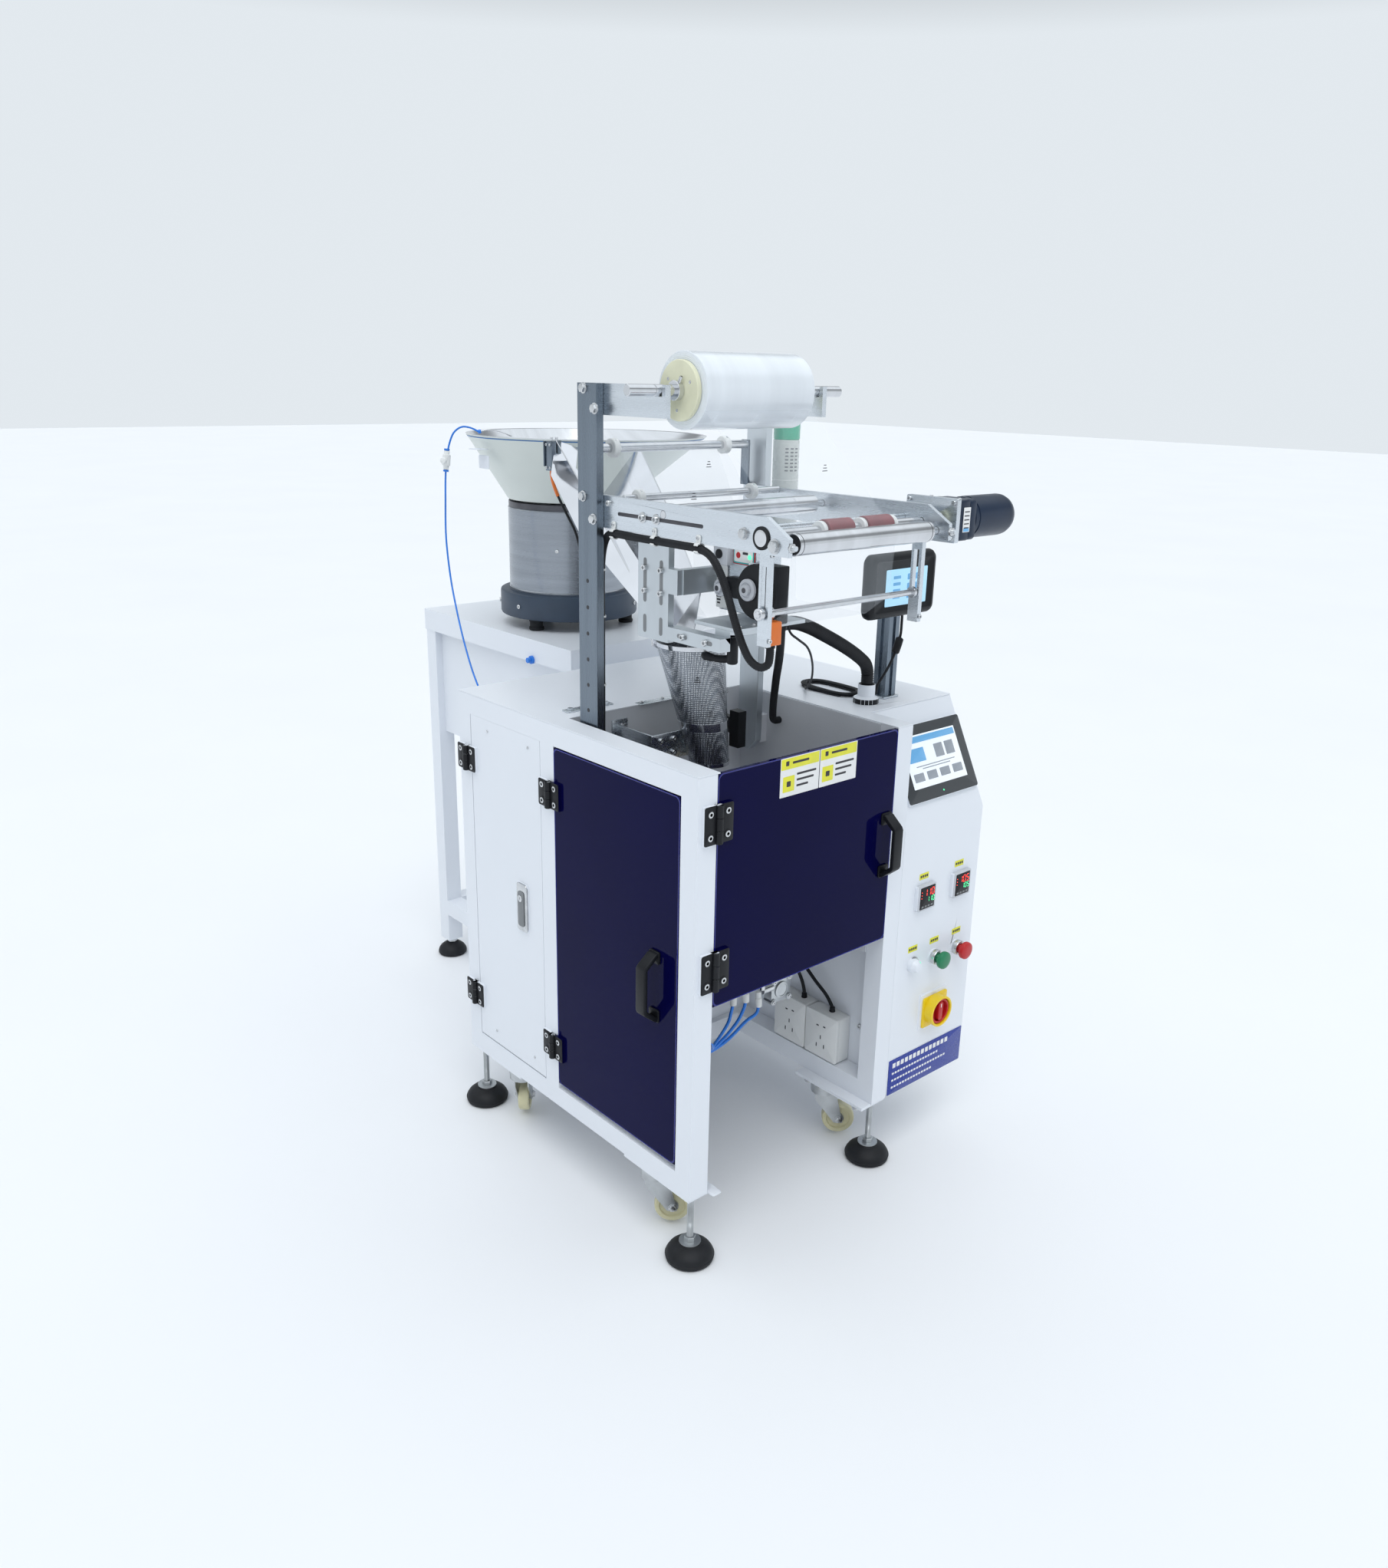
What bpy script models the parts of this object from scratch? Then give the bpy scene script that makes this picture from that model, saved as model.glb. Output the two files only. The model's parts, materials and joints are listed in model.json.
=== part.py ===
"""A vertical form fill sealer with its vibratory bowl feeder, as separate pieces in metres, +Z up.

Everything is drawn in the machine's own frame: x runs right along the front from the cabinet's
left corner, y runs to the back from the cabinet's front face, z is the height above the floor.
One empty then carries the whole machine so that the middle of its footprint is the origin.
"""

import math

import bmesh
import bpy
from mathutils import Matrix, Vector

GAP = 0.0003  # between pieces that touch

# Cabinet
CABINET_WIDTH = 0.510
WIDTH_WITH_CONTROLS = 0.745
CABINET_DEPTH = 0.700
CABINET_BOTTOM = 0.135
CABINET_TOP = 0.900
TUBE = 0.040
SHEET = 0.002
DECK_UNDER = CABINET_TOP - SHEET
WELL_LEFT, WELL_RIGHT, WELL_BACK = 0.045, 0.470, 0.400
SLOPE_FOOT_Z, SLOPE_TOP_Y = 0.696, 0.1013
MID_POST = (0.385, 0.4265)

# Doors
GUARD_X, GUARD_Z, GUARD_THICK = (0.041, 0.4695), (0.494, 0.8975), 0.008
SIDE_DOOR_Y, SIDE_DOOR_Z = (0.042, 0.384), (0.187, 0.857)
SERVICE_DOOR_Y, SERVICE_DOOR_Z = (0.4275, 0.658), (0.178, 0.8595)
DOOR_THICK = 0.005
GUARD_HINGE_X, GUARD_HINGES_Z = 0.0395, ((0.527, 0.597), (0.785, 0.850))
SIDE_HINGE_Y, SIDE_HINGES_Z = 0.3945, ((0.239, 0.289), (0.744, 0.794))
SERVICE_HINGE_Y, SERVICE_HINGES_Z = 0.6695, ((0.242, 0.292), (0.747, 0.797))
LEAF_LONG, LEAF_THICK, KNUCKLE_R, PIN_R = 0.0305, 0.005, 0.006, 0.0022
PIN_STAND_OFF = 0.0065  # of the hinge line from the door's face
HANDLE_PROUD = 0.035

# Feet and casters
FOOT_X, FOOT_Y = (0.020, 0.490), (0.020, 0.680)
FOOT_R = 0.0435
CASTER_X, CASTER_Y = (0.035, 0.480), (0.135, 0.565)
CASTER_TURN_DEG = {"front_left": -41, "front_right": -41, "rear_left": 48, "rear_right": 200}
CASTER_TRAIL = 0.032
WHEEL_R, WHEEL_WIDE, WHEEL_Z = 0.033, 0.022, 0.0415
CROWN_TOP = 0.1205

# Film stand
UPRIGHT_X = ((0.050, 0.065), (0.434, 0.449))
UPRIGHT_Y, UPRIGHT_TOP = (0.322, 0.373), 1.468
ROLL_Y, ROLL_Z, ROLL_R, CORE_R = 0.185, 1.460, 0.059, 0.038
ROLL_X = (0.114, 0.350)
SHAFT_R = 0.009
PLATE_X = ((0.065 + GAP, 0.073), (0.426, 0.434 - GAP))
PLATE_Z = (1.240, 1.293)
TOP_ROD_Y, TOP_ROD_Z = 0.355, 1.365
UPPER_ROD_Y, UPPER_ROD_Z = 0.280, 1.290
LARGE_Y, LARGE_Z, LARGE_R = 0.170, 1.275, 0.015
DRIVE_Y, DRIVE_Z = -0.050, 1.265
FRONT_Y, FRONT_Z = -0.0815, 1.2535
NIP_R = 0.0165
JOURNAL_R = 0.006
TIE_Y, TIE_Z = -0.012, 1.270
BAR_Y, BAR_Z, BAR_R = -0.052, 1.1515, 0.005
ARM_Z = (1.103, 1.252)
ARM_SLOT_Z = (1.146, 1.221)
SCREW_TIP_Y = -0.118

# Forming tube, jaws and seal arm
TUBE_TOP = ((0.250, 0.311, 1.030), 0.0625)
TUBE_LOW = ((0.250, 0.252, 0.815), 0.0355)
TUBE_WALL = 0.0015
CHUTE_NARROWING = 0.62
JAW_X, JAW_Z, JAW_DEEP = (0.170, 0.330), (0.700, 0.760), 0.032
JAW_PLANE_Y, JAW_OPEN = 0.252, 0.030
GUIDE_X, GUIDE_Z, GUIDE_R = (0.148, 0.352), 0.730, 0.006
SEAL_PIN = (0.352, 0.386)

# Bowl feeder
TABLE_X, TABLE_Y, TABLE_TOP = (0.310, 0.790), (0.760, 1.370), 0.925
TABLE_PAD_R = 0.022
DRUM_X, DRUM_Y, DRUM_R = 0.504, 1.034, 0.136
BASE_R, BASE_Z, BASE_TOP = 0.158, 0.950, 1.005
DRUM_TOP, BOWL_Z, RIM_Z = 1.205, 1.209, 1.350
RIM_X, RIM_Y, RIM_R = 0.540, 1.008, 0.270
BOWL_WALL = 0.003

# Controls
LAMP_X, START_X, STOP_X, BUTTON_Z = 0.560, 0.625, 0.694, 0.410
ISOLATOR_X, ISOLATOR_Z = 0.635, 0.294
CONTROLLER_X, CONTROLLER_Z, CONTROLLER_SIDE = (0.577, 0.684), 0.550, 0.048
GLAND = (0.558, 0.155)
TOWER_X, TOWER_Y, TOWER_R, TOWER_Z = 0.500, 0.336, 0.0245, (1.200, 1.420)

WHITE, STEEL, ZINC, BLACK = (0.86, 0.89, 0.93), (0.62, 0.64, 0.66), (0.55, 0.56, 0.57), (0.02, 0.02, 0.022)


def clear_scene():
    for obj in list(bpy.data.objects):
        bpy.data.objects.remove(obj, do_unlink=True)


def finish_of(name, colour, roughness, metallic):
    material = bpy.data.materials.new(name)
    material.use_nodes = True
    shader = material.node_tree.nodes["Principled BSDF"]
    shader.inputs["Base Color"].default_value = (*colour, 1.0)
    shader.inputs["Roughness"].default_value = roughness
    shader.inputs["Metallic"].default_value = metallic
    return material


def raw(bm):
    """A helper object holding the bmesh, to be joined to or cut from a node."""
    bmesh.ops.recalc_face_normals(bm, faces=bm.faces)
    mesh = bpy.data.meshes.new("shape")
    bm.to_mesh(mesh)
    bm.free()
    obj = bpy.data.objects.new("shape", mesh)
    obj.hide_render = True
    obj.display_type = "WIRE"
    bpy.context.scene.collection.objects.link(obj)
    return obj


def block(x, y, z):
    """A box between the two ends given along each axis."""
    lo, hi = Vector((x[0], y[0], z[0])), Vector((x[1], y[1], z[1]))
    bm = bmesh.new()
    bmesh.ops.create_cube(bm, size=1.0)
    bm.transform(Matrix.Translation((lo + hi) / 2) @ Matrix.Diagonal((*(hi - lo), 1.0)))
    return raw(bm)


def rod(start, end, radius, sides=12):
    """A round bar from one point to another."""
    start, end = Vector(start), Vector(end)
    along = end - start
    bm = bmesh.new()
    bmesh.ops.create_cone(bm, cap_ends=True, segments=sides, radius1=radius, radius2=radius, depth=along.length)
    turn = Vector((0, 0, 1)).rotation_difference(along).to_matrix().to_4x4()
    bm.transform(Matrix.Translation((start + end) / 2) @ turn)
    return raw(bm)


def turned(profile, centre, axis="z", sides=20):
    """The (radius, height) profile, from the axis round to the axis, spun about a line through centre."""
    bm = bmesh.new()
    points = [bm.verts.new((radius, 0, height)) for radius, height in profile]
    for one, two in zip(points, points[1:]):
        bm.edges.new((one, two))
    bmesh.ops.spin(
        bm, geom=bm.verts[:] + bm.edges[:], cent=(0, 0, 0), axis=(0, 0, 1),
        angle=2 * math.pi, steps=sides, use_merge=True,
    )
    bmesh.ops.remove_doubles(bm, verts=bm.verts, dist=1e-6)
    turns = {"z": Matrix.Identity(4), "x": Matrix.Rotation(math.pi / 2, 4, "Y"),
             "y": Matrix.Rotation(-math.pi / 2, 4, "X")}
    bm.transform(Matrix.Translation(centre) @ turns[axis])
    return raw(bm)


def sawn(outline, axis, ends):
    """A flat outline, given in the two other axes, carried along an axis between two ends."""
    place = {"x": lambda a, b, s: (s, a, b), "y": lambda a, b, s: (a, s, b), "z": lambda a, b, s: (a, b, s)}
    bm = bmesh.new()
    face = bm.faces.new([bm.verts.new(place[axis](a, b, ends[0])) for a, b in outline])
    grown = bmesh.ops.extrude_face_region(bm, geom=[face])["geom"]
    moved = [item for item in grown if isinstance(item, bmesh.types.BMVert)]
    bmesh.ops.translate(bm, verts=moved, vec=place[axis](0, 0, ends[1] - ends[0]))
    return raw(bm)


def lofted(sections):
    """A solid through closed loops that have the same number of points, capped at both ends."""
    bm = bmesh.new()
    loops = [[bm.verts.new(point) for point in section] for section in sections]
    count = len(loops[0])
    for lower, upper in zip(loops, loops[1:]):
        for i in range(count):
            j = (i + 1) % count
            bm.faces.new((lower[i], lower[j], upper[j], upper[i]))
    bm.faces.new(loops[0])
    bm.faces.new(loops[-1])
    return raw(bm)


def ring(centre, radius, sides=28):
    turn = 2 * math.pi / sides
    return [
        (centre[0] + radius * math.cos(i * turn), centre[1] + radius * math.sin(i * turn), centre[2])
        for i in range(sides)
    ]


def make(name, pieces, colour, roughness=0.5, metallic=0.0, cuts=(), pivot=(0, 0, 0), solver="EXACT"):
    """One closed body: the first piece with the others joined to it, less the cuts. Its origin is the pivot."""
    base = pieces[0]
    for kind, others in (("UNION", pieces[1:]), ("DIFFERENCE", cuts)):
        for other in others:
            modifier = base.modifiers.new(kind.lower(), "BOOLEAN")
            modifier.operation = kind
            modifier.solver = solver
            modifier.object = other
    mesh = bpy.data.meshes.new_from_object(base.evaluated_get(bpy.context.evaluated_depsgraph_get()))
    for helper in (*pieces, *cuts):
        bpy.data.objects.remove(helper, do_unlink=True)
    mesh.name = name
    mesh.transform(Matrix.Translation(-Vector(pivot)))
    mesh.materials.clear()
    mesh.materials.append(finish_of(name, colour, roughness, metallic))
    mesh.shade_smooth()
    mesh.set_sharp_from_angle(angle=math.radians(35))
    obj = bpy.data.objects.new(name, mesh)
    obj.location = pivot
    bpy.context.scene.collection.objects.link(obj)
    return obj


# ---- hinges


def hinge(line, z, to_door, out):
    """One butt hinge: line is its pin in plan, to_door and out are unit steps in plan.

    Returns the frame's half, the door's half, and the bore of the door's knuckle.
    """
    line, out = Vector(line), Vector(out)
    face = line - out * PIN_STAND_OFF
    third = (z[1] - z[0]) / 3

    def slab(step, near, far, back, high_low):
        ends = [face + step * near + out * back, face + step * far + out * LEAF_THICK]
        xs, ys = zip(*[tuple(end) for end in ends])
        return block((min(xs), max(xs)), (min(ys), max(ys)), high_low)

    def half(step, spans):
        pieces = [slab(step, 0.0068, LEAF_LONG, GAP, z), slab(step, 0.013, LEAF_LONG, -0.0005, z)]
        for low, high in spans:
            pieces.append(slab(step, 0.0, 0.0075, GAP, (low, high)))
            pieces.append(rod((*line, low), (*line, high), KNUCKLE_R, sides=12))
        return pieces

    to_door = Vector(to_door)
    fixed = half(-to_door, [(z[0], z[0] + third), (z[1] - third, z[1])])
    fixed.append(rod((*line, z[0] + 0.002), (*line, z[1] - 0.002), PIN_R, sides=10))
    moving = half(to_door, [(z[0] + third + GAP, z[1] - third - GAP)])
    bore = rod((*line, z[0]), (*line, z[1]), PIN_R + 0.0004, sides=10)
    return fixed, moving, bore


def hinges(line, heights, to_door, out):
    fixed, moving, bores = [], [], []
    for z in heights:
        one = hinge(line, z, to_door, out)
        fixed += one[0]
        moving += one[1]
        bores.append(one[2])
    return fixed, moving, bores


# ---- cabinet


def caster_spots():
    names = (("front", CASTER_Y[0]), ("rear", CASTER_Y[1]))
    sides = (("left", CASTER_X[0]), ("right", CASTER_X[1]))
    return [(f"{end}_{side}", x, y) for end, y in names for side, x in sides]


def cabinet_tubes():
    right, back = CABINET_WIDTH, CABINET_DEPTH
    under = DECK_UNDER - GAP
    full = (CABINET_BOTTOM, under)
    low, high = (CABINET_BOTTOM, CABINET_BOTTOM + TUBE), (under - TUBE + 0.002, under)
    near_x, far_x = (0, TUBE), (right - TUBE, right)
    near_y, far_y = (0, TUBE), (back - TUBE, back - SHEET)
    tubes = [block(x, y, full) for x in (near_x, far_x) for y in (near_y, far_y)]
    tubes += [block((0, right), y, low) for y in (MID_POST, far_y)]  # none along the front: the bags drop out there
    tubes += [block(x, (0, back - SHEET), z) for x in (near_x, far_x) for z in (low, high)]
    tubes.append(block((0, right), far_y, high))
    tubes.append(block((0, TUBE), MID_POST, full))
    return tubes


def cabinet_frame(hinge_halves):
    pieces = cabinet_tubes()
    pieces.append(block((0, WIDTH_WITH_CONTROLS), (CABINET_DEPTH - SHEET - 0.0005, CABINET_DEPTH),
                        (CABINET_BOTTOM, DECK_UNDER - GAP)))
    pieces.append(block((0.02, CABINET_WIDTH - 0.02), (MID_POST[0] + 0.01, CABINET_DEPTH - 0.001), (0.158, 0.160)))
    pieces.append(block((TUBE - 0.001, CABINET_WIDTH), (WELL_BACK - 0.001, WELL_BACK + 0.001), (0.170, 0.449)))
    for x in ((0, 0.062), (CABINET_WIDTH - 0.066, CABINET_WIDTH)):
        for y in ((0.003, 0.182), (0.518, CABINET_DEPTH)):
            pieces.append(block(x, y, (0.130, CABINET_BOTTOM + 0.001)))
    for _, x, y in caster_spots():
        pieces.append(rod((x, y, CROWN_TOP + GAP), (x, y, 0.131), 0.026))
    pieces.append(block((TUBE - 0.001, UPRIGHT_X[0][0] - GAP), (0.327, 0.368), (0.785, 0.870)))
    pieces.append(rod((0.200, CABINET_DEPTH - 0.001, 0.720), (0.200, CABINET_DEPTH + 0.016, 0.720), 0.008, sides=12))
    pieces += hinge_halves
    make("cabinet_frame", pieces, WHITE, 0.35, solver="MANIFOLD")  # many faces of the tubes lie in one plane


def top_deck():
    outline = [
        (0, 0), (WELL_LEFT, 0), (WELL_LEFT, WELL_BACK), (WELL_RIGHT, WELL_BACK), (WELL_RIGHT, 0),
        (CABINET_WIDTH, 0), (CABINET_WIDTH, SLOPE_TOP_Y), (WIDTH_WITH_CONTROLS, SLOPE_TOP_Y),
        (WIDTH_WITH_CONTROLS, CABINET_DEPTH), (0, CABINET_DEPTH),
    ]
    sheet = sawn(outline, "z", (DECK_UNDER, CABINET_TOP))
    x, y = GLAND
    gland = turned([(0, -0.001), (0.024, -0.001), (0.024, 0.010), (0.0165, 0.014), (0.0165, 0.036), (0, 0.036)],
                   (x, y, CABINET_TOP))
    make("top_deck", [sheet, gland], WHITE, 0.35)


def compartment_liner():
    """The film well's back and right walls with the jaws' slide rods, end bar and cylinders, and the seal arm's pin."""
    bottom, top = 0.450, DECK_UNDER - GAP
    right = CABINET_WIDTH - TUBE - GAP
    pieces = [
        block((TUBE + GAP, right), (WELL_BACK, WELL_BACK + SHEET), (bottom, top)),
        block((right - SHEET, right), (TUBE + GAP, WELL_BACK + SHEET), (bottom, top)),
        block((UPRIGHT_X[1][1] + GAP, right - 0.001), (0.327, 0.368), (0.800, 0.855)),
        block((0.120, right - 0.001), (0.092, 0.104), (0.705, 0.755)),
    ]
    for x in GUIDE_X:
        pieces.append(rod((x, 0.098, GUIDE_Z), (x, WELL_BACK + 0.001, GUIDE_Z), GUIDE_R, sides=16))
    middle = sum(JAW_X) / 2
    pieces.append(rod((middle, 0.045, JAW_Z[0] + 0.03), (middle, 0.093, JAW_Z[0] + 0.03), 0.020))
    pieces.append(rod((middle, WELL_BACK + 0.001, GUIDE_Z), (middle, 0.460, GUIDE_Z), 0.020))
    x, y = SEAL_PIN
    for z in ((0.835, 0.843), (0.887, 0.895)):
        pieces.append(block((x - 0.010, x + 0.010), (y - 0.010, WELL_BACK + 0.001), z))
    pieces.append(rod((x, y, 0.838), (x, y, 0.892), 0.003, sides=12))
    cuts = [rod((middle, 0.050, GUIDE_Z), (middle, 0.106, GUIDE_Z), 0.0058, sides=16),
            rod((middle, WELL_BACK - 0.001, GUIDE_Z), (middle, 0.452, GUIDE_Z), 0.0058, sides=16)]
    make("compartment_liner", pieces, (0.70, 0.73, 0.80), 0.4, cuts=cuts)


def control_box():
    x = (CABINET_WIDTH + GAP, WIDTH_WITH_CONTROLS)
    back, top, bottom = CABINET_DEPTH - SHEET - 0.001, DECK_UNDER - GAP, 0.140
    outline = [(0, bottom), (back, bottom), (back, top), (SLOPE_TOP_Y, top), (0, SLOPE_FOOT_Z)]
    wall = 0.003
    inside = [(wall, bottom + wall), (back + wall, bottom + wall), (back + wall, top - wall),
              (SLOPE_TOP_Y + wall, top - wall), (wall, SLOPE_FOOT_Z)]
    pieces = [sawn(outline, "x", x)]
    cuts = [sawn(inside, "x", (x[0] + wall, x[1] - wall))]
    half = CONTROLLER_SIDE / 2
    for at in CONTROLLER_X:
        pieces.append(block((at - half, at + half), (-0.007, 0.001), (CONTROLLER_Z - half, CONTROLLER_Z + half)))
    pieces.append(turned([(0, -0.020), (0.009, -0.018), (0.014, -0.010), (0.014, 0.001), (0, 0.001)],
                         (LAMP_X, 0, BUTTON_Z), "y", 16))
    for at in (START_X, STOP_X):
        pieces.append(rod((at, 0.001, BUTTON_Z), (at, -0.006, BUTTON_Z), 0.015))
        cuts.append(rod((at, 0.010, BUTTON_Z), (at, -0.010, BUTTON_Z), 0.0096))
    pieces.append(block((ISOLATOR_X - 0.040, ISOLATOR_X + 0.040), (-0.003, 0.001),
                        (ISOLATOR_Z - 0.038, ISOLATOR_Z + 0.038)))
    cuts.append(rod((ISOLATOR_X, 0.010, ISOLATOR_Z), (ISOLATOR_X, -0.010, ISOLATOR_Z), 0.0055, sides=16))
    pieces.append(touch_panel())
    make("control_box", pieces, WHITE, 0.35, cuts=cuts)


def touch_panel():
    """A 204 by 145 mm bezel lying on the slope, 6 mm proud of it."""
    foot, top = Vector((0, SLOPE_FOOT_Z)), Vector((SLOPE_TOP_Y, DECK_UNDER))
    along = (top - foot).normalized()
    out = Vector((-along.y, along.x))
    low, high = foot + along * 0.041, foot + along * 0.186
    outline = [low - out * 0.001, low + out * 0.006, high + out * 0.006, high - out * 0.001]
    return sawn([tuple(point) for point in outline], "x", (0.535, 0.740))


# ---- doors


def bow_handle(name, centre, height, colour, faces_front):
    """Two posts with a grip across them, standing out of the front or of the left side at that centre."""
    half_wide, thick = 0.008, 0.009
    out = (-HANDLE_PROUD, -GAP)
    grip = (-HANDLE_PROUD, -HANDLE_PROUD + thick)
    wide = (centre - half_wide, centre + half_wide)
    pieces = []
    for part, depth in ((height, grip), ((height[0], height[0] + 0.012), out), ((height[1] - 0.012, height[1]), out)):
        if faces_front:
            pieces.append(block(wide, depth, part))
        else:
            pieces.append(block(depth, wide, part))
    make(name, pieces, colour, 0.4)


def doors():
    guard = hinges((GUARD_HINGE_X, -PIN_STAND_OFF), GUARD_HINGES_Z, (1, 0), (0, -1))
    side = hinges((-PIN_STAND_OFF, SIDE_HINGE_Y), SIDE_HINGES_Z, (0, -1), (-1, 0))
    service = hinges((-PIN_STAND_OFF, SERVICE_HINGE_Y), SERVICE_HINGES_Z, (0, -1), (-1, 0))
    blue = (0.01, 0.02, 0.22)
    plate = block(GUARD_X, (0, GUARD_THICK), GUARD_Z)
    make("front_guard", [plate] + guard[1], blue, 0.15, cuts=guard[2],
         pivot=(GUARD_HINGE_X, -PIN_STAND_OFF, 0))
    plate = block((0, DOOR_THICK), SIDE_DOOR_Y, SIDE_DOOR_Z)
    make("side_door", [plate] + side[1], blue, 0.15, cuts=side[2], pivot=(-PIN_STAND_OFF, SIDE_HINGE_Y, 0))
    plate = block((0, DOOR_THICK), SERVICE_DOOR_Y, SERVICE_DOOR_Z)
    housing = block((-0.003, 0.001), (0.474, 0.507), (0.468, 0.565))
    make("service_door", [plate, housing] + service[1], WHITE, 0.35, cuts=service[2],
         pivot=(-PIN_STAND_OFF, SERVICE_HINGE_Y, 0))
    bow_handle("front_handle", 0.4505, (0.628, 0.741), BLACK, True)
    bow_handle("side_handle", 0.098, (0.449, 0.569), BLACK, False)
    paddle = [(-0.0034, 0.474), (-0.0034, 0.5605), (-0.008, 0.5605), (-0.012, 0.540), (-0.014, 0.474)]
    make("door_lock", [sawn(paddle, "y", (0.478, 0.503))], (0.35, 0.36, 0.38), 0.4, 0.3,
         pivot=(-0.006, 0.4905, 0.560))
    return guard[0] + side[0] + service[0]


# ---- feet and casters


def feet_and_casters():
    top = 0.130 - GAP
    profile = [(0, 0), (0.041, 0), (FOOT_R, 0.006), (0.038, 0.020), (0.022, 0.037), (0.012, 0.037),
               (0.012, 0.046), (0.006, 0.046), (0.006, top), (0, top)]
    for end, y in zip(("front", "rear"), FOOT_Y):
        for side, x in zip(("left", "right"), FOOT_X):
            make(f"levelling_foot_{end}_{side}", [turned(profile, (x, y, 0), sides=16)], BLACK, 0.6)
    for spot, x, y in caster_spots():
        caster(spot, x, y, math.radians(CASTER_TURN_DEG[spot]))


def caster(spot, x, y, turn):
    """A fork whose wheel trails behind its pivot, and the wheel on its own axle."""
    trail = Vector((math.cos(turn), math.sin(turn), 0))
    side = Vector((-trail.y, trail.x, 0))
    swivel = Vector((x, y, 0))
    axle = swivel + trail * CASTER_TRAIL + Vector((0, 0, WHEEL_Z))
    cheek = [(-0.018, 0.104), (0.024, 0.104), (CASTER_TRAIL + 0.009, WHEEL_Z - 0.008),
             (CASTER_TRAIL - 0.009, WHEEL_Z - 0.008), (-0.018, 0.088)]
    inner = WHEEL_WIDE / 2 + 0.0015
    to_place = Matrix.Translation(swivel) @ Matrix.Rotation(turn, 4, "Z")
    pieces = [rod((x, y, 0.102), (x, y, CROWN_TOP), 0.026, sides=16)]
    for ends in ((inner, inner + 0.0025), (-inner - 0.0025, -inner)):
        plate = sawn(cheek, "y", ends)
        plate.data.transform(to_place)
        pieces.append(plate)
    bar = rod(axle - side * (inner + 0.007), axle + side * (inner + 0.007), 0.004, sides=12)
    make(f"caster_fork_{spot}", pieces + [bar], ZINC, 0.35, 0.9, pivot=swivel)
    half = WHEEL_WIDE / 2
    tread = [(0.0046, -half), (0.026, -half), (WHEEL_R, -half + 0.005), (WHEEL_R, half - 0.005), (0.026, half),
             (0.0046, half), (0.0046, -half)]
    wheel = turned(tread, (0, 0, 0))
    lay = Matrix.Translation(axle) @ Matrix.Rotation(turn, 4, "Z") @ Matrix.Rotation(math.pi / 2, 4, "X")
    wheel.data.transform(lay)
    make(f"caster_wheel_{spot}", [wheel], (0.72, 0.70, 0.52), 0.4, pivot=axle)


# ---- film stand


def uprights():
    low = 0.787
    outline = [(UPRIGHT_Y[0], low + 0.020), (UPRIGHT_Y[0] + 0.020, low), (UPRIGHT_Y[1], low),
               (UPRIGHT_Y[1], UPRIGHT_TOP), (UPRIGHT_Y[0], UPRIGHT_TOP)]
    for side, x in zip(("left", "right"), UPRIGHT_X):
        make(f"upright_{side}", [sawn(outline, "x", x)], STEEL, 0.3, 1.0)
    bracket = [(0.168, 1.419), (UPRIGHT_Y[1], 1.419), (UPRIGHT_Y[1], UPRIGHT_TOP), (0.168, UPRIGHT_TOP)]
    notch = [(ROLL_Y - SHAFT_R - GAP, ROLL_Y + SHAFT_R + GAP), (ROLL_Z - SHAFT_R - GAP, UPRIGHT_TOP + 0.001)]
    cut = block((0.05, 0.10), *notch)
    make("roll_bracket_left", [sawn(bracket, "x", (0.065 + GAP, 0.076))], STEEL, 0.3, 1.0, cuts=[cut])
    boss = block((0.421, UPRIGHT_X[1][0] - GAP), (0.330, 0.365), (1.428, 1.460))
    cut = block((0.40, 0.43), *notch)
    make("roll_bracket_right", [sawn(bracket, "x", (0.412, 0.422)), boss], STEEL, 0.3, 1.0, cuts=[cut])


def roll():
    at = (0, ROLL_Y, ROLL_Z)
    flange, plug = 0.046, CORE_R - GAP
    left, right = ROLL_X[0] - GAP, ROLL_X[1] + GAP
    profile = [(0, 0.004), (SHAFT_R, 0.004), (SHAFT_R, 0.053), (SHAFT_R - 0.001, 0.053), (SHAFT_R - 0.001, 0.056),
               (SHAFT_R, 0.056), (SHAFT_R, 0.098), (0.014, 0.098), (0.014, left - 0.008), (flange, left - 0.008),
               (flange, left), (plug, left), (plug, 0.140), (SHAFT_R, 0.140), (SHAFT_R, 0.324), (plug, 0.324),
               (plug, right), (flange, right), (flange, right + 0.008), (0.014, right + 0.008),
               (0.014, 0.372), (SHAFT_R, 0.372), (SHAFT_R, 0.469), (0, 0.469)]
    make("roll_shaft", [turned(profile, at, "x", 16)], (0.80, 0.78, 0.62), 0.4, pivot=at)
    tube = [(CORE_R, ROLL_X[0]), (ROLL_R, ROLL_X[0]), (ROLL_R, ROLL_X[1]), (CORE_R, ROLL_X[1]), (CORE_R, ROLL_X[0])]
    make("film_roll", [turned(tube, at, "x", 32)], (0.88, 0.90, 0.92), 0.3, pivot=at)


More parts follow.
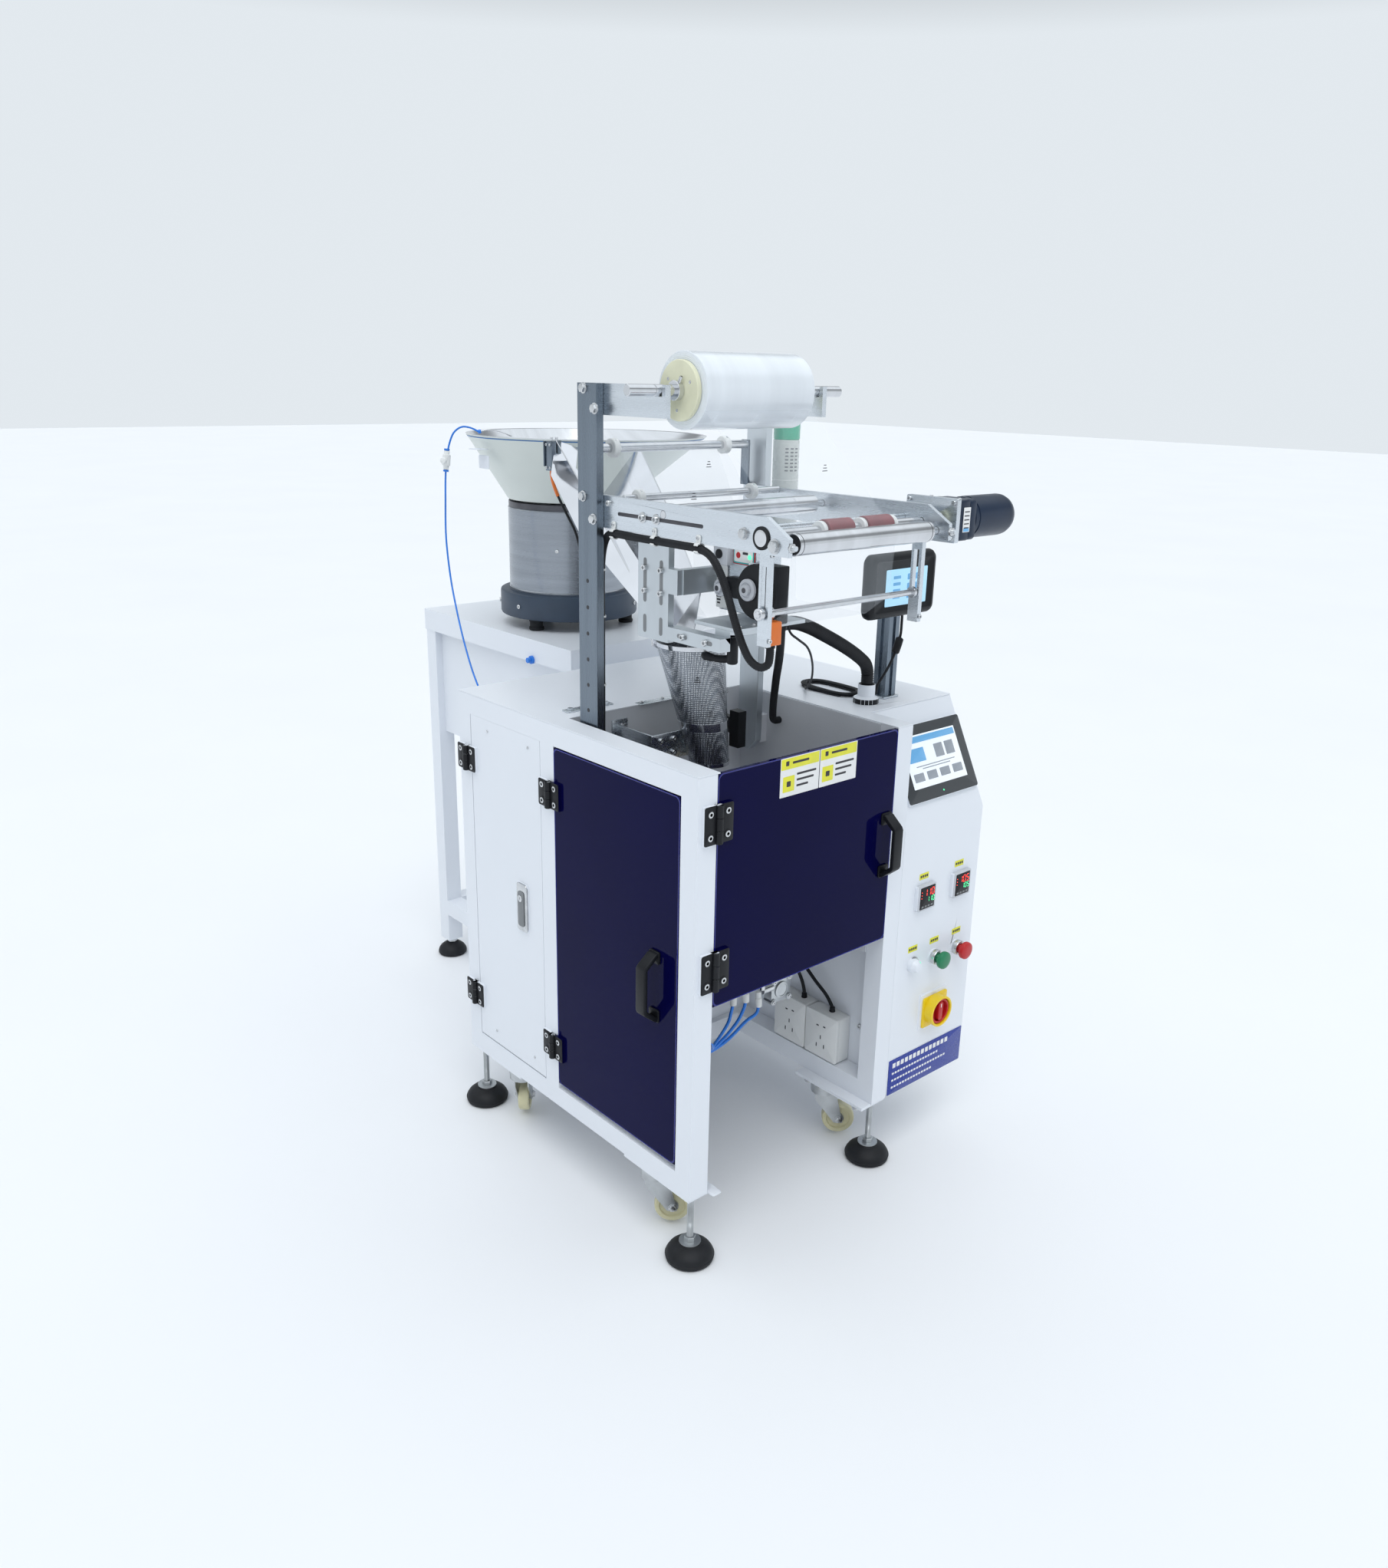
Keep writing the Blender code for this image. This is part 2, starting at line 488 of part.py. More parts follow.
def side_plates():
    outline = [(0.370, PLATE_Z[0]), (0.370, PLATE_Z[1]), (-0.061, PLATE_Z[1]), (-0.107, 1.266), (-0.107, PLATE_Z[0])]
    for side, x in zip(("left", "right"), PLATE_X):
        inward = 1 if side == "left" else -1
        face = x[1] if side == "left" else x[0]
        arm_x = sorted((face - inward * 0.001, face + inward * 0.008))
        wide = (x[0] - 0.02, x[1] + 0.02)
        pieces = [sawn(outline, "x", x), block(arm_x, (-0.063, -0.042), ARM_Z)]
        middle = sum(x) / 2
        pieces.append(rod((middle, -0.106, 1.254), (middle, SCREW_TIP_Y, 1.254), 0.0038, sides=10))
        cuts = [block(wide, (BAR_Y - BAR_R - GAP, BAR_Y + BAR_R + GAP), ARM_SLOT_Z)]
        for y, z in ((LARGE_Y, LARGE_Z), (DRIVE_Y, DRIVE_Z), (FRONT_Y, FRONT_Z)):
            cuts.append(rod((wide[0], y, z), (wide[1], y, z), JOURNAL_R + 0.0006, sides=16))
        if side == "left":
            pieces.append(block((x[1] + 0.0075, x[1] + 0.031), (-0.061, -0.039), (1.104, 1.138)))
            pieces.append(rod((x[1] - 0.001, TIE_Y, TIE_Z), (PLATE_X[1][0] - GAP, TIE_Y, TIE_Z), 0.005, sides=12))
        make(f"side_plate_{side}", pieces, STEEL, 0.3, 1.0, cuts=cuts)


def roller(name, y, z, radius, body_x, ends, colour=STEEL, metallic=1.0, extra=()):
    """A turned roller along x with a journal at each end; extra lists the wider sleeves on it."""
    at = (0, y, z)
    profile = [(0, ends[0]), (JOURNAL_R, ends[0]), (JOURNAL_R, body_x[0]), (radius, body_x[0])]
    for low, high, wide in extra:
        profile += [(radius, low), (wide, low), (wide, high), (radius, high)]
    profile += [(radius, body_x[1]), (JOURNAL_R, body_x[1]), (JOURNAL_R, ends[1]), (0, ends[1])]
    return make(name, [turned(profile, at, "x", 16)], colour, 0.25, metallic, pivot=at)


def rollers():
    outer = (PLATE_X[0][0], PLATE_X[1][1])
    inner = (PLATE_X[0][1] + GAP, PLATE_X[1][0] - GAP)
    roller("large_roller", LARGE_Y, LARGE_Z, LARGE_R, (0.080, 0.402), outer)
    roller("front_roller", FRONT_Y, FRONT_Z, NIP_R, (0.100, 0.404), outer)
    sleeves = ((0.195, 0.251, NIP_R), (0.284, 0.342, NIP_R))
    roller("drive_roll", DRIVE_Y, DRIVE_Z, 0.008, (0.090, 0.415), (outer[0], 0.478), (0.45, 0.10, 0.12), 0.0, sleeves)
    at = (0, UPPER_ROD_Y, UPPER_ROD_Z)
    profile = [(0, inner[0]), (0.006, inner[0]), (0.006, 0.099), (0.0135, 0.099), (0.0135, 0.111), (0.006, 0.111),
               (0.006, 0.354), (0.0135, 0.354), (0.0135, 0.366), (0.006, 0.366), (0.006, inner[1]), (0, inner[1])]
    make("upper_guide_rod", [turned(profile, at, "x", 12)], STEEL, 0.25, 1.0)
    at = (0, TOP_ROD_Y, TOP_ROD_Z)
    profile = [(0, 0.065 + GAP), (0.0075, 0.065 + GAP), (0.0075, 0.103), (0.0155, 0.103), (0.0155, 0.116),
               (0.0075, 0.116), (0.0075, 0.354), (0.0155, 0.354), (0.0155, 0.367), (0.0075, 0.367),
               (0.0075, 0.420), (0, 0.420)]
    strap = block((0.414, 0.4185), (0.347, 0.367), (PLATE_Z[1] + GAP, 1.373))
    shoe = block((0.414, 0.4335), (0.347, 0.367), (PLATE_Z[1] + GAP, PLATE_Z[1] + 0.004))
    make("top_guide_rod", [turned(profile, at, "x", 12), strap, shoe], STEEL, 0.25, 1.0)
    bar = rod((0.060, BAR_Y, BAR_Z), (0.430, BAR_Y, BAR_Z), BAR_R, sides=16)
    make("dancer_bar", [bar], STEEL, 0.25, 1.0, pivot=(0.245, BAR_Y, BAR_Z))


def gearmotor():
    axis = (DRIVE_Y + 0.002, DRIVE_Z)
    pieces = [
        block((0.470, 0.480), (-0.087, 0.019), (1.230, 1.301)),
        block((0.4795, 0.530), (-0.083, -0.013), (1.231, 1.299)),
        turned([(0, 0.529), (0.034, 0.529), (0.035, 0.540), (0.035, 0.640), (0.026, 0.655), (0, 0.655)],
               (0, *axis), "x", 24),
    ]
    for y, z in ((0.008, 1.250), (0.008, 1.283), (-0.066, 1.248)):
        pieces.append(rod((PLATE_X[1][1] + GAP, y, z), (0.471, y, z), 0.005, sides=12))
    cut = rod((0.460, DRIVE_Y, DRIVE_Z), (0.479, DRIVE_Y, DRIVE_Z), 0.012)
    make("gearmotor", pieces, (0.02, 0.04, 0.14), 0.4, cuts=[cut])


# ---- film coder


def coder():
    pieces = [
        block((0.078, 0.090), (0.170, 0.247), (1.070, 1.228)),
        block((0.078, 0.100), (0.045, 0.172), (1.075, 1.097)),
        block((0.099, 0.165), (0.045, 0.080), (1.0965, 1.107)),
        block((0.100, 0.250), (0.030, 0.130), (1.106, 1.112)),
        block((0.078, 0.092), (0.148, 0.172), (1.150, 1.190)),
        block((0.089, 0.200), (0.146, 0.160), (1.150, 1.190)),
        block((0.160, 0.200), (0.140 + GAP, 0.147), (1.150, 1.190)),
    ]
    make("coder_mount", pieces, (0.72, 0.73, 0.74), 0.35, 1.0)
    body = [block((0.162, 0.218), (0.058, 0.140), (1.122, 1.235)), block((0.148, 0.170), (-0.006, 0.060), (1.122, 1.208))]
    make("coder_body", body, STEEL, 0.3, 1.0)
    hub = (0.120, 0.061)
    arm = [(0.113, 0.064), (0.092, 0.108), (0.103, 0.112), (0.127, 0.067)]
    pieces = [rod((*hub, 1.066), (*hub, 1.0965 - GAP), 0.009), sawn(arm, "z", (1.046, 1.0705))]
    make("clamp_lever", pieces, BLACK, 0.5, pivot=(*hub, 1.08))


# ---- bag forming and sealing


def forming_tube():
    wall = TUBE_WALL
    low, high = TUBE_LOW, TUBE_TOP
    solid = lofted([ring(low[0], low[1]), ring(high[0], high[1])])
    step = 0.002 / (high[0][2] - low[0][2])

    def past(share):
        centre = Vector(low[0]).lerp(Vector(high[0]), share)
        return ring(tuple(centre), low[1] + (high[1] - low[1]) * share - wall)

    bore = lofted([past(-step), past(1 + step)])
    plate = block((0.150, 0.262), (0.296, 0.2995), (0.822, 0.872))
    foot = block((0.150, 0.1535), (0.296, WELL_BACK - GAP), (0.822, 0.872))
    make("forming_tube", [solid, plate, foot], STEEL, 0.35, 1.0, cuts=[bore])


def chute():
    """A trough with a V section that narrows evenly from the bowl's lip down to the forming tube's mouth."""
    left, middle, right = Vector((0.300, 0.775, 1.340)), Vector((0.380, 0.745, 1.240)), Vector((0.470, 0.735, 1.335))
    inward, upward = Vector((0.0022, 0, 0)), Vector((0, 0.0019, 0.0035))
    start = [left, middle, right, right - inward, middle + upward, left + inward]
    end = [Vector((0.238, 0.340, 1.050)) + (point - middle) * CHUTE_NARROWING for point in start]
    make("chute", [lofted([start, end])], STEEL, 0.3, 1.0)


def jaws():
    middle = sum(JAW_X) / 2
    for name, facing in (("jaw_front", 1), ("jaw_rear", -1)):
        face = JAW_PLANE_Y - facing * (JAW_OPEN + 0.0005)
        far = face - facing * JAW_DEEP
        depth = sorted((face, far))
        wide = (GUIDE_X[0] - 0.013, GUIDE_X[1] + 0.013)
        crosshead = sorted((far, far + facing * 0.014))
        stem_end = 0.062 if facing > 0 else 0.440
        pieces = [
            block(JAW_X, depth, JAW_Z),
            block(wide, crosshead, (JAW_Z[0] + 0.012, JAW_Z[1] - 0.012)),
            rod((middle, far + facing * 0.002, GUIDE_Z), (middle, stem_end, GUIDE_Z), 0.005, sides=16),
        ]
        cuts = [rod((x, crosshead[0] - 0.01, GUIDE_Z), (x, crosshead[1] + 0.01, GUIDE_Z), GUIDE_R + 0.0006, sides=16)
                for x in GUIDE_X]
        make(name, pieces, (0.55, 0.50, 0.42), 0.35, 1.0, cuts=cuts, pivot=(middle, face, GUIDE_Z))
    x, y = SEAL_PIN
    arm = [(x - 0.008, y + 0.004), (x - 0.026, 0.262), (x - 0.018, 0.258), (x + 0.008, y)]
    pieces = [rod((x, y, 0.844), (x, y, 0.886), 0.009), sawn(arm, "z", (0.850, 0.880)),
              block((0.316, 0.335), (0.248, 0.272), (0.831, 0.899))]
    bore = rod((x, y, 0.840), (x, y, 0.890), 0.0036, sides=12)
    make("vertical_sealer", pieces, BLACK, 0.5, cuts=[bore], pivot=(x, y, 0.865))


# ---- bowl feeder


def table():
    """A folded tray on a stand of square tube, with aprons at both ends of it."""
    fold = (TABLE_TOP - 0.050, TABLE_TOP)
    pieces = [block(TABLE_X, TABLE_Y, (TABLE_TOP - 0.003, TABLE_TOP))]
    for end in ((TABLE_X[0], TABLE_X[0] + 0.003), (TABLE_X[1] - 0.003, TABLE_X[1])):
        pieces.append(block(end, TABLE_Y, fold))
    for end in ((TABLE_Y[0], TABLE_Y[0] + 0.003), (TABLE_Y[1] - 0.003, TABLE_Y[1])):
        pieces.append(block(TABLE_X, end, fold))
    xs = ((TABLE_X[0] + 0.003, TABLE_X[0] + 0.003 + TUBE), (TABLE_X[1] - 0.003 - TUBE, TABLE_X[1] - 0.003))
    ys = ((TABLE_Y[0] + 0.003, TABLE_Y[0] + 0.003 + TUBE), (TABLE_Y[1] - 0.003 - TUBE, TABLE_Y[1] - 0.003))
    legs_x = ((xs[0][0] - 0.001, xs[0][1]), (xs[1][0], xs[1][1] + 0.001))
    for x in legs_x:
        for y in ys:
            pieces.append(block(x, y, (0.045, TABLE_TOP - 0.002)))
            centre = ((x[0] + x[1]) / 2, (y[0] + y[1]) / 2)
            pieces.append(turned([(0, 0), (TABLE_PAD_R, 0), (TABLE_PAD_R, 0.010), (0.008, 0.018), (0.008, 0.046),
                                  (0, 0.046)], (*centre, 0), sides=12))
    rail = (0.120, 0.160)
    for x in legs_x:
        pieces.append(block(x, (ys[0][0], ys[1][1]), rail))
        sheet = (x[0] + 0.018, x[0] + 0.021)
        pieces.append(block(sheet, (ys[0][0], ys[1][1]), (0.620, TABLE_TOP - 0.040)))
    for y in ys:
        pieces.append(block((xs[0][0], xs[1][1]), y, rail))
    make("table_frame", pieces, WHITE, 0.35, solver="MANIFOLD")


def feeder():
    at = (DRUM_X, DRUM_Y, 0)
    profile = [(0, BASE_Z), (BASE_R - 0.004, BASE_Z), (BASE_R, BASE_Z + 0.006), (BASE_R - 0.004, BASE_TOP),
               (DRUM_R, BASE_TOP + 0.004), (DRUM_R, DRUM_TOP - 0.012), (DRUM_R - 0.004, DRUM_TOP - 0.010),
               (DRUM_R - 0.004, DRUM_TOP), (0, DRUM_TOP)]
    pieces = [turned(profile, at, sides=28)]
    for turn in (200, 320, 80):
        x = DRUM_X + 0.132 * math.cos(math.radians(turn))
        y = DRUM_Y + 0.132 * math.sin(math.radians(turn))
        pieces.append(rod((x, y, TABLE_TOP + GAP), (x, y, BASE_Z + 0.001), 0.017, sides=16))
    make("feeder_base", pieces, (0.25, 0.29, 0.36), 0.4)
    low, high = (DRUM_X, DRUM_Y, BOWL_Z), (RIM_X, RIM_Y, RIM_Z)
    floor = (DRUM_X, DRUM_Y, BOWL_Z + 0.006)
    solid = lofted([ring(low, DRUM_R, 32), ring(high, RIM_R, 32)])
    above = (RIM_X + 0.0005, RIM_Y - 0.0004, RIM_Z + 0.002)
    hollow = lofted([ring(floor, DRUM_R - 0.002, 32), ring(above, RIM_R - BOWL_WALL, 32)])
    make("feeder_bowl", [solid], (0.85, 0.86, 0.80), 0.4, cuts=[hollow], pivot=at)


# ---- controls on the machine


def controls():
    head = [(0, -0.034), (0.012, -0.033), (0.0175, -0.029), (0.0175, -0.023), (0.009, -0.020), (0.009, 0.006),
            (0, 0.006)]
    for name, x, colour in (("start_button", START_X, (0.02, 0.40, 0.12)), ("stop_button", STOP_X, (0.60, 0.03, 0.02))):
        at = (x, 0, BUTTON_Z)
        make(name, [turned(head, at, "y", 16)], colour, 0.35, pivot=at)
    at = (ISOLATOR_X, 0, ISOLATOR_Z)
    knob = turned([(0, -0.022), (0.024, -0.022), (0.025, -0.004), (0.005, -0.004), (0.005, 0.006), (0, 0.006)],
                  at, "y", 16)
    grip = block((ISOLATOR_X - 0.007, ISOLATOR_X + 0.007), (-0.038, -0.021), (ISOLATOR_Z - 0.023, ISOLATOR_Z + 0.023))
    make("isolator_knob", [knob, grip], (0.60, 0.03, 0.02), 0.35, pivot=at)
    pieces = [
        block((0.503, 0.690), (0.112, 0.140), (1.065, 1.184)),
        block((0.600, 0.648), (0.139, 0.153), (1.095, 1.155)),
        block((0.609, 0.639), (0.1525, 0.1825), (CABINET_TOP + GAP, 1.160)),
    ]
    make("tablet", pieces, BLACK, 0.45)
    x, y = TOWER_X, TOWER_Y
    tower = turned([(0, TOWER_Z[0]), (TOWER_R, TOWER_Z[0]), (TOWER_R, TOWER_Z[1] - 0.004),
                    (TOWER_R - 0.004, TOWER_Z[1]), (0, TOWER_Z[1])], (x, y, 0))
    arm = block((UPRIGHT_X[1][1] + GAP, x), (y - 0.012, y + 0.012), (1.196, 1.2015))
    tab = block((UPRIGHT_X[1][1] + GAP, UPRIGHT_X[1][1] + 0.004), (y - 0.012, y + 0.012), (1.160, 1.2015))
    make("signal_tower", [tower, arm, tab], (0.80, 0.82, 0.80), 0.3)


# ---- cords: each route is in the machine's frame, from the exit to the far end

HOSE = (0.024, [
    (0.238, 0.092, 1.0936), (0.262, 0.0922, 1.0936), (0.294, 0.093, 1.091), (0.332, 0.096, 1.0785),
    (0.375, 0.101, 1.0595), (0.429, 0.111, 1.035), (0.480, 0.1255, 1.011), (0.520, 0.140, 0.991),
    (0.545, 0.150, 0.976), (0.5565, 0.1545, 0.960), (0.558, 0.155, 0.948), (0.558, 0.155, 0.9372),
])
SENSOR_CONDUIT = (0.013, [
    (0.081, 0.3995, 0.800), (0.081, 0.382, 0.801), (0.081, 0.362, 0.812), (0.0805, 0.351, 0.838),
    (0.080, 0.349, 0.900), (0.080, 0.349, 1.000), (0.080, 0.349, 1.100), (0.0795, 0.348, 1.165),
    (0.078, 0.341, 1.202), (0.0725, 0.322, 1.2255), (0.067, 0.294, 1.2325), (0.065, 0.250, 1.2328),
    (0.065, 0.189, 1.2328), (0.065, 0.135, 1.2328), (0.0655, 0.084, 1.2318), (0.067, 0.058, 1.2230),
    (0.068, 0.038, 1.2010), (0.0685, 0.020, 1.1690), (0.068, 0.002, 1.1320), (0.069, -0.014, 1.1010),
    (0.073, -0.027, 1.0790), (0.081, -0.040, 1.0685), (0.090, -0.0485, 1.0725), (0.0925, -0.0500, 1.0860),
    (0.0925, -0.0500, 1.1036),
])
DROP_CONDUIT = (0.014, [
    (0.2165, 0.050, 1.1056), (0.2165, 0.050, 1.090), (0.2195, 0.0535, 1.072), (0.232, 0.067, 1.049),
    (0.262, 0.099, 1.020), (0.300, 0.140, 0.9860), (0.345, 0.187, 0.9480), (0.390, 0.234, 0.9080),
    (0.424, 0.268, 0.8740), (0.444, 0.286, 0.8580), (0.455, 0.2915, 0.8520), (0.4665, 0.2925, 0.8510),
])
TABLET_CABLE = (0.005, [
    (0.612, 0.126, 1.0645), (0.612, 0.126, 1.048), (0.609, 0.124, 1.031), (0.600, 0.121, 1.012),
    (0.590, 0.122, 0.990), (0.582, 0.127, 0.968), (0.578, 0.137, 0.947), (0.577, 0.145, 0.932),
    (0.577, 0.1475, 0.9148),
])
CODER_LEAD = (0.004, [
    (0.243, 0.060, 1.1036), (0.243, 0.060, 1.094), (0.249, 0.0585, 1.083), (0.268, 0.060, 1.071),
    (0.306, 0.078, 1.053), (0.352, 0.112, 1.030), (0.398, 0.150, 1.005), (0.442, 0.188, 0.978),
    (0.480, 0.224, 0.947), (0.502, 0.251, 0.924), (0.516, 0.272, 0.9100), (0.528, 0.284, 0.9060),
    (0.5405, 0.2885, 0.9050),
])
AIR_TUBE = (0.004, [
    (0.263, 1.020, 1.359), (0.254, 1.024, 1.364), (0.245, 1.029, 1.3675), (0.235, 1.036, 1.3685),
    (0.225, 1.043, 1.363), (0.216, 1.048, 1.351), (0.207, 1.050, 1.327), (0.201, 1.050, 1.299),
    (0.197, 1.050, 1.268), (0.1945, 1.050, 1.223), (0.189, 1.045, 1.141), (0.183, 1.024, 1.062),
    (0.171, 0.985, 1.000), (0.158, 0.935, 0.932), (0.148, 0.880, 0.866), (0.148, 0.825, 0.805),
    (0.165, 0.780, 0.757), (0.188, 0.752, 0.730), (0.200, 0.735, 0.7205), (0.200, 0.7165, 0.720),
])
LEAD_COIL = ((0.575, 0.262), 0.140, 0.066, 0.014, 0.010)  # middle, length, width, build-up and height


STEPS_BETWEEN = 16  # of the smooth curve between two points of a route
HALF_STEP = STEPS_BETWEEN // 2


def smooth_route(points, spacing):
    """Points about a spacing apart on the smooth curve through the route's own points."""
    route = [Vector(point) for point in points]
    route = [2 * route[0] - route[1]] + route + [2 * route[-1] - route[-2]]
    fine = []
    for before, start, end, after in zip(route, route[1:], route[2:], route[3:]):
        for i in range(STEPS_BETWEEN):
            t = i / STEPS_BETWEEN
            fine.append(0.5 * (2 * start + (end - before) * t + (2 * before - 5 * start + 4 * end - after) * t**2
                               + (3 * start - before - 3 * end + after) * t**3))
    fine.append(route[-2])
    length = sum((two - one).length for one, two in zip(fine, fine[1:]))
    steps = max(2, round(length / spacing))
    near, far = fine[HALF_STEP], fine[-1 - HALF_STEP]
    chosen, walked = [fine[0], near], 0.0
    for one, two in zip(fine, fine[1:]):
        walked += (two - one).length
        if walked < length * (len(chosen) - 1) / steps:
            continue
        if (two - near).length > spacing / 2 and (two - far).length > spacing / 2 and walked < length - spacing / 2:
            chosen.append(two)
    return chosen + [far, fine[-1]]


def cord(name, diameter, points, colour):
    """A plain tube along the smooth curve, its ends closed."""
    curve = bpy.data.curves.new(name, "CURVE")
    curve.dimensions = "3D"
    curve.bevel_depth = diameter / 2
    curve.bevel_resolution = 2
    curve.use_fill_caps = True
    curve.materials.append(finish_of(name, colour, 0.5, 0.0))
    chosen = smooth_route(points, max(0.016, min(2.6 * diameter, 0.024)))
    spline = curve.splines.new("POLY")
    spline.points.add(len(chosen) - 1)
    for point, place in zip(spline.points, chosen):
        point.co = (*place, 1.0)
    bpy.context.scene.collection.objects.link(bpy.data.objects.new(name, curve))


def stadium(middle, length, width, arc=8):
    """A closed outline with round ends, long along y."""
    radius = width / 2
    points = []
    for sign in (1, -1):
        centre = middle[1] + sign * (length / 2 - radius)
        for i in range(arc + 1):
            turn = math.pi * i / arc
            points.append((middle[0] + sign * radius * math.cos(turn), centre + sign * radius * math.sin(turn)))
    return points


def cords():
    cord("coder_hose", *HOSE, BLACK)
    cord("sensor_conduit", *SENSOR_CONDUIT, BLACK)
    cord("drop_conduit", *DROP_CONDUIT, BLACK)
    cord("tablet_cable", *TABLET_CABLE, BLACK)
    cord("coder_lead", *CODER_LEAD, BLACK)
    cord("air_tube", *AIR_TUBE, (0.05, 0.35, 0.85))
    middle, length, width, build, height = LEAD_COIL
    ends = (CABINET_TOP + GAP, CABINET_TOP + GAP + height)
    outer = sawn(stadium(middle, length, width), "z", ends)
    hole = sawn(stadium(middle, length - 2 * build, width - 2 * build), "z", (ends[0] - 0.01, ends[1] + 0.01))
    make("lead_coil", [outer], BLACK, cuts=[hole])


def stand_on_origin():
    """Carries every piece so that the middle of the footprint is the origin."""
    left, right = -HANDLE_PROUD, RIM_X + RIM_R
    front, back = SCREW_TIP_Y, TABLE_Y[1]
    base = bpy.data.objects.new("machine", None)
    bpy.context.scene.collection.objects.link(base)
    base.location = (-(left + right) / 2, -(front + back) / 2, 0)
    for obj in bpy.data.objects:
        if obj is not base and obj.parent is None:
            obj.parent = base


clear_scene()
fixed_hinge_halves = doors()
cabinet_frame(fixed_hinge_halves)
top_deck()
compartment_liner()
control_box()
feet_and_casters()
uprights()
roll()
side_plates()
rollers()
gearmotor()
coder()
forming_tube()
chute()
jaws()
table()
feeder()
controls()
cords()
stand_on_origin()
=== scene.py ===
import json
import math

import bpy
import numpy as np
from mathutils import Matrix

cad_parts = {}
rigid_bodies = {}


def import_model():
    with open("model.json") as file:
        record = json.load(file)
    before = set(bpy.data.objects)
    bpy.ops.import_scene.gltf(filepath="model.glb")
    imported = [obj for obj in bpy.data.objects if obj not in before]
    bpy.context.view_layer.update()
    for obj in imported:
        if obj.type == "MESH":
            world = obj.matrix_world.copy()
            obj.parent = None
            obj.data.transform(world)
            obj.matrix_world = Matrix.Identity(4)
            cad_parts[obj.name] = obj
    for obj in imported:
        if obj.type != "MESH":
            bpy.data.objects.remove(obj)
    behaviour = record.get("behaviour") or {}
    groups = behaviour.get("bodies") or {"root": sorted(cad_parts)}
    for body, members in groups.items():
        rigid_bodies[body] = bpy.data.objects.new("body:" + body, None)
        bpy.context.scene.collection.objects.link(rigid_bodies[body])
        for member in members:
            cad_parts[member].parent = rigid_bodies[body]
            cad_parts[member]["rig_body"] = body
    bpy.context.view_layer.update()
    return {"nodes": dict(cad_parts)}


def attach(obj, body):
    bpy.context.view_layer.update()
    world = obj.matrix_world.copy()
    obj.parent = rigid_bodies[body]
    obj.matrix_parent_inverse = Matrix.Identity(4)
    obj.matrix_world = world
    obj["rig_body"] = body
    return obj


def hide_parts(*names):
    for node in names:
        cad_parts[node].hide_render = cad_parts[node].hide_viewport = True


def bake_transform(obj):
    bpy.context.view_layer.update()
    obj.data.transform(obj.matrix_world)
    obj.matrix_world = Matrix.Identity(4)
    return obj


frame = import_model()

# Places below are measured from the floor point under the cabinet's front left corner.
cabinetCorner = np.array([0.3875, 0.626, 0.0])
xAxis, yAxis, zAxis = np.eye(3)


def onMachine(points):
    # from the cabinet's corner to the part's own origin
    return np.asarray(points, float) - cabinetCorner


# A shape is (points, list of face index arrays).

def surface(grid, wrap=True, startCap=False, endCap=False):
    # grid[i, j] is a point: i runs along, j runs round and wraps back to 0; a cap is a fan to the row's middle
    rows, cols = grid.shape[:2]
    i, j = np.meshgrid(np.arange(rows - 1), np.arange(cols if wrap else cols - 1), indexing="ij")
    k = (j + 1) % cols
    quads = np.stack([i * cols + j, i * cols + k, (i + 1) * cols + k, (i + 1) * cols + j], -1).reshape(-1, 4)
    points, faces = [grid.reshape(-1, 3)], [quads]
    ring, count = np.arange(cols), rows * cols
    for capped, row, turn in ((startCap, 0, -1), (endCap, rows - 1, 1)):
        if capped:
            points.append(grid[row].mean(0)[None])
            pair = [row * cols + ring, row * cols + (ring + 1) % cols][::turn]
            faces.append(np.stack([*pair, np.full(cols, count)], -1))
            count += 1
    return np.concatenate(points), faces


def joined(shapes):
    points, faces, start = [], [], 0
    for p, f in shapes:
        points.append(p)
        faces += [a + start for a in f]
        start += len(p)
    return np.concatenate(points), faces


def sideways(axis):
    # two directions square to an axis and to each other, u x v = axis
    axis = np.asarray(axis, float) / np.linalg.norm(axis)
    u = np.cross(zAxis if abs(axis[2]) < 0.9 else xAxis, axis)
    u /= np.linalg.norm(u)
    return u, np.cross(axis, u), axis


def turned(profile, base, axis=zAxis, sides=40, hexRows=(), hexTurn=0.0):
    # a profile of (radius, height) carried round an axis; the rows in hexRows are six-sided instead of round
    profile = np.asarray(profile, float)
    u, v, n = sideways(axis)
    a = np.linspace(0, 2 * np.pi, sides, endpoint=False)
    radius = np.repeat(profile[:, :1], sides, 1)
    flat = math.cos(math.pi / 6) / np.cos((a + hexTurn) % (math.pi / 3) - math.pi / 6)
    for row in hexRows:
        radius[row] *= flat
    grid = (np.asarray(base, float) + radius[..., None] * (np.cos(a)[:, None] * u + np.sin(a)[:, None] * v)
            + profile[:, 1][:, None, None] * n)
    return surface(grid, startCap=profile[0, 0] > 0, endCap=profile[-1, 0] > 0)


def roundRod(start, end, radius, sides=32, soft=0.0008, hexagon=False):
    # a straight rod with its two ends slightly rounded over
    start, end = np.asarray(start, float), np.asarray(end, float)
    length = np.linalg.norm(end - start)
    profile = [(radius - soft, 0), (radius, soft), (radius, length - soft), (radius - soft, length)]
    return turned(profile, start, end - start, sides, hexRows=range(4) if hexagon else ())


def roundRect(halfWide, halfTall, radius, steps=5):
    # the outline of a rectangle with round corners, as (n, 2)
    radius = min(radius, halfWide, halfTall)
    a = np.linspace(0, np.pi / 2, steps + 1)
    corners = []
    for k, (sx, sy) in enumerate(((1, 1), (-1, 1), (-1, -1), (1, -1))):
        b = a + k * np.pi / 2
        corners.append(np.stack([sx * (halfWide - radius) + radius * np.cos(b),
                                 sy * (halfTall - radius) + radius * np.sin(b)], -1))
    return np.concatenate(corners)


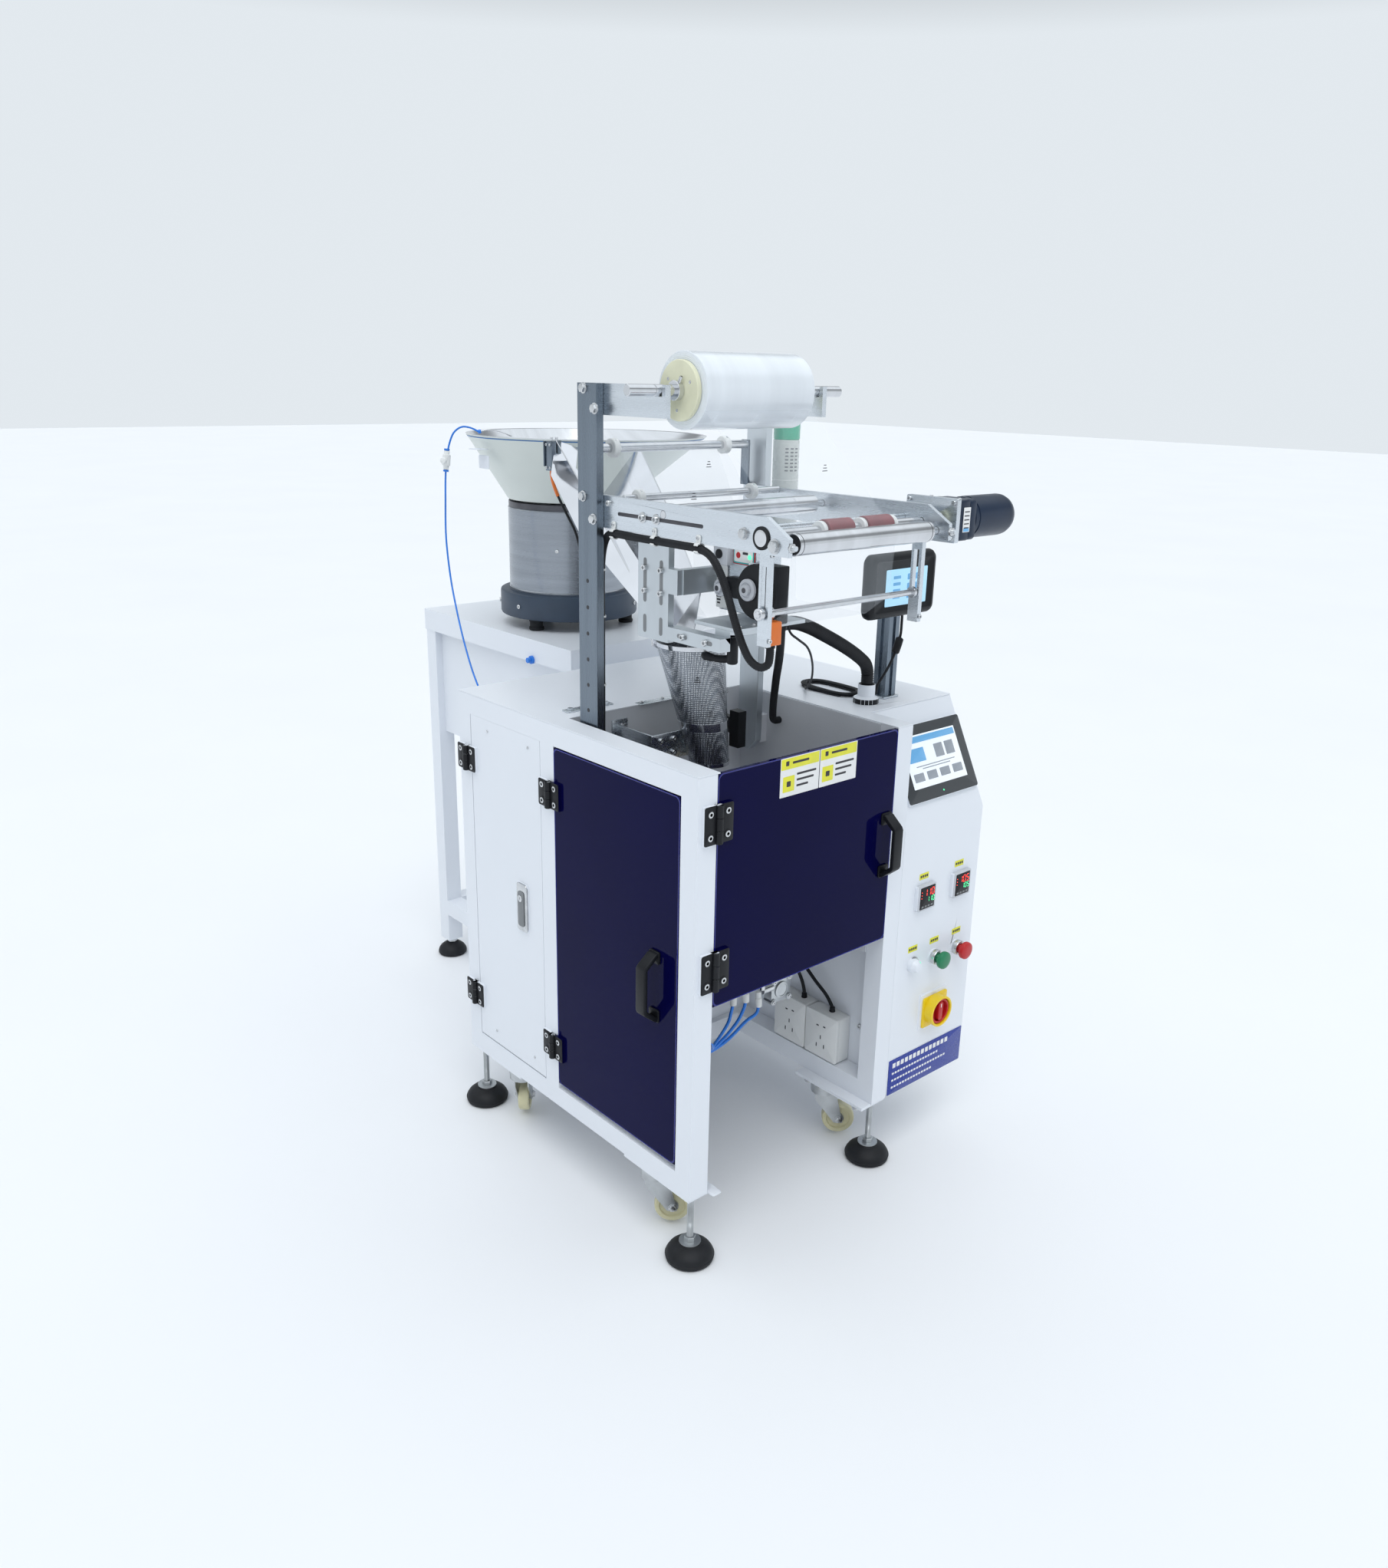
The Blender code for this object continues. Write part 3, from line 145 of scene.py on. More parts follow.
def plate(middle, across, up, wide, tall, thick, radius=0.002, soft=0.0005, steps=5):
    # a rounded rectangle given thickness: rows are the outline drawn in by the edge's roundness at both faces
    across, up = np.asarray(across, float), np.asarray(up, float)
    across /= np.linalg.norm(across)
    up /= np.linalg.norm(up)
    out = np.cross(across, up)
    soft = min(soft, thick / 2.01)
    rows = []
    for inset, high in ((soft, 0), (soft * 0.3, soft * 0.3), (0, soft), (0, thick - soft),
                        (soft * 0.3, thick - soft * 0.3),
                        (soft, thick)):
        flat = roundRect(wide / 2 - inset, tall / 2 - inset, max(radius - inset, 1e-4), steps)
        rows.append(np.asarray(middle, float) + flat[:, :1] * across + flat[:, 1:] * up + high * out)
    return surface(np.array(rows), startCap=True, endCap=True)


def block(x, y, z, soft=0.001, radius=None):
    # a box with softened edges, from its three ranges
    middle = ((x[0] + x[1]) / 2, (y[0] + y[1]) / 2, z[0])
    return plate(middle, xAxis, yAxis, x[1] - x[0], y[1] - y[0], z[1] - z[0], soft if radius is None else radius,
                 soft, 3)


def smoothPath(points, spacing):
    # Catmull-Rom curve through the points, then read off again at even steps
    p = np.asarray(points, float)
    p = np.vstack([2 * p[0] - p[1], p, 2 * p[-1] - p[-2]])
    t = np.linspace(0, 1, 24, endpoint=False)[:, None]
    a, b, c, d = p[:-3, None], p[1:-2, None], p[2:-1, None], p[3:, None]
    fine = 0.5 * (2 * b + (c - a) * t + (2 * a - 5 * b + 4 * c - d) * t**2 + (3 * b - a - 3 * c + d) * t**3)
    fine = np.vstack([fine.reshape(-1, 3), p[-2]])
    walked = np.concatenate([[0], np.cumsum(np.linalg.norm(np.diff(fine, axis=0), axis=1))])
    even = np.linspace(0, walked[-1], max(3, round(walked[-1] / spacing) + 1))
    return np.stack([np.interp(even, walked, fine[:, k]) for k in range(3)], -1), walked[-1]


def framesAlong(path):
    # tangent and two side directions at each point, turned as little as possible from one point to the next
    tangent = np.gradient(path, axis=0)
    tangent /= np.linalg.norm(tangent, axis=1)[:, None]
    side = [sideways(tangent[0])[0]]
    for t in tangent[1:]:
        s = side[-1] - t * (side[-1] @ t)
        side.append(s / np.linalg.norm(s))
    side = np.array(side)
    return tangent, side, np.cross(tangent, side)


def tube(path, radius, sides=12):
    # a circle carried along a path; radius is one number or one per point
    path = np.asarray(path, float)
    _, u, v = framesAlong(path)
    a = np.linspace(0, 2 * np.pi, sides, endpoint=False)
    radius = np.broadcast_to(np.asarray(radius, float), len(path))[:, None, None]
    grid = path[:, None] + radius * (np.cos(a)[:, None] * u[:, None] + np.sin(a)[:, None] * v[:, None])
    return surface(grid, startCap=True, endCap=True)


def strip(outline, x0, x1, columns=2):
    # a sheet as wide as x0..x1 whose edge runs along points (y, z)
    outline = np.asarray(outline, float)
    x = np.linspace(x0, x1, columns)
    grid = np.stack([np.repeat(x[None], len(outline), 0), np.repeat(outline[:, :1], columns, 1),
                     np.repeat(outline[:, 1:], columns, 1)], -1)
    return surface(grid, wrap=False)


def screwHead(at, axis, radius, height, hexagon=False):
    # a cap head with a six-sided socket, or a hexagon head with a domed top and a washer under it
    if hexagon:
        profile = [(radius * 1.25, 0), (radius * 1.25, height * 0.2), (radius, height * 0.2), (radius, height * 0.95),
                   (radius * 0.86, height)]
        return turned(profile, at, axis, 24, hexRows=(2, 3))
    profile = [(radius, 0), (radius, height * 0.85), (radius * 0.9, height), (radius * 0.56, height),
               (radius * 0.52, height * 0.45)]
    return turned(profile, at, axis, 24, hexRows=(3, 4))


# a piece: shapes with their materials, riding on one body

def addPiece(name, parts, body, sharp=35, replacing=()):
    if not isinstance(parts, list):
        parts = [parts]
    points, faces, finishes, start = [], [], [], 0
    for shape, finish in parts:
        p, f = shape if isinstance(shape, tuple) else joined(shape)
        points.append(p)
        for a in f:
            faces.append(a + start)
            finishes.append((len(a), finish))
        start += len(p)
    points = onMachine(np.concatenate(points))
    sizes = np.concatenate([np.full(len(a), a.shape[1]) for a in faces])
    loops = np.concatenate([a.ravel() for a in faces])
    mesh = bpy.data.meshes.new(name)
    mesh.vertices.add(len(points))
    mesh.vertices.foreach_set("co", points.astype(np.float32).ravel())
    mesh.loops.add(len(loops))
    mesh.loops.foreach_set("vertex_index", loops.astype(np.int32))
    mesh.polygons.add(len(sizes))
    mesh.polygons.foreach_set("loop_start", np.concatenate([[0], np.cumsum(sizes)[:-1]]).astype(np.int32))
    mesh.update(calc_edges=True)
    used = list(dict.fromkeys(f for _, f in finishes))
    for finish in used:
        mesh.materials.append(finish)
    index = np.concatenate([np.full(n, used.index(f)) for n, f in finishes])
    mesh.polygons.foreach_set("material_index", index.astype(np.int32))
    mesh.polygons.foreach_set("use_smooth", np.ones(len(sizes), bool))
    mesh.validate()
    mesh.set_sharp_from_angle(angle=math.radians(sharp))
    piece = bpy.data.objects.new(name, mesh)
    bpy.context.scene.collection.objects.link(piece)
    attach(piece, body)
    if replacing:
        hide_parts(*replacing)
    return piece


# finishes

def newFinish(name, colour, rough, metal=0.0, tone=0.05, toneScale=9.0, grain=400.0, bump=0.15, depth=0.0002,
              roughSpread=0.06, stretch=(1, 1, 1), **sockets):
    # Large soft clouds vary the colour, fine grain varies the height, a middle size varies the gloss.
    material = bpy.data.materials.new(name)
    material.use_nodes = True
    nodes, links = material.node_tree.nodes, material.node_tree.links
    shader = nodes["Principled BSDF"]
    shader.inputs["Metallic"].default_value = metal
    for socket, value in sockets.items():
        shader.inputs[socket].default_value = value
    coord = nodes.new("ShaderNodeTexCoord")
    mapping = nodes.new("ShaderNodeMapping")
    mapping.inputs["Scale"].default_value = stretch
    links.new(coord.outputs["Object"], mapping.inputs["Vector"])

    def noise(scale, detail):
        node = nodes.new("ShaderNodeTexNoise")
        node.inputs["Scale"].default_value = scale
        node.inputs["Detail"].default_value = detail
        links.new(mapping.outputs["Vector"], node.inputs["Vector"])
        return node.outputs["Fac"]

    ramp = nodes.new("ShaderNodeValToRGB")
    ramp.color_ramp.elements[0].position, ramp.color_ramp.elements[1].position = 0.3, 0.7
    ramp.color_ramp.elements[0].color = (*[c * (1 - tone) for c in colour], 1)
    ramp.color_ramp.elements[1].color = (*[min(1, c * (1 + tone)) for c in colour], 1)
    links.new(noise(toneScale, 4), ramp.inputs["Fac"])
    links.new(ramp.outputs["Color"], shader.inputs["Base Color"])
    spread = nodes.new("ShaderNodeMapRange")
    spread.inputs["To Min"].default_value = max(0.02, rough - roughSpread)
    spread.inputs["To Max"].default_value = min(1, rough + roughSpread)
    links.new(noise(toneScale * 5, 3), spread.inputs["Value"])
    links.new(spread.outputs["Result"], shader.inputs["Roughness"])
    if bump:
        height = nodes.new("ShaderNodeBump")
        height.inputs["Strength"].default_value = bump
        height.inputs["Distance"].default_value = depth
        links.new(noise(grain, 2), height.inputs["Height"])
        links.new(height.outputs["Normal"], shader.inputs["Normal"])
    return material


whitePowder = newFinish("whitePowder", (0.80, 0.83, 0.88), 0.32, tone=0.012, toneScale=3, grain=700, bump=0.10)
# a grey darker than the cabinet's white: painted shade of the recessed compartment liner
wellPaintedShade = newFinish("wellPaintedShade", (0.66, 0.68, 0.72), 0.35, tone=0.03, toneScale=3, grain=700, bump=0.10)
navyAcrylic = newFinish("navyAcrylic", (0.0022, 0.0022, 0.040), 0.05, tone=0.10, toneScale=4, bump=0.02, depth=0.0001,
                        roughSpread=0.02, **{"IOR": 1.49, "Specular IOR Level": 0.07})
acrylicEdge = newFinish("acrylicEdge", (0.006, 0.010, 0.20), 0.10, tone=0.15, toneScale=14, bump=0.05)
# a far darker colour than the other brushed steels: painted shade, wherever this finish goes (the left upright, the
# tablet post, the top rod's bracket, the rim sensor blocks)
brushedUpPaintedShade = newFinish("brushedUpPaintedShade", (0.19, 0.225, 0.265), 0.27, 1.0, tone=0.07, toneScale=5, grain=90, bump=0.04,
                      depth=0.0003, stretch=(12, 12, 0.5), roughSpread=0.08)
brushedAlong = newFinish("brushedAlong", (0.66, 0.70, 0.74), 0.27, 1.0, tone=0.05, toneScale=5, grain=90, bump=0.025,
                         depth=0.0003, stretch=(12, 0.5, 12), roughSpread=0.08)
satinPlate = newFinish("satinPlate", (0.58, 0.62, 0.65), 0.40, 1.0, tone=0.04, toneScale=6, grain=160, bump=0.02,
                       depth=0.0002, stretch=(4, 4, 1), roughSpread=0.03)
brushedRound = newFinish("brushedRound", (0.30, 0.325, 0.36), 0.26, 1.0, tone=0.08, toneScale=5, grain=60, bump=0.08,
                         depth=0.0003, stretch=(0.6, 0.6, 14), roughSpread=0.07)
groundSteel = newFinish("groundSteel", (0.66, 0.67, 0.69), 0.17, 1.0, tone=0.06, toneScale=6, grain=120, bump=0.06,
                        stretch=(9, 1, 1), roughSpread=0.05)
mirrorSteel = newFinish("mirrorSteel", (0.68, 0.69, 0.72), 0.13, 1.0, tone=0.08, toneScale=7, grain=26, bump=0.14,
                        depth=0.0015, roughSpread=0.06)
zincPlate = newFinish("zincPlate", (0.52, 0.54, 0.55), 0.34, 1.0, tone=0.14, toneScale=30, grain=260, bump=0.18)
boltSteel = newFinish("boltSteel", (0.62, 0.63, 0.64), 0.24, 1.0, tone=0.12, toneScale=60, grain=300, bump=0.10)
darkSteel = newFinish("darkSteel", (0.10, 0.10, 0.11), 0.38, 1.0, tone=0.15, toneScale=40, grain=300, bump=0.2)
blackPlastic = newFinish("blackPlastic", (0.0085, 0.0095, 0.012), 0.42, tone=0.2, toneScale=30, grain=900, bump=0.2,
                         **{"Specular IOR Level": 0.25})
blackRubber = newFinish("blackRubber", (0.0095, 0.0105, 0.013), 0.55, tone=0.3, toneScale=35, grain=500, bump=0.3,
                        **{"Specular IOR Level": 0.30})
paleGrey = newFinish("paleGrey", (0.56, 0.58, 0.62), 0.38, tone=0.05, toneScale=25, grain=800, bump=0.1)
greyPlastic = newFinish("greyPlastic", (0.20, 0.21, 0.22), 0.40, tone=0.08, toneScale=25, grain=800, bump=0.2)
whitePlastic = newFinish("whitePlastic", (0.82, 0.83, 0.82), 0.32, tone=0.03, toneScale=20, grain=500, bump=0.06)
creamPlastic = newFinish("creamPlastic", (0.66, 0.62, 0.40), 0.36, tone=0.10, toneScale=28, grain=300, bump=0.12)
hubCream = newFinish("hubCream", (0.80, 0.79, 0.58), 0.38, tone=0.06, toneScale=26, grain=300, bump=0.12)
redSleeve = newFinish("redSleeve", (0.22, 0.022, 0.03), 0.42, tone=0.2, toneScale=30, grain=500, bump=0.15)
navyPaint = newFinish("navyPaint", (0.008, 0.020, 0.047), 0.32, tone=0.15, toneScale=20, grain=350, bump=0.10,
                      **{"Specular IOR Level": 0.35})
slatePaint = newFinish("slatePaint", (0.032, 0.052, 0.085), 0.42, tone=0.14, toneScale=12, grain=260, bump=0.2)
bowlCream = newFinish("bowlCream", (0.70, 0.74, 0.70), 0.42, tone=0.05, toneScale=5, grain=330, bump=0.45,
                      depth=0.0004)
orangePlastic = newFinish("orangePlastic", (0.75, 0.17, 0.02), 0.35, tone=0.06, toneScale=30, grain=500, bump=0.1)
towerPlastic = newFinish("towerPlastic", (0.70, 0.73, 0.70), 0.28, tone=0.03, toneScale=20, grain=500, bump=0.05)
bronze = newFinish("bronze", (0.42, 0.36, 0.26), 0.34, 1.0, tone=0.12, toneScale=25, grain=200, bump=0.2)
yellowPlate = newFinish("yellowPlate", (0.85, 0.60, 0.01), 0.34, tone=0.04, toneScale=25, grain=600, bump=0.08)
labelYellow = newFinish("labelYellow", (0.80, 0.78, 0.04), 0.40, tone=0.05, toneScale=60, grain=900, bump=0.05)
labelWhite = newFinish("labelWhite", (0.86, 0.86, 0.85), 0.38, tone=0.02, toneScale=60, grain=900, bump=0.05)
inkGrey = newFinish("inkGrey", (0.03, 0.03, 0.035), 0.5, tone=0.1, toneScale=90, grain=900, bump=0.05)
namePlateBlue = newFinish("namePlateBlue", (0.012, 0.035, 0.30), 0.28, tone=0.05, toneScale=15, grain=800, bump=0.06)
buttonGreen = newFinish("buttonGreen", (0.012, 0.20, 0.085), 0.30, tone=0.06, toneScale=40, grain=600, bump=0.08)
buttonRed = newFinish("buttonRed", (0.50, 0.012, 0.015), 0.30, tone=0.06, toneScale=40, grain=600, bump=0.08)
tubeBlue = newFinish("tubeBlue", (0.02, 0.20, 0.72), 0.25, tone=0.08, toneScale=40, grain=500, bump=0.05)
screenGlass = newFinish("screenGlass", (0.72, 0.76, 0.80), 0.12, tone=0.02, toneScale=12, bump=0.0,
                        **{"Emission Color": (0.85, 0.9, 0.95, 1), "Emission Strength": 0.35})
screenBlue = newFinish("screenBlue", (0.10, 0.30, 0.55), 0.15, tone=0.05, toneScale=20, bump=0.0,
                       **{"Emission Color": (0.2, 0.5, 0.8, 1), "Emission Strength": 0.3})
screenGrey = newFinish("screenGrey", (0.35, 0.38, 0.42), 0.15, tone=0.05, toneScale=20, bump=0.0)
litRed = newFinish("litRed", (0.9, 0.03, 0.02), 0.3, tone=0.02, bump=0.0,
                   **{"Emission Color": (1, 0.05, 0.03, 1), "Emission Strength": 1.4})
litGreen = newFinish("litGreen", (0.05, 0.8, 0.3), 0.3, tone=0.02, bump=0.0,
                     **{"Emission Color": (0.1, 1, 0.4, 1), "Emission Strength": 1.2})
lensGreen = newFinish("lensGreen", (0.01, 0.42, 0.24), 0.12, tone=0.05, toneScale=30, bump=0.0,
                      **{"Coat Weight": 0.6})
lampGlow = newFinish("lampGlow", (0.03, 0.42, 0.26), 0.2, tone=0.02, bump=0.0,
                     **{"Emission Color": (0.06, 1.0, 0.50, 1), "Emission Strength": 0.9})
clearFilm = newFinish("clearFilm", (0.86, 0.91, 0.97), 0.13, tone=0.05, toneScale=8, grain=14, bump=0.30, depth=0.004,
                      roughSpread=0.06, **{"Alpha": 0.13, "IOR": 1.5})
sleeveFilm = newFinish("sleeveFilm", (0.88, 0.92, 0.97), 0.12, tone=0.05, toneScale=8, grain=40, bump=0.45,
                       depth=0.003, roughSpread=0.06, **{"Alpha": 0.03, "IOR": 1.5})
filmRollSide = newFinish("filmRollSide", (0.80, 0.84, 0.88), 0.22, tone=0.05, toneScale=10, grain=26, bump=0.12,
                         depth=0.0006, stretch=(3.0, 0.25, 0.25), **{"Coat Weight": 0.5, "Subsurface Weight": 0.25,
                                                                    "Subsurface Radius": (0.02, 0.02, 0.02)})
coreBrown = newFinish("coreBrown", (0.24, 0.17, 0.10), 0.7, tone=0.12, toneScale=30, grain=250, bump=0.3)
print("finishes ready:", len(bpy.data.materials))


# camera and light

def makeCamera():
    view = {"place": (-1.59787, -1.98111, 1.48699), "right": (0.752440, -0.658382, 0.019159),
            "down": (-0.191895, -0.246949, -0.949838), "ahead": (0.630088, 0.711020, -0.312155), "lens": 28.757}
    lens = bpy.data.cameras.new("stillCamera")
    lens.sensor_width, lens.lens = 36, view["lens"]
    lens.clip_start, lens.clip_end = 0.05, 60
    camera = bpy.data.objects.new("stillCamera", lens)
    right, up, back = np.array(view["right"]), -np.array(view["down"]), -np.array(view["ahead"])
    turn = np.eye(4)
    turn[:3, 0], turn[:3, 1], turn[:3, 2], turn[:3, 3] = right, up, back, view["place"]
    camera.matrix_world = Matrix(turn.tolist())
    bpy.context.scene.collection.objects.link(camera)
    bpy.context.scene.camera = camera


def makeStudio():
    studio = {"sky": (0.89, 0.95, 1.0), "floor": (0.86, 0.87, 0.89),
              "bands": ((0.22, 0.86), (0.30, 0.36), (0.50, 0.40), (0.62, 1.20))}
    overhead = {"away": (-0.30, -0.35, 1.0), "power": 0.75, "spread": 35, "distance": 4}
    bpy.context.scene.view_settings.view_transform = "Standard"
    world = bpy.data.worlds.new("studio")
    world.use_nodes = True
    nodes, links = world.node_tree.nodes, world.node_tree.links
    # the brightness changes with height only: pale low down, a dimmer band, and a bright ceiling
    ramp = nodes.new("ShaderNodeValToRGB")
    for k, (height, level) in enumerate(studio["bands"]):
        stop = ramp.color_ramp.elements[k] if k < 2 else ramp.color_ramp.elements.new(height)
        stop.position, stop.color = height, (*[c * level for c in studio["sky"]], 1)
    coord, split = nodes.new("ShaderNodeTexCoord"), nodes.new("ShaderNodeSeparateXYZ")
    links.new(coord.outputs["Generated"], split.inputs["Vector"])
    links.new(split.outputs["Z"], ramp.inputs["Fac"])
    links.new(ramp.outputs["Color"], nodes["Background"].inputs["Color"])
    nodes["Background"].inputs["Strength"].default_value = 1.0
    bpy.context.scene.world = world
    light = bpy.data.lights.new("overhead", "SUN")
    light.energy, light.angle = overhead["power"], math.radians(overhead["spread"])
    lamp = bpy.data.objects.new("overhead", light)
    turn = np.eye(4)
    turn[:3, 0], turn[:3, 1], turn[:3, 2] = sideways(overhead["away"])
    turn[:3, 3] = turn[:3, 2] * overhead["distance"]
    lamp.matrix_world = Matrix(turn.tolist())
    bpy.context.scene.collection.objects.link(lamp)
    halfWidth = 30
    corners = [(x * halfWidth, y * halfWidth, 0) for x, y in ((-1, -1), (1, -1), (1, 1), (-1, 1))]
    mesh = bpy.data.meshes.new("floor")
    mesh.from_pydata(corners, [], [(0, 1, 2, 3)])
    mesh.materials.append(newFinish("paleFloor", studio["floor"], 0.6, tone=0.01, toneScale=1, bump=0))
    floor = bpy.data.objects.new("floor", mesh)
    bpy.context.scene.collection.objects.link(floor)


makeCamera()
makeStudio()


# cords, first of all the pieces

cords = {
    "coder_hose": {"diameter": 0.024, "stiffness": "stiff", "pitch": 0.0042, "route": [
        (0.238, 0.092, 1.0936), (0.262, 0.0922, 1.0936), (0.294, 0.093, 1.091), (0.332, 0.096, 1.0785),
        (0.375, 0.101, 1.0595), (0.429, 0.111, 1.035), (0.480, 0.1255, 1.011), (0.520, 0.140, 0.991),
        (0.545, 0.150, 0.976), (0.5565, 0.1545, 0.960), (0.558, 0.155, 0.948), (0.558, 0.155, 0.9372)]},
    "sensor_conduit": {"diameter": 0.013, "stiffness": "medium", "pitch": 0.0030, "route": [
        (0.081, 0.3995, 0.800), (0.081, 0.382, 0.801), (0.081, 0.362, 0.812), (0.0805, 0.351, 0.838),
        (0.080, 0.349, 0.900), (0.080, 0.349, 1.000), (0.080, 0.349, 1.100), (0.0795, 0.348, 1.165),
        (0.078, 0.341, 1.202), (0.0725, 0.322, 1.2255), (0.067, 0.294, 1.2325), (0.065, 0.250, 1.2328),
        (0.065, 0.189, 1.2328), (0.065, 0.135, 1.2328), (0.0655, 0.084, 1.2318), (0.067, 0.058, 1.2230),
        (0.068, 0.038, 1.2010), (0.0685, 0.020, 1.1690), (0.068, 0.002, 1.1320), (0.069, -0.014, 1.1010),
        (0.073, -0.027, 1.0790), (0.081, -0.040, 1.0685), (0.090, -0.0485, 1.0725), (0.0925, -0.0500, 1.0860),
        (0.0925, -0.0500, 1.1036)]},
    "drop_conduit": {"diameter": 0.014, "stiffness": "medium", "pitch": 0.0031, "route": [
        (0.2165, 0.050, 1.1056), (0.2165, 0.050, 1.090), (0.2195, 0.0535, 1.072), (0.232, 0.067, 1.049),
        (0.262, 0.099, 1.020), (0.300, 0.140, 0.9860), (0.345, 0.187, 0.9480), (0.390, 0.234, 0.9080),
        (0.424, 0.268, 0.8740), (0.444, 0.286, 0.8580), (0.455, 0.2915, 0.8520), (0.4665, 0.2925, 0.8510)]},
    "tablet_cable": {"diameter": 0.005, "stiffness": "limp", "pitch": 0, "route": [
        (0.612, 0.126, 1.0645), (0.612, 0.126, 1.048), (0.609, 0.124, 1.031), (0.600, 0.121, 1.012),
        (0.590, 0.122, 0.990), (0.582, 0.127, 0.968), (0.578, 0.137, 0.947), (0.577, 0.145, 0.932),
        (0.577, 0.1475, 0.9148)]},
    "coder_lead": {"diameter": 0.004, "stiffness": "limp", "pitch": 0, "route": [
        (0.243, 0.060, 1.1036), (0.243, 0.060, 1.094), (0.249, 0.0585, 1.083), (0.268, 0.060, 1.071),
        (0.306, 0.078, 1.053), (0.352, 0.112, 1.030), (0.398, 0.150, 1.005), (0.442, 0.188, 0.978),
        (0.480, 0.224, 0.947), (0.502, 0.251, 0.924), (0.516, 0.272, 0.9100), (0.528, 0.284, 0.9065),
        (0.5385, 0.2890, 0.9060)]},
    "air_tube": {"diameter": 0.004, "stiffness": "medium", "pitch": 0, "route": [
        (0.263, 1.020, 1.359), (0.254, 1.024, 1.364), (0.245, 1.029, 1.3675), (0.235, 1.036, 1.3685),
        (0.225, 1.043, 1.363), (0.216, 1.048, 1.351), (0.207, 1.050, 1.327), (0.201, 1.050, 1.299),
        (0.197, 1.050, 1.268), (0.1945, 1.050, 1.223), (0.189, 1.045, 1.141), (0.183, 1.024, 1.062),
        (0.171, 0.985, 1.000), (0.158, 0.935, 0.932), (0.148, 0.880, 0.866), (0.148, 0.825, 0.805),
        (0.165, 0.780, 0.757), (0.188, 0.752, 0.730), (0.200, 0.735, 0.7205), (0.200, 0.7165, 0.720)]},
}
leadCoil = {"middle": (0.575, 0.262), "halfLength": 0.0670, "halfWidth": 0.0310, "step": 0.0043, "turns": 2.0,
            "deck": 0.9025}


def coilRoute():
    # an oblong spiral, inwards on the deck and back outwards one wire higher, then off to the gland
    turns = leadCoil["turns"]
    t = np.arange(0, 2 * turns + 0.72, 1 / 26)
    inset = leadCoil["step"] * np.where(t < turns, t, np.maximum(2 * turns - t, -0.15))
    a = np.pi + 0.55 - 2 * np.pi * t  # starts on the left side and goes round by the back
    straight = leadCoil["halfLength"] - leadCoil["halfWidth"]
    c, s = np.cos(a), np.sin(a)
    x = leadCoil["middle"][0] + (leadCoil["halfWidth"] - inset) * c
    y = leadCoil["middle"][1] + (leadCoil["halfWidth"] - inset) * s + straight * np.tanh(2.4 * s)
    rise = 1 / (1 + np.exp(-(t - turns) * 14))
    z = leadCoil["deck"] + 0.0043 * rise
    return np.stack([x, y, z], -1)


def makeCords():
    for name, facts in cords.items():
        route = facts["route"]
        if name == "coder_lead":
            coil = coilRoute()
            away = np.array([coil[-1] + (-0.004, -0.012, -0.0015), (0.588, 0.190, 0.9030), (0.5795, 0.1815, 0.9030)])
            route = np.vstack([route, coil, away])
        line, length = smoothPath(route, min(facts["diameter"] * 0.5, facts["pitch"] / 3 or 1))
        # a corrugated hose swells and narrows once in each pitch
        walked = np.linspace(0, length, len(line))
        radius = facts["diameter"] / 2
        if facts["pitch"]:
            wave = np.cos(2 * np.pi * walked / facts["pitch"])
            radius = radius * (0.955 + 0.045 * np.sign(wave) * np.abs(wave) ** 0.5)
        finish = tubeBlue if name == "air_tube" else blackRubber
        solids = [name, "lead_coil"] if name == "coder_lead" else [name]
        piece = addPiece("cord_" + name, (tube(line, radius, 14 if facts["pitch"] else 10), finish), "machine",
                         sharp=80, replacing=solids)
        print("cord", name, round(length, 3), "m")
    print("cords done")


makeCords()


# the CAD pieces that stay: a softened edge and a finish for each; the compartment liner's and the left upright's
# finishes hold painted shade

def softeningGroup():
    # welds the loose triangles, then shades smooth except across edges sharper than 30 degrees
    group = bpy.data.node_groups.new("softenEdges", "GeometryNodeTree")
    group.interface.new_socket("Geometry", in_out="INPUT", socket_type="NodeSocketGeometry")
    group.interface.new_socket("Geometry", in_out="OUTPUT", socket_type="NodeSocketGeometry")
    nodes, links = group.nodes, group.links
    start, end = nodes.new("NodeGroupInput"), nodes.new("NodeGroupOutput")
    weld = nodes.new("GeometryNodeMergeByDistance")
    weld.inputs["Distance"].default_value = 0.00002
    smooth = nodes.new("GeometryNodeSetShadeSmooth")
    smooth.inputs["Shade Smooth"].default_value = True
    sharp = nodes.new("GeometryNodeSetShadeSmooth")
    sharp.domain = "EDGE"
    sharp.inputs["Shade Smooth"].default_value = False
    angle = nodes.new("GeometryNodeInputMeshEdgeAngle")
    test = nodes.new("FunctionNodeCompare")
    test.data_type, test.operation = "FLOAT", "GREATER_THAN"
    test.inputs[1].default_value = math.radians(30)
    links.new(angle.outputs["Unsigned Angle"], test.inputs[0])
    links.new(test.outputs[0], sharp.inputs["Selection"])
    links.new(start.outputs[0], weld.inputs["Geometry"])
    links.new(weld.outputs["Geometry"], smooth.inputs["Geometry"])
    links.new(smooth.outputs["Geometry"], sharp.inputs["Geometry"])
    links.new(sharp.outputs["Geometry"], end.inputs[0])
    return group


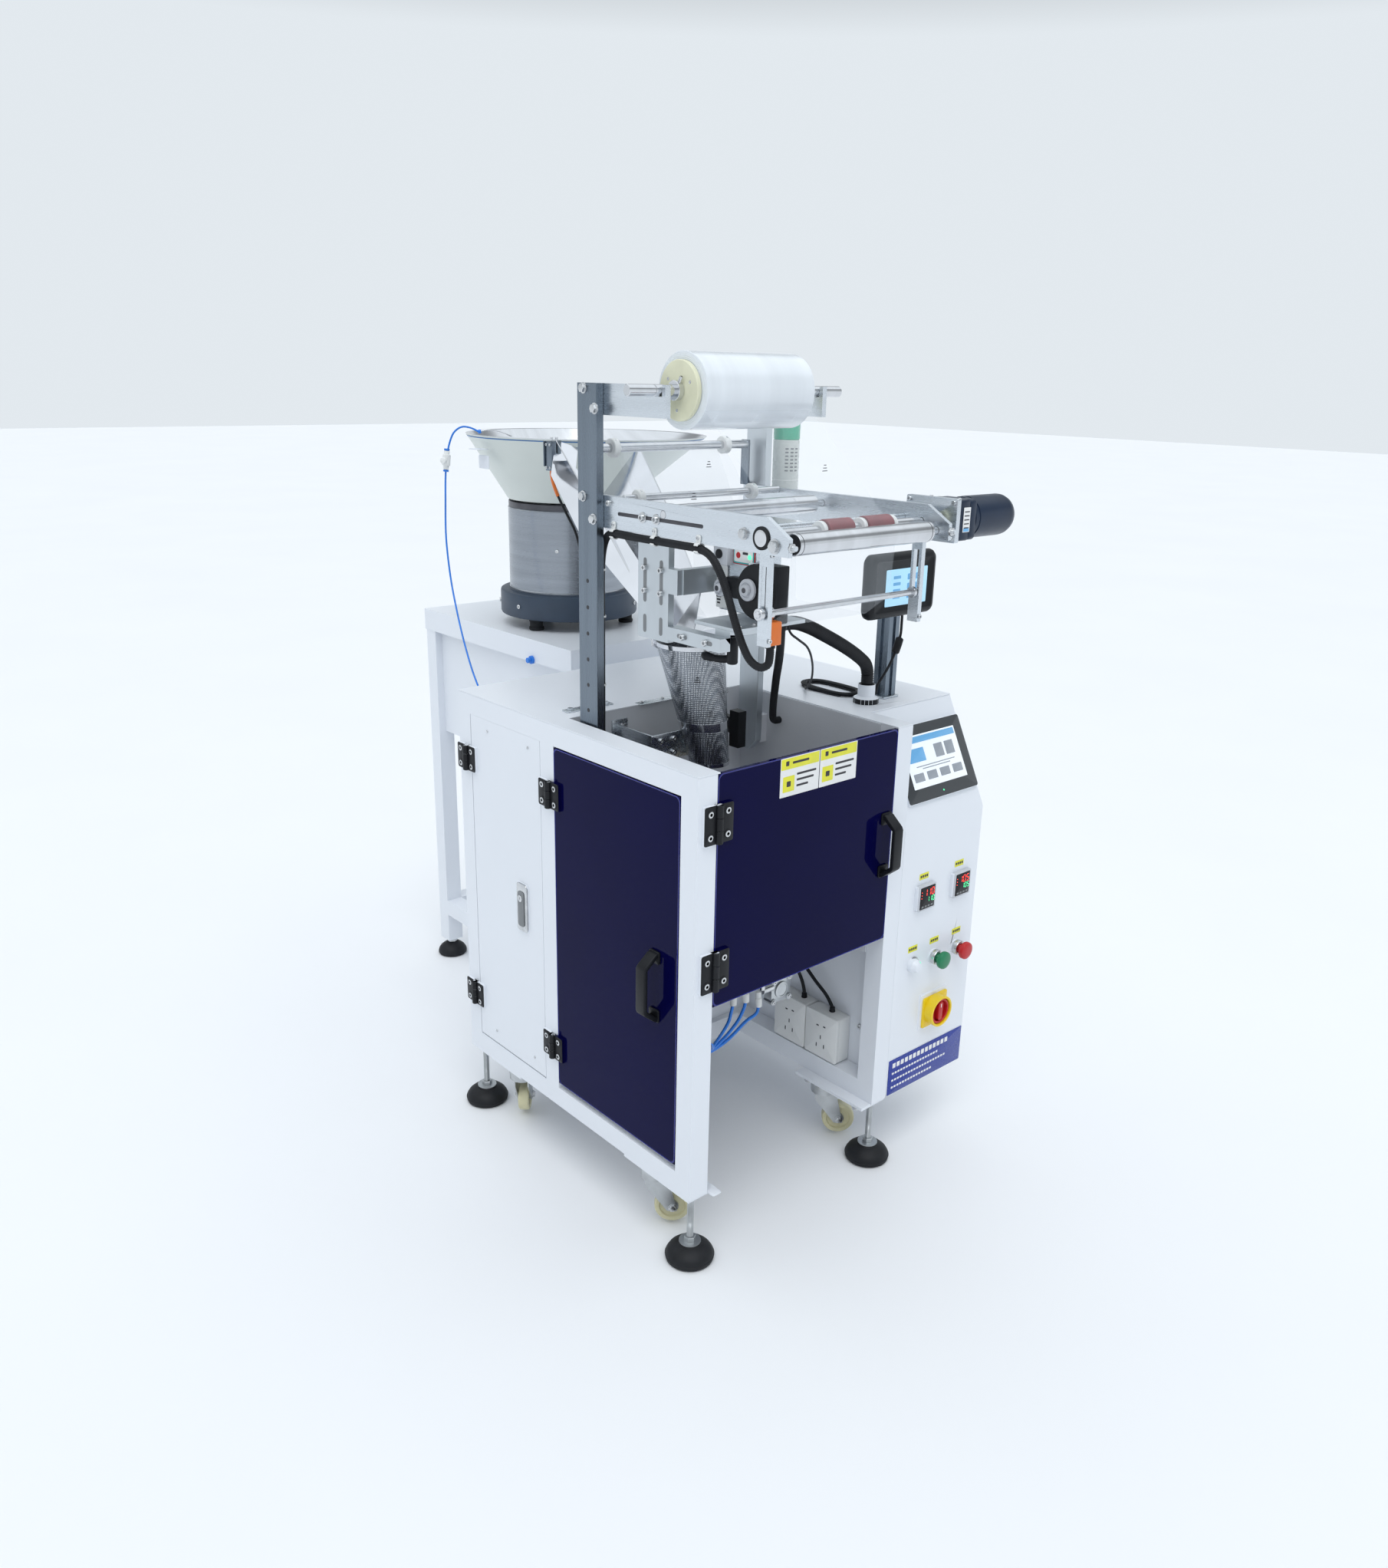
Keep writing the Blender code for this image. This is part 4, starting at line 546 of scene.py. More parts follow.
def finishFrame():
    kept = {
        whitePowder: ["cabinet_frame", "top_deck", "control_box", "service_door", "table_frame"],
        wellPaintedShade: ["compartment_liner"],
        navyAcrylic: ["front_guard", "side_door"],
        brushedUpPaintedShade: ["upright_left"],
        satinPlate: ["upright_right", "coder_mount"],
        brushedAlong: ["side_plate_left", "side_plate_right", "roll_bracket_left", "roll_bracket_right",
                       "coder_body"],
        mirrorSteel: ["chute"],
        zincPlate: ["caster_fork_front_left", "caster_fork_front_right", "caster_fork_rear_left",
                    "caster_fork_rear_right"],
        bronze: ["jaw_front", "jaw_rear"],
        blackPlastic: ["vertical_sealer"],
    }
    edge = {"cabinet_frame": 0.0012, "top_deck": 0.0006, "control_box": 0.0025, "service_door": 0.0012,
            "front_guard": 0.0012, "side_door": 0.0008, "side_plate_left": 0.0004, "side_plate_right": 0.0004,
            "upright_left": 0.0008, "upright_right": 0.0008, "coder_body": 0.0012, "coder_mount": 0.0004}
    group = softeningGroup()
    for finish, names in kept.items():
        for name in names:
            node = frame["nodes"][name]
            node.data.materials.clear()
            node.data.materials.append(finish)
            soften = node.modifiers.new("soften", "NODES")
            soften.node_group = group
            if name in edge:
                bevel = node.modifiers.new("edge", "BEVEL")
                bevel.width, bevel.segments, bevel.limit_method = edge[name], 2, "ANGLE"
                bevel.angle_limit = math.radians(50)
                bevel.use_clamp_overlap, bevel.harden_normals = True, True
    print("frame finished:", sum(len(n) for n in kept.values()), "nodes")


finishFrame()


# hinges, handles and labels on the cabinet

def makeHinges():
    # black butt hinges: two leaves with cup washers and screws, and a barrel in three lengths over the pin
    hinge = {"leaf": 0.0305, "barrel": 0.0067, "standOff": 0.0065}
    sets = {"guard": ("guard", xAxis, (0.0395, 0, 0), ((0.527, 0.597), (0.785, 0.850))),
            "sideDoor": ("side_door_leaf", -yAxis, (0, 0.3945, 0), ((0.239, 0.289), (0.744, 0.794))),
            "serviceDoor": ("service_door_leaf", -yAxis, (0, 0.6695, 0), ((0.242, 0.292), (0.747, 0.797)))}
    for name, (moving, across, pin, heights) in sets.items():
        out = np.cross(across, zAxis)
        line = np.asarray(pin, float) + out * hinge["standOff"]
        for body, side in (("machine", -1), (moving, 1)):
            shapes, heads = [], []
            for low, high in heights:
                tall, middle, third = high - low, (low + high) / 2, (high - low) / 3
                centre = np.asarray(pin, float) + across * side * (hinge["leaf"] / 2 + 0.0012) + zAxis * middle
                shapes.append(plate(centre + out * 0.0052, across, zAxis, hinge["leaf"] - 0.0024, tall, 0.0010, 0.004,
                                    0.0008))
                for up in (-1, 1):
                    at = centre + out * 0.0060 + across * side * 0.002 + zAxis * up * tall * 0.30
                    shapes.append(turned([(0.0078, 0), (0.0078, 0.0006), (0.0070, 0.0009), (0.0058, 0.0009)], at, out,
                                         28))
                    heads.append(screwHead(at, out, 0.0054, 0.0020))
                spans = ((low + third + 0.0004, high - third - 0.0004),
                         ) if side > 0 else ((low, low + third), (high - third, high))
                for a, b in spans:
                    shapes.append(roundRod(line + zAxis * a, line + zAxis * b, hinge["barrel"], 28, 0.0008))
                    shapes.append(plate(np.asarray(pin,
                                                   float) + across * side * 0.0042 + out * 0.0003 + zAxis * (a + b) / 2, across,
                                        zAxis, 0.0084, b - a, 0.0056, 0.001, 0.0004))
            addPiece(f"hingeLeaf_{name}_{body}", [(shapes, blackPlastic), (heads, boltSteel)], body)


def sticker(corner, across, up, wide, tall, body, name, band=0.30):
    # a printed card: a yellow head with one dark bar, a pale foot with a plain mark and three dark bars
    corner, across, up = (np.asarray(v, float) for v in (corner, across, up))
    out = np.cross(across, up)

    def piece(x, y, w, t, lift=0.0):
        middle = corner + across * (x + w / 2) + up * (y + t / 2) + out * lift
        return plate(middle, across, up, w, t, 0.0002, min(0.0012, t / 2.2), 0.00005, 3)

    parts = [(piece(0, 0, wide, tall), labelWhite),
             (piece(0.0015, tall * (1 - band), wide - 0.003, tall * band - 0.0015, 0.0002), labelYellow)]
    ink = [piece(wide * 0.30, tall * (1 - band * 0.62), wide * 0.42, tall * band * 0.20, 0.0004),
           piece(wide * 0.13, tall * (1 - band * 0.70), wide * 0.08, tall * band * 0.40, 0.0004)]
    mark = [piece(wide * 0.07, tall * 0.12, tall * 0.40, tall * 0.40, 0.0002)]
    for k, share in enumerate((0.50, 0.44, 0.30)):
        ink.append(piece(wide * 0.42, tall * (0.50 - 0.15 * k), wide * share, tall * 0.055, 0.0002))
    ink.append(piece(wide * 0.07 + tall * 0.13, tall * 0.25, tall * 0.14, tall * 0.14, 0.0004))
    addPiece(name, parts + [(mark, labelYellow), (ink, inkGrey)], body)


def makeGuardTrim():
    # a bright rim where light leaves the edge of the blue sheet, and the two cards at its top
    guard = {"x": (0.041, 0.4695), "z": (0.494, 0.8975), "front": -0.0001}
    door = {"y": (0.042, 0.384), "z": (0.187, 0.857)}
    for name, body, across, centre, wide, tall in (
            ("guardRim", "guard", xAxis, (sum(guard["x"]) / 2, -0.0002, sum(guard["z"]) / 2),
             guard["x"][1] - guard["x"][0], guard["z"][1] - guard["z"][0]),
            ("sideDoorRim", "side_door_leaf", -yAxis, (-0.0002, sum(door["y"]) / 2, sum(door["z"]) / 2),
             door["y"][1] - door["y"][0], door["z"][1] - door["z"][0])):
        out = np.cross(across, zAxis)
        rows = []
        for inset, lift in ((0.0002, -0.0040), (0.0000, 0.0), (0.0003, 0.0003), (0.0016, 0.0003), (0.0020, 0.0)):
            flat = roundRect(wide / 2 - inset, tall / 2 - inset, 0.010, 8)
            rows.append(np.asarray(centre) + flat[:, :1] * across + flat[:, 1:] * zAxis + lift * out)
        addPiece(name, (surface(np.array(rows)), acrylicEdge), body)
    sticker((0.177, -0.0003, 0.829), xAxis, zAxis, 0.0915, 0.067, "guard", "labelLeft")
    sticker((0.270, -0.0003, 0.829), xAxis, zAxis, 0.0915, 0.067, "guard", "labelRight")
    louvres = [plate((0.130, 0.0095, 0.763 + 0.0118 * k), xAxis, zAxis, 0.046, 0.0045, 0.002, 0.002, 0.0008)
               for k in range(6)]
    addPiece("louvreFins", (louvres, newFinish("louvreBlue", (0.012, 0.016, 0.17), 0.3, tone=0.1)), "guard")


def makeHandles():
    # a strap handle with straight, bevelled shoulders: one flat section carried along a bent line
    handle = {"halfWide": 0.0112, "halfThick": 0.0042, "proud": 0.0300, "shoulder": 0.024, "ease": 0.0016}
    places = {"frontStrapHandle": ("guard", "front_handle", (0.4505, 0, 0), -yAxis, (0.624, 0.745)),
              "sideStrapHandle": ("side_door_leaf", "side_handle", (0, 0.098, 0), -xAxis, (0.445, 0.573))}
    for name, (body, node, centre, across, (low, high)) in places.items():
        centre = np.asarray(centre, float)
        out, ease = handle["proud"], handle["ease"]
        bends = np.array([(0.0004, low + 0.0045), (0.0060, low + 0.0045), (out, low + handle["shoulder"]),
                          (out, high - handle["shoulder"]), (0.0060, high - 0.0045), (0.0004, high - 0.0045)])
        line = [bends[0]]
        for before, at, after in zip(bends, bends[1:], bends[2:]):
            line.append(at + (before - at) / np.linalg.norm(before - at) * ease)
            line.append(at + (after - at) / np.linalg.norm(after - at) * ease)
        line.append(bends[-1])
        path = np.array([centre + across * d + zAxis * z for d, z in line])
        side = np.cross(zAxis, across)
        ahead = np.gradient(path, axis=0)
        ahead /= np.linalg.norm(ahead, axis=1)[:, None]
        normal = np.cross(ahead, side)
        section = roundRect(handle["halfWide"], handle["halfThick"], 0.0016, 3)
        grid = path[:, None] + section[None, :, :1] * side + section[None, :, 1:] * normal[:, None]
        shapes = [surface(grid, startCap=True, endCap=True)]
        for z in (low + 0.0100, high - 0.0100):
            shapes.append(plate(centre + across * 0.0004 + zAxis * z, side, zAxis, 0.026, 0.023, 0.0038, 0.004,
                                0.0010))
        addPiece(name, (shapes, blackPlastic), body, replacing=[node])


def makeLock():
    lock = {"y": (0.474, 0.507), "z": (0.468, 0.565)}
    y, z = sum(lock["y"]) / 2, sum(lock["z"]) / 2
    body = [plate((-0.0003, y, z), -yAxis, zAxis, 0.033, 0.097, 0.0050, 0.0055, 0.0016)]
    addPiece("lockSurround", [(body, boltSteel)], "service_door_leaf")
    paddle = [plate((-0.0055, y, z - 0.002), -yAxis, zAxis, 0.020, 0.072, 0.0022, 0.006, 0.001)]
    ring = turned([(0.0068, 0), (0.0068, 0.0014), (0.0052, 0.0018), (0.0028, 0.0012)], (-0.0077, y, z + 0.020),
                  -xAxis, 28)
    slot = plate((-0.0086, y, z + 0.020), -yAxis, zAxis, 0.0012, 0.0058, 0.0004, 0.0003, 0.0001)
    addPiece("lockPaddle", [(paddle, greyPlastic), (ring, boltSteel), (slot, inkGrey)], "lock_paddle",
             replacing=["door_lock"])


def makePanelTrim():
    # the service door's rivets, the white tab at the front post's foot, small deck plates
    rivets = []
    for y in (0.465, 0.600):
        for z in (0.838, 0.205):
            rivets.append(turned([(0.0028, 0), (0.0026, 0.0008), (0.0012, 0.0013)], (-0.0005, y, z), -xAxis, 16))
    addPiece("serviceRivets", (rivets, boltSteel), "service_door_leaf")
    tab = [plate((0.051, 0.0, 0.1345), xAxis, yAxis, 0.020, 0.030, 0.002, 0.003, 0.0005)]
    deck = [plate((0.265, 0.405, 0.9002), yAxis, xAxis, 0.020, 0.120, 0.0016, 0.002, 0.0004)]
    screws = [screwHead((x, 0.405, 0.9015), zAxis, 0.004, 0.002) for x in (0.215, 0.265, 0.315)]
    slotted = [plate((0.115, 0.437, 0.9002), xAxis, yAxis, 0.105, 0.020, 0.0022, 0.003, 0.0005)]
    slotted += [screwHead((x, 0.437, 0.9022), zAxis, 0.0055, 0.004, True) for x in (0.075, 0.155)]
    addPiece("deckPlates", [(tab, whitePowder), (deck + slotted, brushedAlong), (screws, boltSteel)], "machine")


def makeFeet():
    postRadius = 0.0060
    for end, y in (("front", 0.020), ("rear", 0.680)):
        for side, x in (("left", 0.020), ("right", 0.490)):
            at = (x, y, 0)
            bell = [(0.030, 0.0), (0.0395, 0.0005), (0.0425, 0.003), (0.0435, 0.008), (0.0425, 0.014),
                    (0.0385, 0.0205),
                    (0.032, 0.0262), (0.024, 0.0300), (0.0205, 0.0312), (0.019, 0.0335), (0.0165, 0.0350),
                    (0.0125, 0.0355)]
            groove = turned([(0.0428, 0.0095), (0.0440, 0.0101), (0.0428, 0.0109)], at, zAxis, 48)
            post = [turned([(0.0195, 0.0352), (0.0195, 0.0368), (0.012, 0.0374)], at, zAxis, 40),
                    turned([(0.0098, 0.0370), (0.0105, 0.0378), (0.0105, 0.0448), (0.0098, 0.0456)], at, zAxis, 24,
                           hexRows=range(4)),
                    threadRod((x, y, 0.044), (x, y, 0.134), postRadius, 0.00175),
                    turned([(0.0098, 0.1235), (0.0105, 0.1243), (0.0105, 0.1300), (0.0098, 0.1308)], at, zAxis, 24,
                           hexRows=range(4))]
            addPiece(f"levellingFoot_{end}_{side}", [([turned(bell, at, zAxis, 56), groove], blackRubber),
                                                     (post, zincPlate)], "machine",
                     replacing=[f"levelling_foot_{end}_{side}"])


def threadRod(start, end, radius, pitch):
    # a rod whose radius rises and falls once a pitch, which reads as a thread
    start, end = np.asarray(start, float), np.asarray(end, float)
    length = np.linalg.norm(end - start)
    high = np.linspace(0, length, int(length / pitch * 4))
    profile = np.column_stack([radius - 0.00028 * (1 + np.cos(2 * np.pi * high / pitch)), high])
    return turned(profile, start, end - start, 20)


def makeCasters():
    wheel = {"radius": 0.033, "width": 0.022, "height": 0.0415, "trail": 0.032}
    spots = {"front_left": (0.035, 0.135, -41), "front_right": (0.480, 0.135, -41),
             "rear_left": (0.035, 0.565, 48), "rear_right": (0.480, 0.565, 200)}
    for spot, (x, y, turn) in spots.items():
        turn = math.radians(turn)
        along = np.array((math.cos(turn), math.sin(turn), 0))
        side = np.array((-math.sin(turn), math.cos(turn), 0))
        axle = np.array((x, y, wheel["height"])) + along * wheel["trail"]
        r, h = wheel["radius"], wheel["width"] / 2
        tread = [(0.012, -h * 0.62), (r * 0.70, -h * 0.62), (r * 0.74, -h * 0.95), (r * 0.92, -h),
                 (r * 0.985, -h * 0.8),
                 (r, -h * 0.35), (r, h * 0.35), (r * 0.985, h * 0.8), (r * 0.92, h), (r * 0.74, h * 0.95),
                 (r * 0.70, h * 0.62), (0.012, h * 0.62)]
        hub = [turned([(0.0115, -h - 0.0004), (0.0115, h + 0.0004)], axle, side, 28)]
        addPiece(f"casterWheel_{spot}", [(turned(tread, axle, side, 56), creamPlastic), (hub, zincPlate)],
                 f"wheel_{spot}", replacing=[f"caster_wheel_{spot}"])
        nuts = []
        for way in (-1, 1):
            at = axle + side * way * (h + 0.0042)
            nuts.append(screwHead(at, side * way, 0.0066, 0.0048, True))
        race = [turned([(0.0215, -0.006), (0.0255, -0.004), (0.0265, 0.0), (0.0255, 0.004), (0.022, 0.0055)],
                       (x, y, 0.1150), zAxis, 44)]
        addPiece(f"casterNuts_{spot}", [(nuts, boltSteel)], f"fork_{spot}")
        addPiece(f"casterRace_{spot}", [(race, zincPlate)], "machine")
    bolts = []
    for x in (0.449, 0.500):
        for y in (0.020, 0.150):
            bolts.append(screwHead((x, y, 0.1300), -zAxis, 0.0065, 0.0045, True))
    for x in (0.010, 0.055):
        for y in (0.160, 0.100):
            bolts.append(screwHead((x, y, 0.1300), -zAxis, 0.0065, 0.0045, True))
    addPiece("casterBolts", (bolts, boltSteel), "machine")


makeHinges()
makeGuardTrim()
makeHandles()
makeLock()
makePanelTrim()
makeFeet()
makeCasters()
print("cabinet dressed")


# the control box's face

def sloped(along, up, out):
    # a point on the control box's sloping top face: x along, metres up the slope, metres proud of it
    foot, head = np.array((0, 0.696)), np.array((0.1013, 0.898))
    way = (head - foot) / np.linalg.norm(head - foot)
    proud = np.array((-way[1], way[0]))
    y, z = foot + way * up + proud * out
    return np.array((along, y, z)), np.array((0, *way))


def makeTouchPanel():
    panel = {"x": (0.535, 0.740), "up": (0.041, 0.186), "proud": 0.006, "screenX": (0.558, 0.716),
             "screenUp": (0.066, 0.166)}
    x, up = sum(panel["x"]) / 2, sum(panel["up"]) / 2
    centre, way = sloped(x, up, 0.0060)
    wide, tall = panel["x"][1] - panel["x"][0], panel["up"][1] - panel["up"][0]
    bezel = [plate(centre, xAxis, way, wide - 0.001, tall - 0.001, 0.0022, 0.005, 0.0012)]
    sx, su = sum(panel["screenX"]) / 2, sum(panel["screenUp"]) / 2
    sw, st = panel["screenX"][1] - panel["screenX"][0], panel["screenUp"][1] - panel["screenUp"][0]

    def tile(px, pu, w, t, lift):
        middle, _ = sloped(sx + px * sw, su + pu * st, 0.0082 + lift)
        return plate(middle, xAxis, way, w * sw, t * st, 0.00025, 0.0012, 0.00005, 3)

    glass = [tile(0, 0, 1, 1, 0)]
    blue = [tile(0, 0.41, 0.96, 0.12, 0.00025), tile(-0.30, 0.12, 0.30, 0.26, 0.00025)]
    grey = [tile(0.12 + 0.20 * k, 0.12, 0.16, 0.26, 0.00025) for k in range(2)]
    grey += [tile(-0.36 + 0.24 * k, -0.30, 0.18, 0.16, 0.00025) for k in range(4)]
    lines = [tile(0.0, -0.10 - 0.05 * k, 0.72 - 0.2 * k, 0.018, 0.00025) for k in range(2)]
    led = turned([(0.0016, 0), (0.0013, 0.0004)], sloped(0.637, 0.052, 0.0082)[0], np.cross(xAxis, way), 16)
    addPiece("touchPanel",
             [(bezel, newFinish("bezelGrey", (0.045, 0.05, 0.055), 0.32, tone=0.1, grain=900, bump=0.15)),
                            (glass, screenGlass), (blue, screenBlue), (grey + lines, screenGrey), (led, litGreen)],
             "machine")


def digits(value, corner, tall, finishParts):
    # seven short bars a figure: top, upper left, upper right, middle, lower left, lower right, bottom
    lit = {"0": "1110111", "1": "0010010", "2": "1011101", "3": "1011011", "4": "0111010", "5": "1101011",
           "6": "1101111", "7": "1010010", "8": "1111111", "9": "1111011"}
    spots = [(0.5, 1, 1), (0, 0.75, 0), (1, 0.75, 0), (0.5, 0.5, 1), (0, 0.25, 0), (1, 0.25, 0), (0.5, 0, 1)]
    wide = tall * 0.5
    for k, figure in enumerate(value):
        for on, (px, pz, flat) in zip(lit[figure], spots):
            if on == "1":
                at = np.asarray(corner) + np.array((k * wide * 1.55 + px * wide, 0, pz * tall))
                w, t = (wide * 0.8, tall * 0.10) if flat else (tall * 0.10, tall * 0.40)
                finishParts.append(plate(at, xAxis, zAxis, w, t, 0.0002, tall * 0.04, 0.00004, 2))


def makeControllers():
    # two temperature controllers: pale bezel, black glass, red upper figures and green lower ones
    meter = {"z": 0.549, "places": {"left": (0.5810, "110", "110"), "right": (0.6885, "105", "105")}}
    z = meter["z"]
    for name, (x, upper, lower) in meter["places"].items():
        bezel = plate((x, -0.0003, z), xAxis, zAxis, 0.0505, 0.0520, 0.0085, 0.003, 0.0012)
        face = plate((x, -0.0087, z), xAxis, zAxis, 0.0430, 0.0450, 0.0006, 0.002, 0.0002)
        red, green = [], []
        digits(upper, (x - 0.0095, -0.0094, z + 0.0035), 0.0135, red)
        digits(lower, (x - 0.0005, -0.0094, z - 0.0095), 0.0100, green)
        keys = [plate((x - 0.0135 + 0.009 * k, -0.0093, z - 0.0175), xAxis, zAxis, 0.0062, 0.0036, 0.0005, 0.001,
                      0.0002, 3)
                for k in range(4)]
        leds = [plate((x - 0.0175, -0.0093, z + 0.013 - 0.006 * k), xAxis, zAxis, 0.002, 0.002, 0.0003, 0.0008,
                      0.0001, 3)
                for k in range(3)]
        glass = newFinish("meterGlass_" + name, (0.010, 0.010, 0.012), 0.12, tone=0.1, bump=0,
                          **{"Specular IOR Level": 0.25})
        addPiece("controller_" + name,
                 [(bezel, paleGrey), (face, glass), (red, litRed), (green, litGreen), (keys, greyPlastic),
                                        (leds, litRed)], "machine")


def tag(x, z, wide=0.027, tall=0.0125):
    return (plate((x, -0.0002, z), xAxis, zAxis, wide, tall, 0.0003, 0.0008, 0.0001, 3),
            [plate((x + dx, -0.0005, z), xAxis, zAxis, wide * 0.17, tall * 0.42, 0.0001, 0.0004, 0.00004, 2)
             for dx in (-wide * 0.33, -wide * 0.11, wide * 0.11, wide * 0.33)])


def makeButtons():
    buttons = {"lamp": 0.5645, "start": 0.625, "stop": 0.694, "z": 0.410}
    z = buttons["z"]
    ring = [(0.0145, 0.0003), (0.0145, 0.0028), (0.0135, 0.0036), (0.0118, 0.0036), (0.0112, 0.0030)]
    lens = [(0.0112, 0.0028), (0.0112, 0.0085), (0.0104, 0.0115), (0.0085, 0.0128), (0.0040, 0.0138)]
    at = (buttons["lamp"], 0, z)
    halo = [(0.0152, 0.0003), (0.0152, 0.0016), (0.0146, 0.0018)]
    addPiece("pilotLamp", [(turned(ring, at, -yAxis, 40), boltSteel), (turned(lens, at, -yAxis, 40), lampGlow),
                           (turned(halo, at, -yAxis, 40), greyPlastic)], "machine")
    bodies = {"start": ("start_button", buttonGreen), "stop": ("stop_button", buttonRed)}
    for name, (node, colour) in bodies.items():
        at = (buttons[name], 0, z)
        rings = [turned(ring, at, -yAxis, 40),
                 turned([(0.0104, 0.0050), (0.0152, 0.0040), (0.0152, 0.0128), (0.0144, 0.0140), (0.0104, 0.0140),
                                                        (0.0104, 0.0050)], at, -yAxis, 44)]
        addPiece(f"{name}Ring", [(rings, boltSteel)], "machine")
        head = [(0.0088, 0.0112), (0.0088, 0.0195), (0.0120, 0.0215), (0.0168, 0.0225), (0.0176, 0.0240),
                (0.0176, 0.0290),
                (0.0168, 0.0310), (0.0140, 0.0327), (0.0090, 0.0337), (0.0040, 0.0340)]
        addPiece(f"{name}Head", (turned(head, at, -yAxis, 48), colour), name, replacing=[node])
    tags, ink = [], []
    for x, height in ((0.577, 0.5905), (0.684, 0.5905), (0.560, 0.444), (0.625, 0.444), (0.694, 0.444)):
        card, marks = tag(x, height)
        tags.append(card)
        ink += marks
    addPiece("tags", [(tags, labelYellow), (ink, inkGrey)], "machine")


def makeIsolator():
    # yellow plate with a deep locking collar, and the red dial set into it
    isolator = {"x": 0.638, "z": 0.291, "wide": 0.073, "tall": 0.065, "pivot": (0.635, 0.294), "deep": 0.0265}
    x, z = isolator["pivot"]
    base = plate((isolator["x"], -0.0004, isolator["z"]), xAxis, zAxis, isolator["wide"], isolator["tall"], 0.0060,
                 0.004, 0.0012)
    collar = turned([(0.0272, 0.0058), (0.0318, 0.0058), (0.0318, isolator["deep"] - 0.001),
                     (0.0308, isolator["deep"]),
                     (0.0280, isolator["deep"]), (0.0272, isolator["deep"] - 0.001), (0.0272, 0.0058)], (x, 0, z),
                    -yAxis, 64)
    slots = [plate((x + 0.0312 * math.cos(a), -0.0150, z + 0.0312 * math.sin(a)), (0, -1, 0),
                   (-math.sin(a), 0, math.cos(a)), 0.007,
                   0.011, 0.0009, 0.001, 0.0002,
                   3) for a in (math.radians(100), math.radians(190), math.radians(280))]
    addPiece("isolatorPlate", [([base, collar], yellowPlate), (slots, coreBrown)], "machine")
    dial = turned([(0.0245, 0.0062), (0.0262, 0.0080), (0.0262, 0.0222), (0.0250, 0.0232), (0.0226, 0.0232),
                   (0.0216, 0.0222),
                   (0.0210, 0.0150), (0.0060, 0.0148)], (x, 0, z), -yAxis, 64)
    grip = plate((x, -0.0146, z), xAxis, zAxis, 0.013, 0.0400, 0.0092, 0.0060, 0.0016)
    mark = plate((x, -0.0239, z + 0.0125), xAxis, zAxis, 0.0022, 0.0080, 0.0002, 0.0008, 0.00005, 3)
    addPiece("isolatorKnob", [([dial, grip], buttonRed), (mark, labelWhite)], "isolator", replacing=["isolator_knob"])


def makeNamePlate():
    # a blue plate with plain pale bars where a maker would print lines
    name = {"x": (0.514, 0.742), "z": (0.138, 0.215)}
    x, z = sum(name["x"]) / 2, sum(name["z"]) / 2
    card = plate((x, -0.0003, z), xAxis, zAxis, 0.228, 0.077, 0.0007, 0.0015, 0.0002)
    bars = []
    for row, (share, tall) in enumerate(((0.86, 0.0105), (0.70, 0.0045), (0.82, 0.0045), (0.62, 0.0045))):
        start, height = name["x"][0] + 0.010, z + 0.0245 - 0.0155 * row - (0.002 if row else 0)
        step = 0.0125 if row == 0 else 0.0085
        count = int(share * 0.208 / step)
        bars += [plate((start + step * (k + 0.45), -0.0010, height), xAxis, zAxis, step * 0.72, tall, 0.0001, 0.0009,
                       0.00004, 2) for k in range(count)]
    addPiece("namePlate", [(card, namePlateBlue), (bars, labelWhite)], "machine")


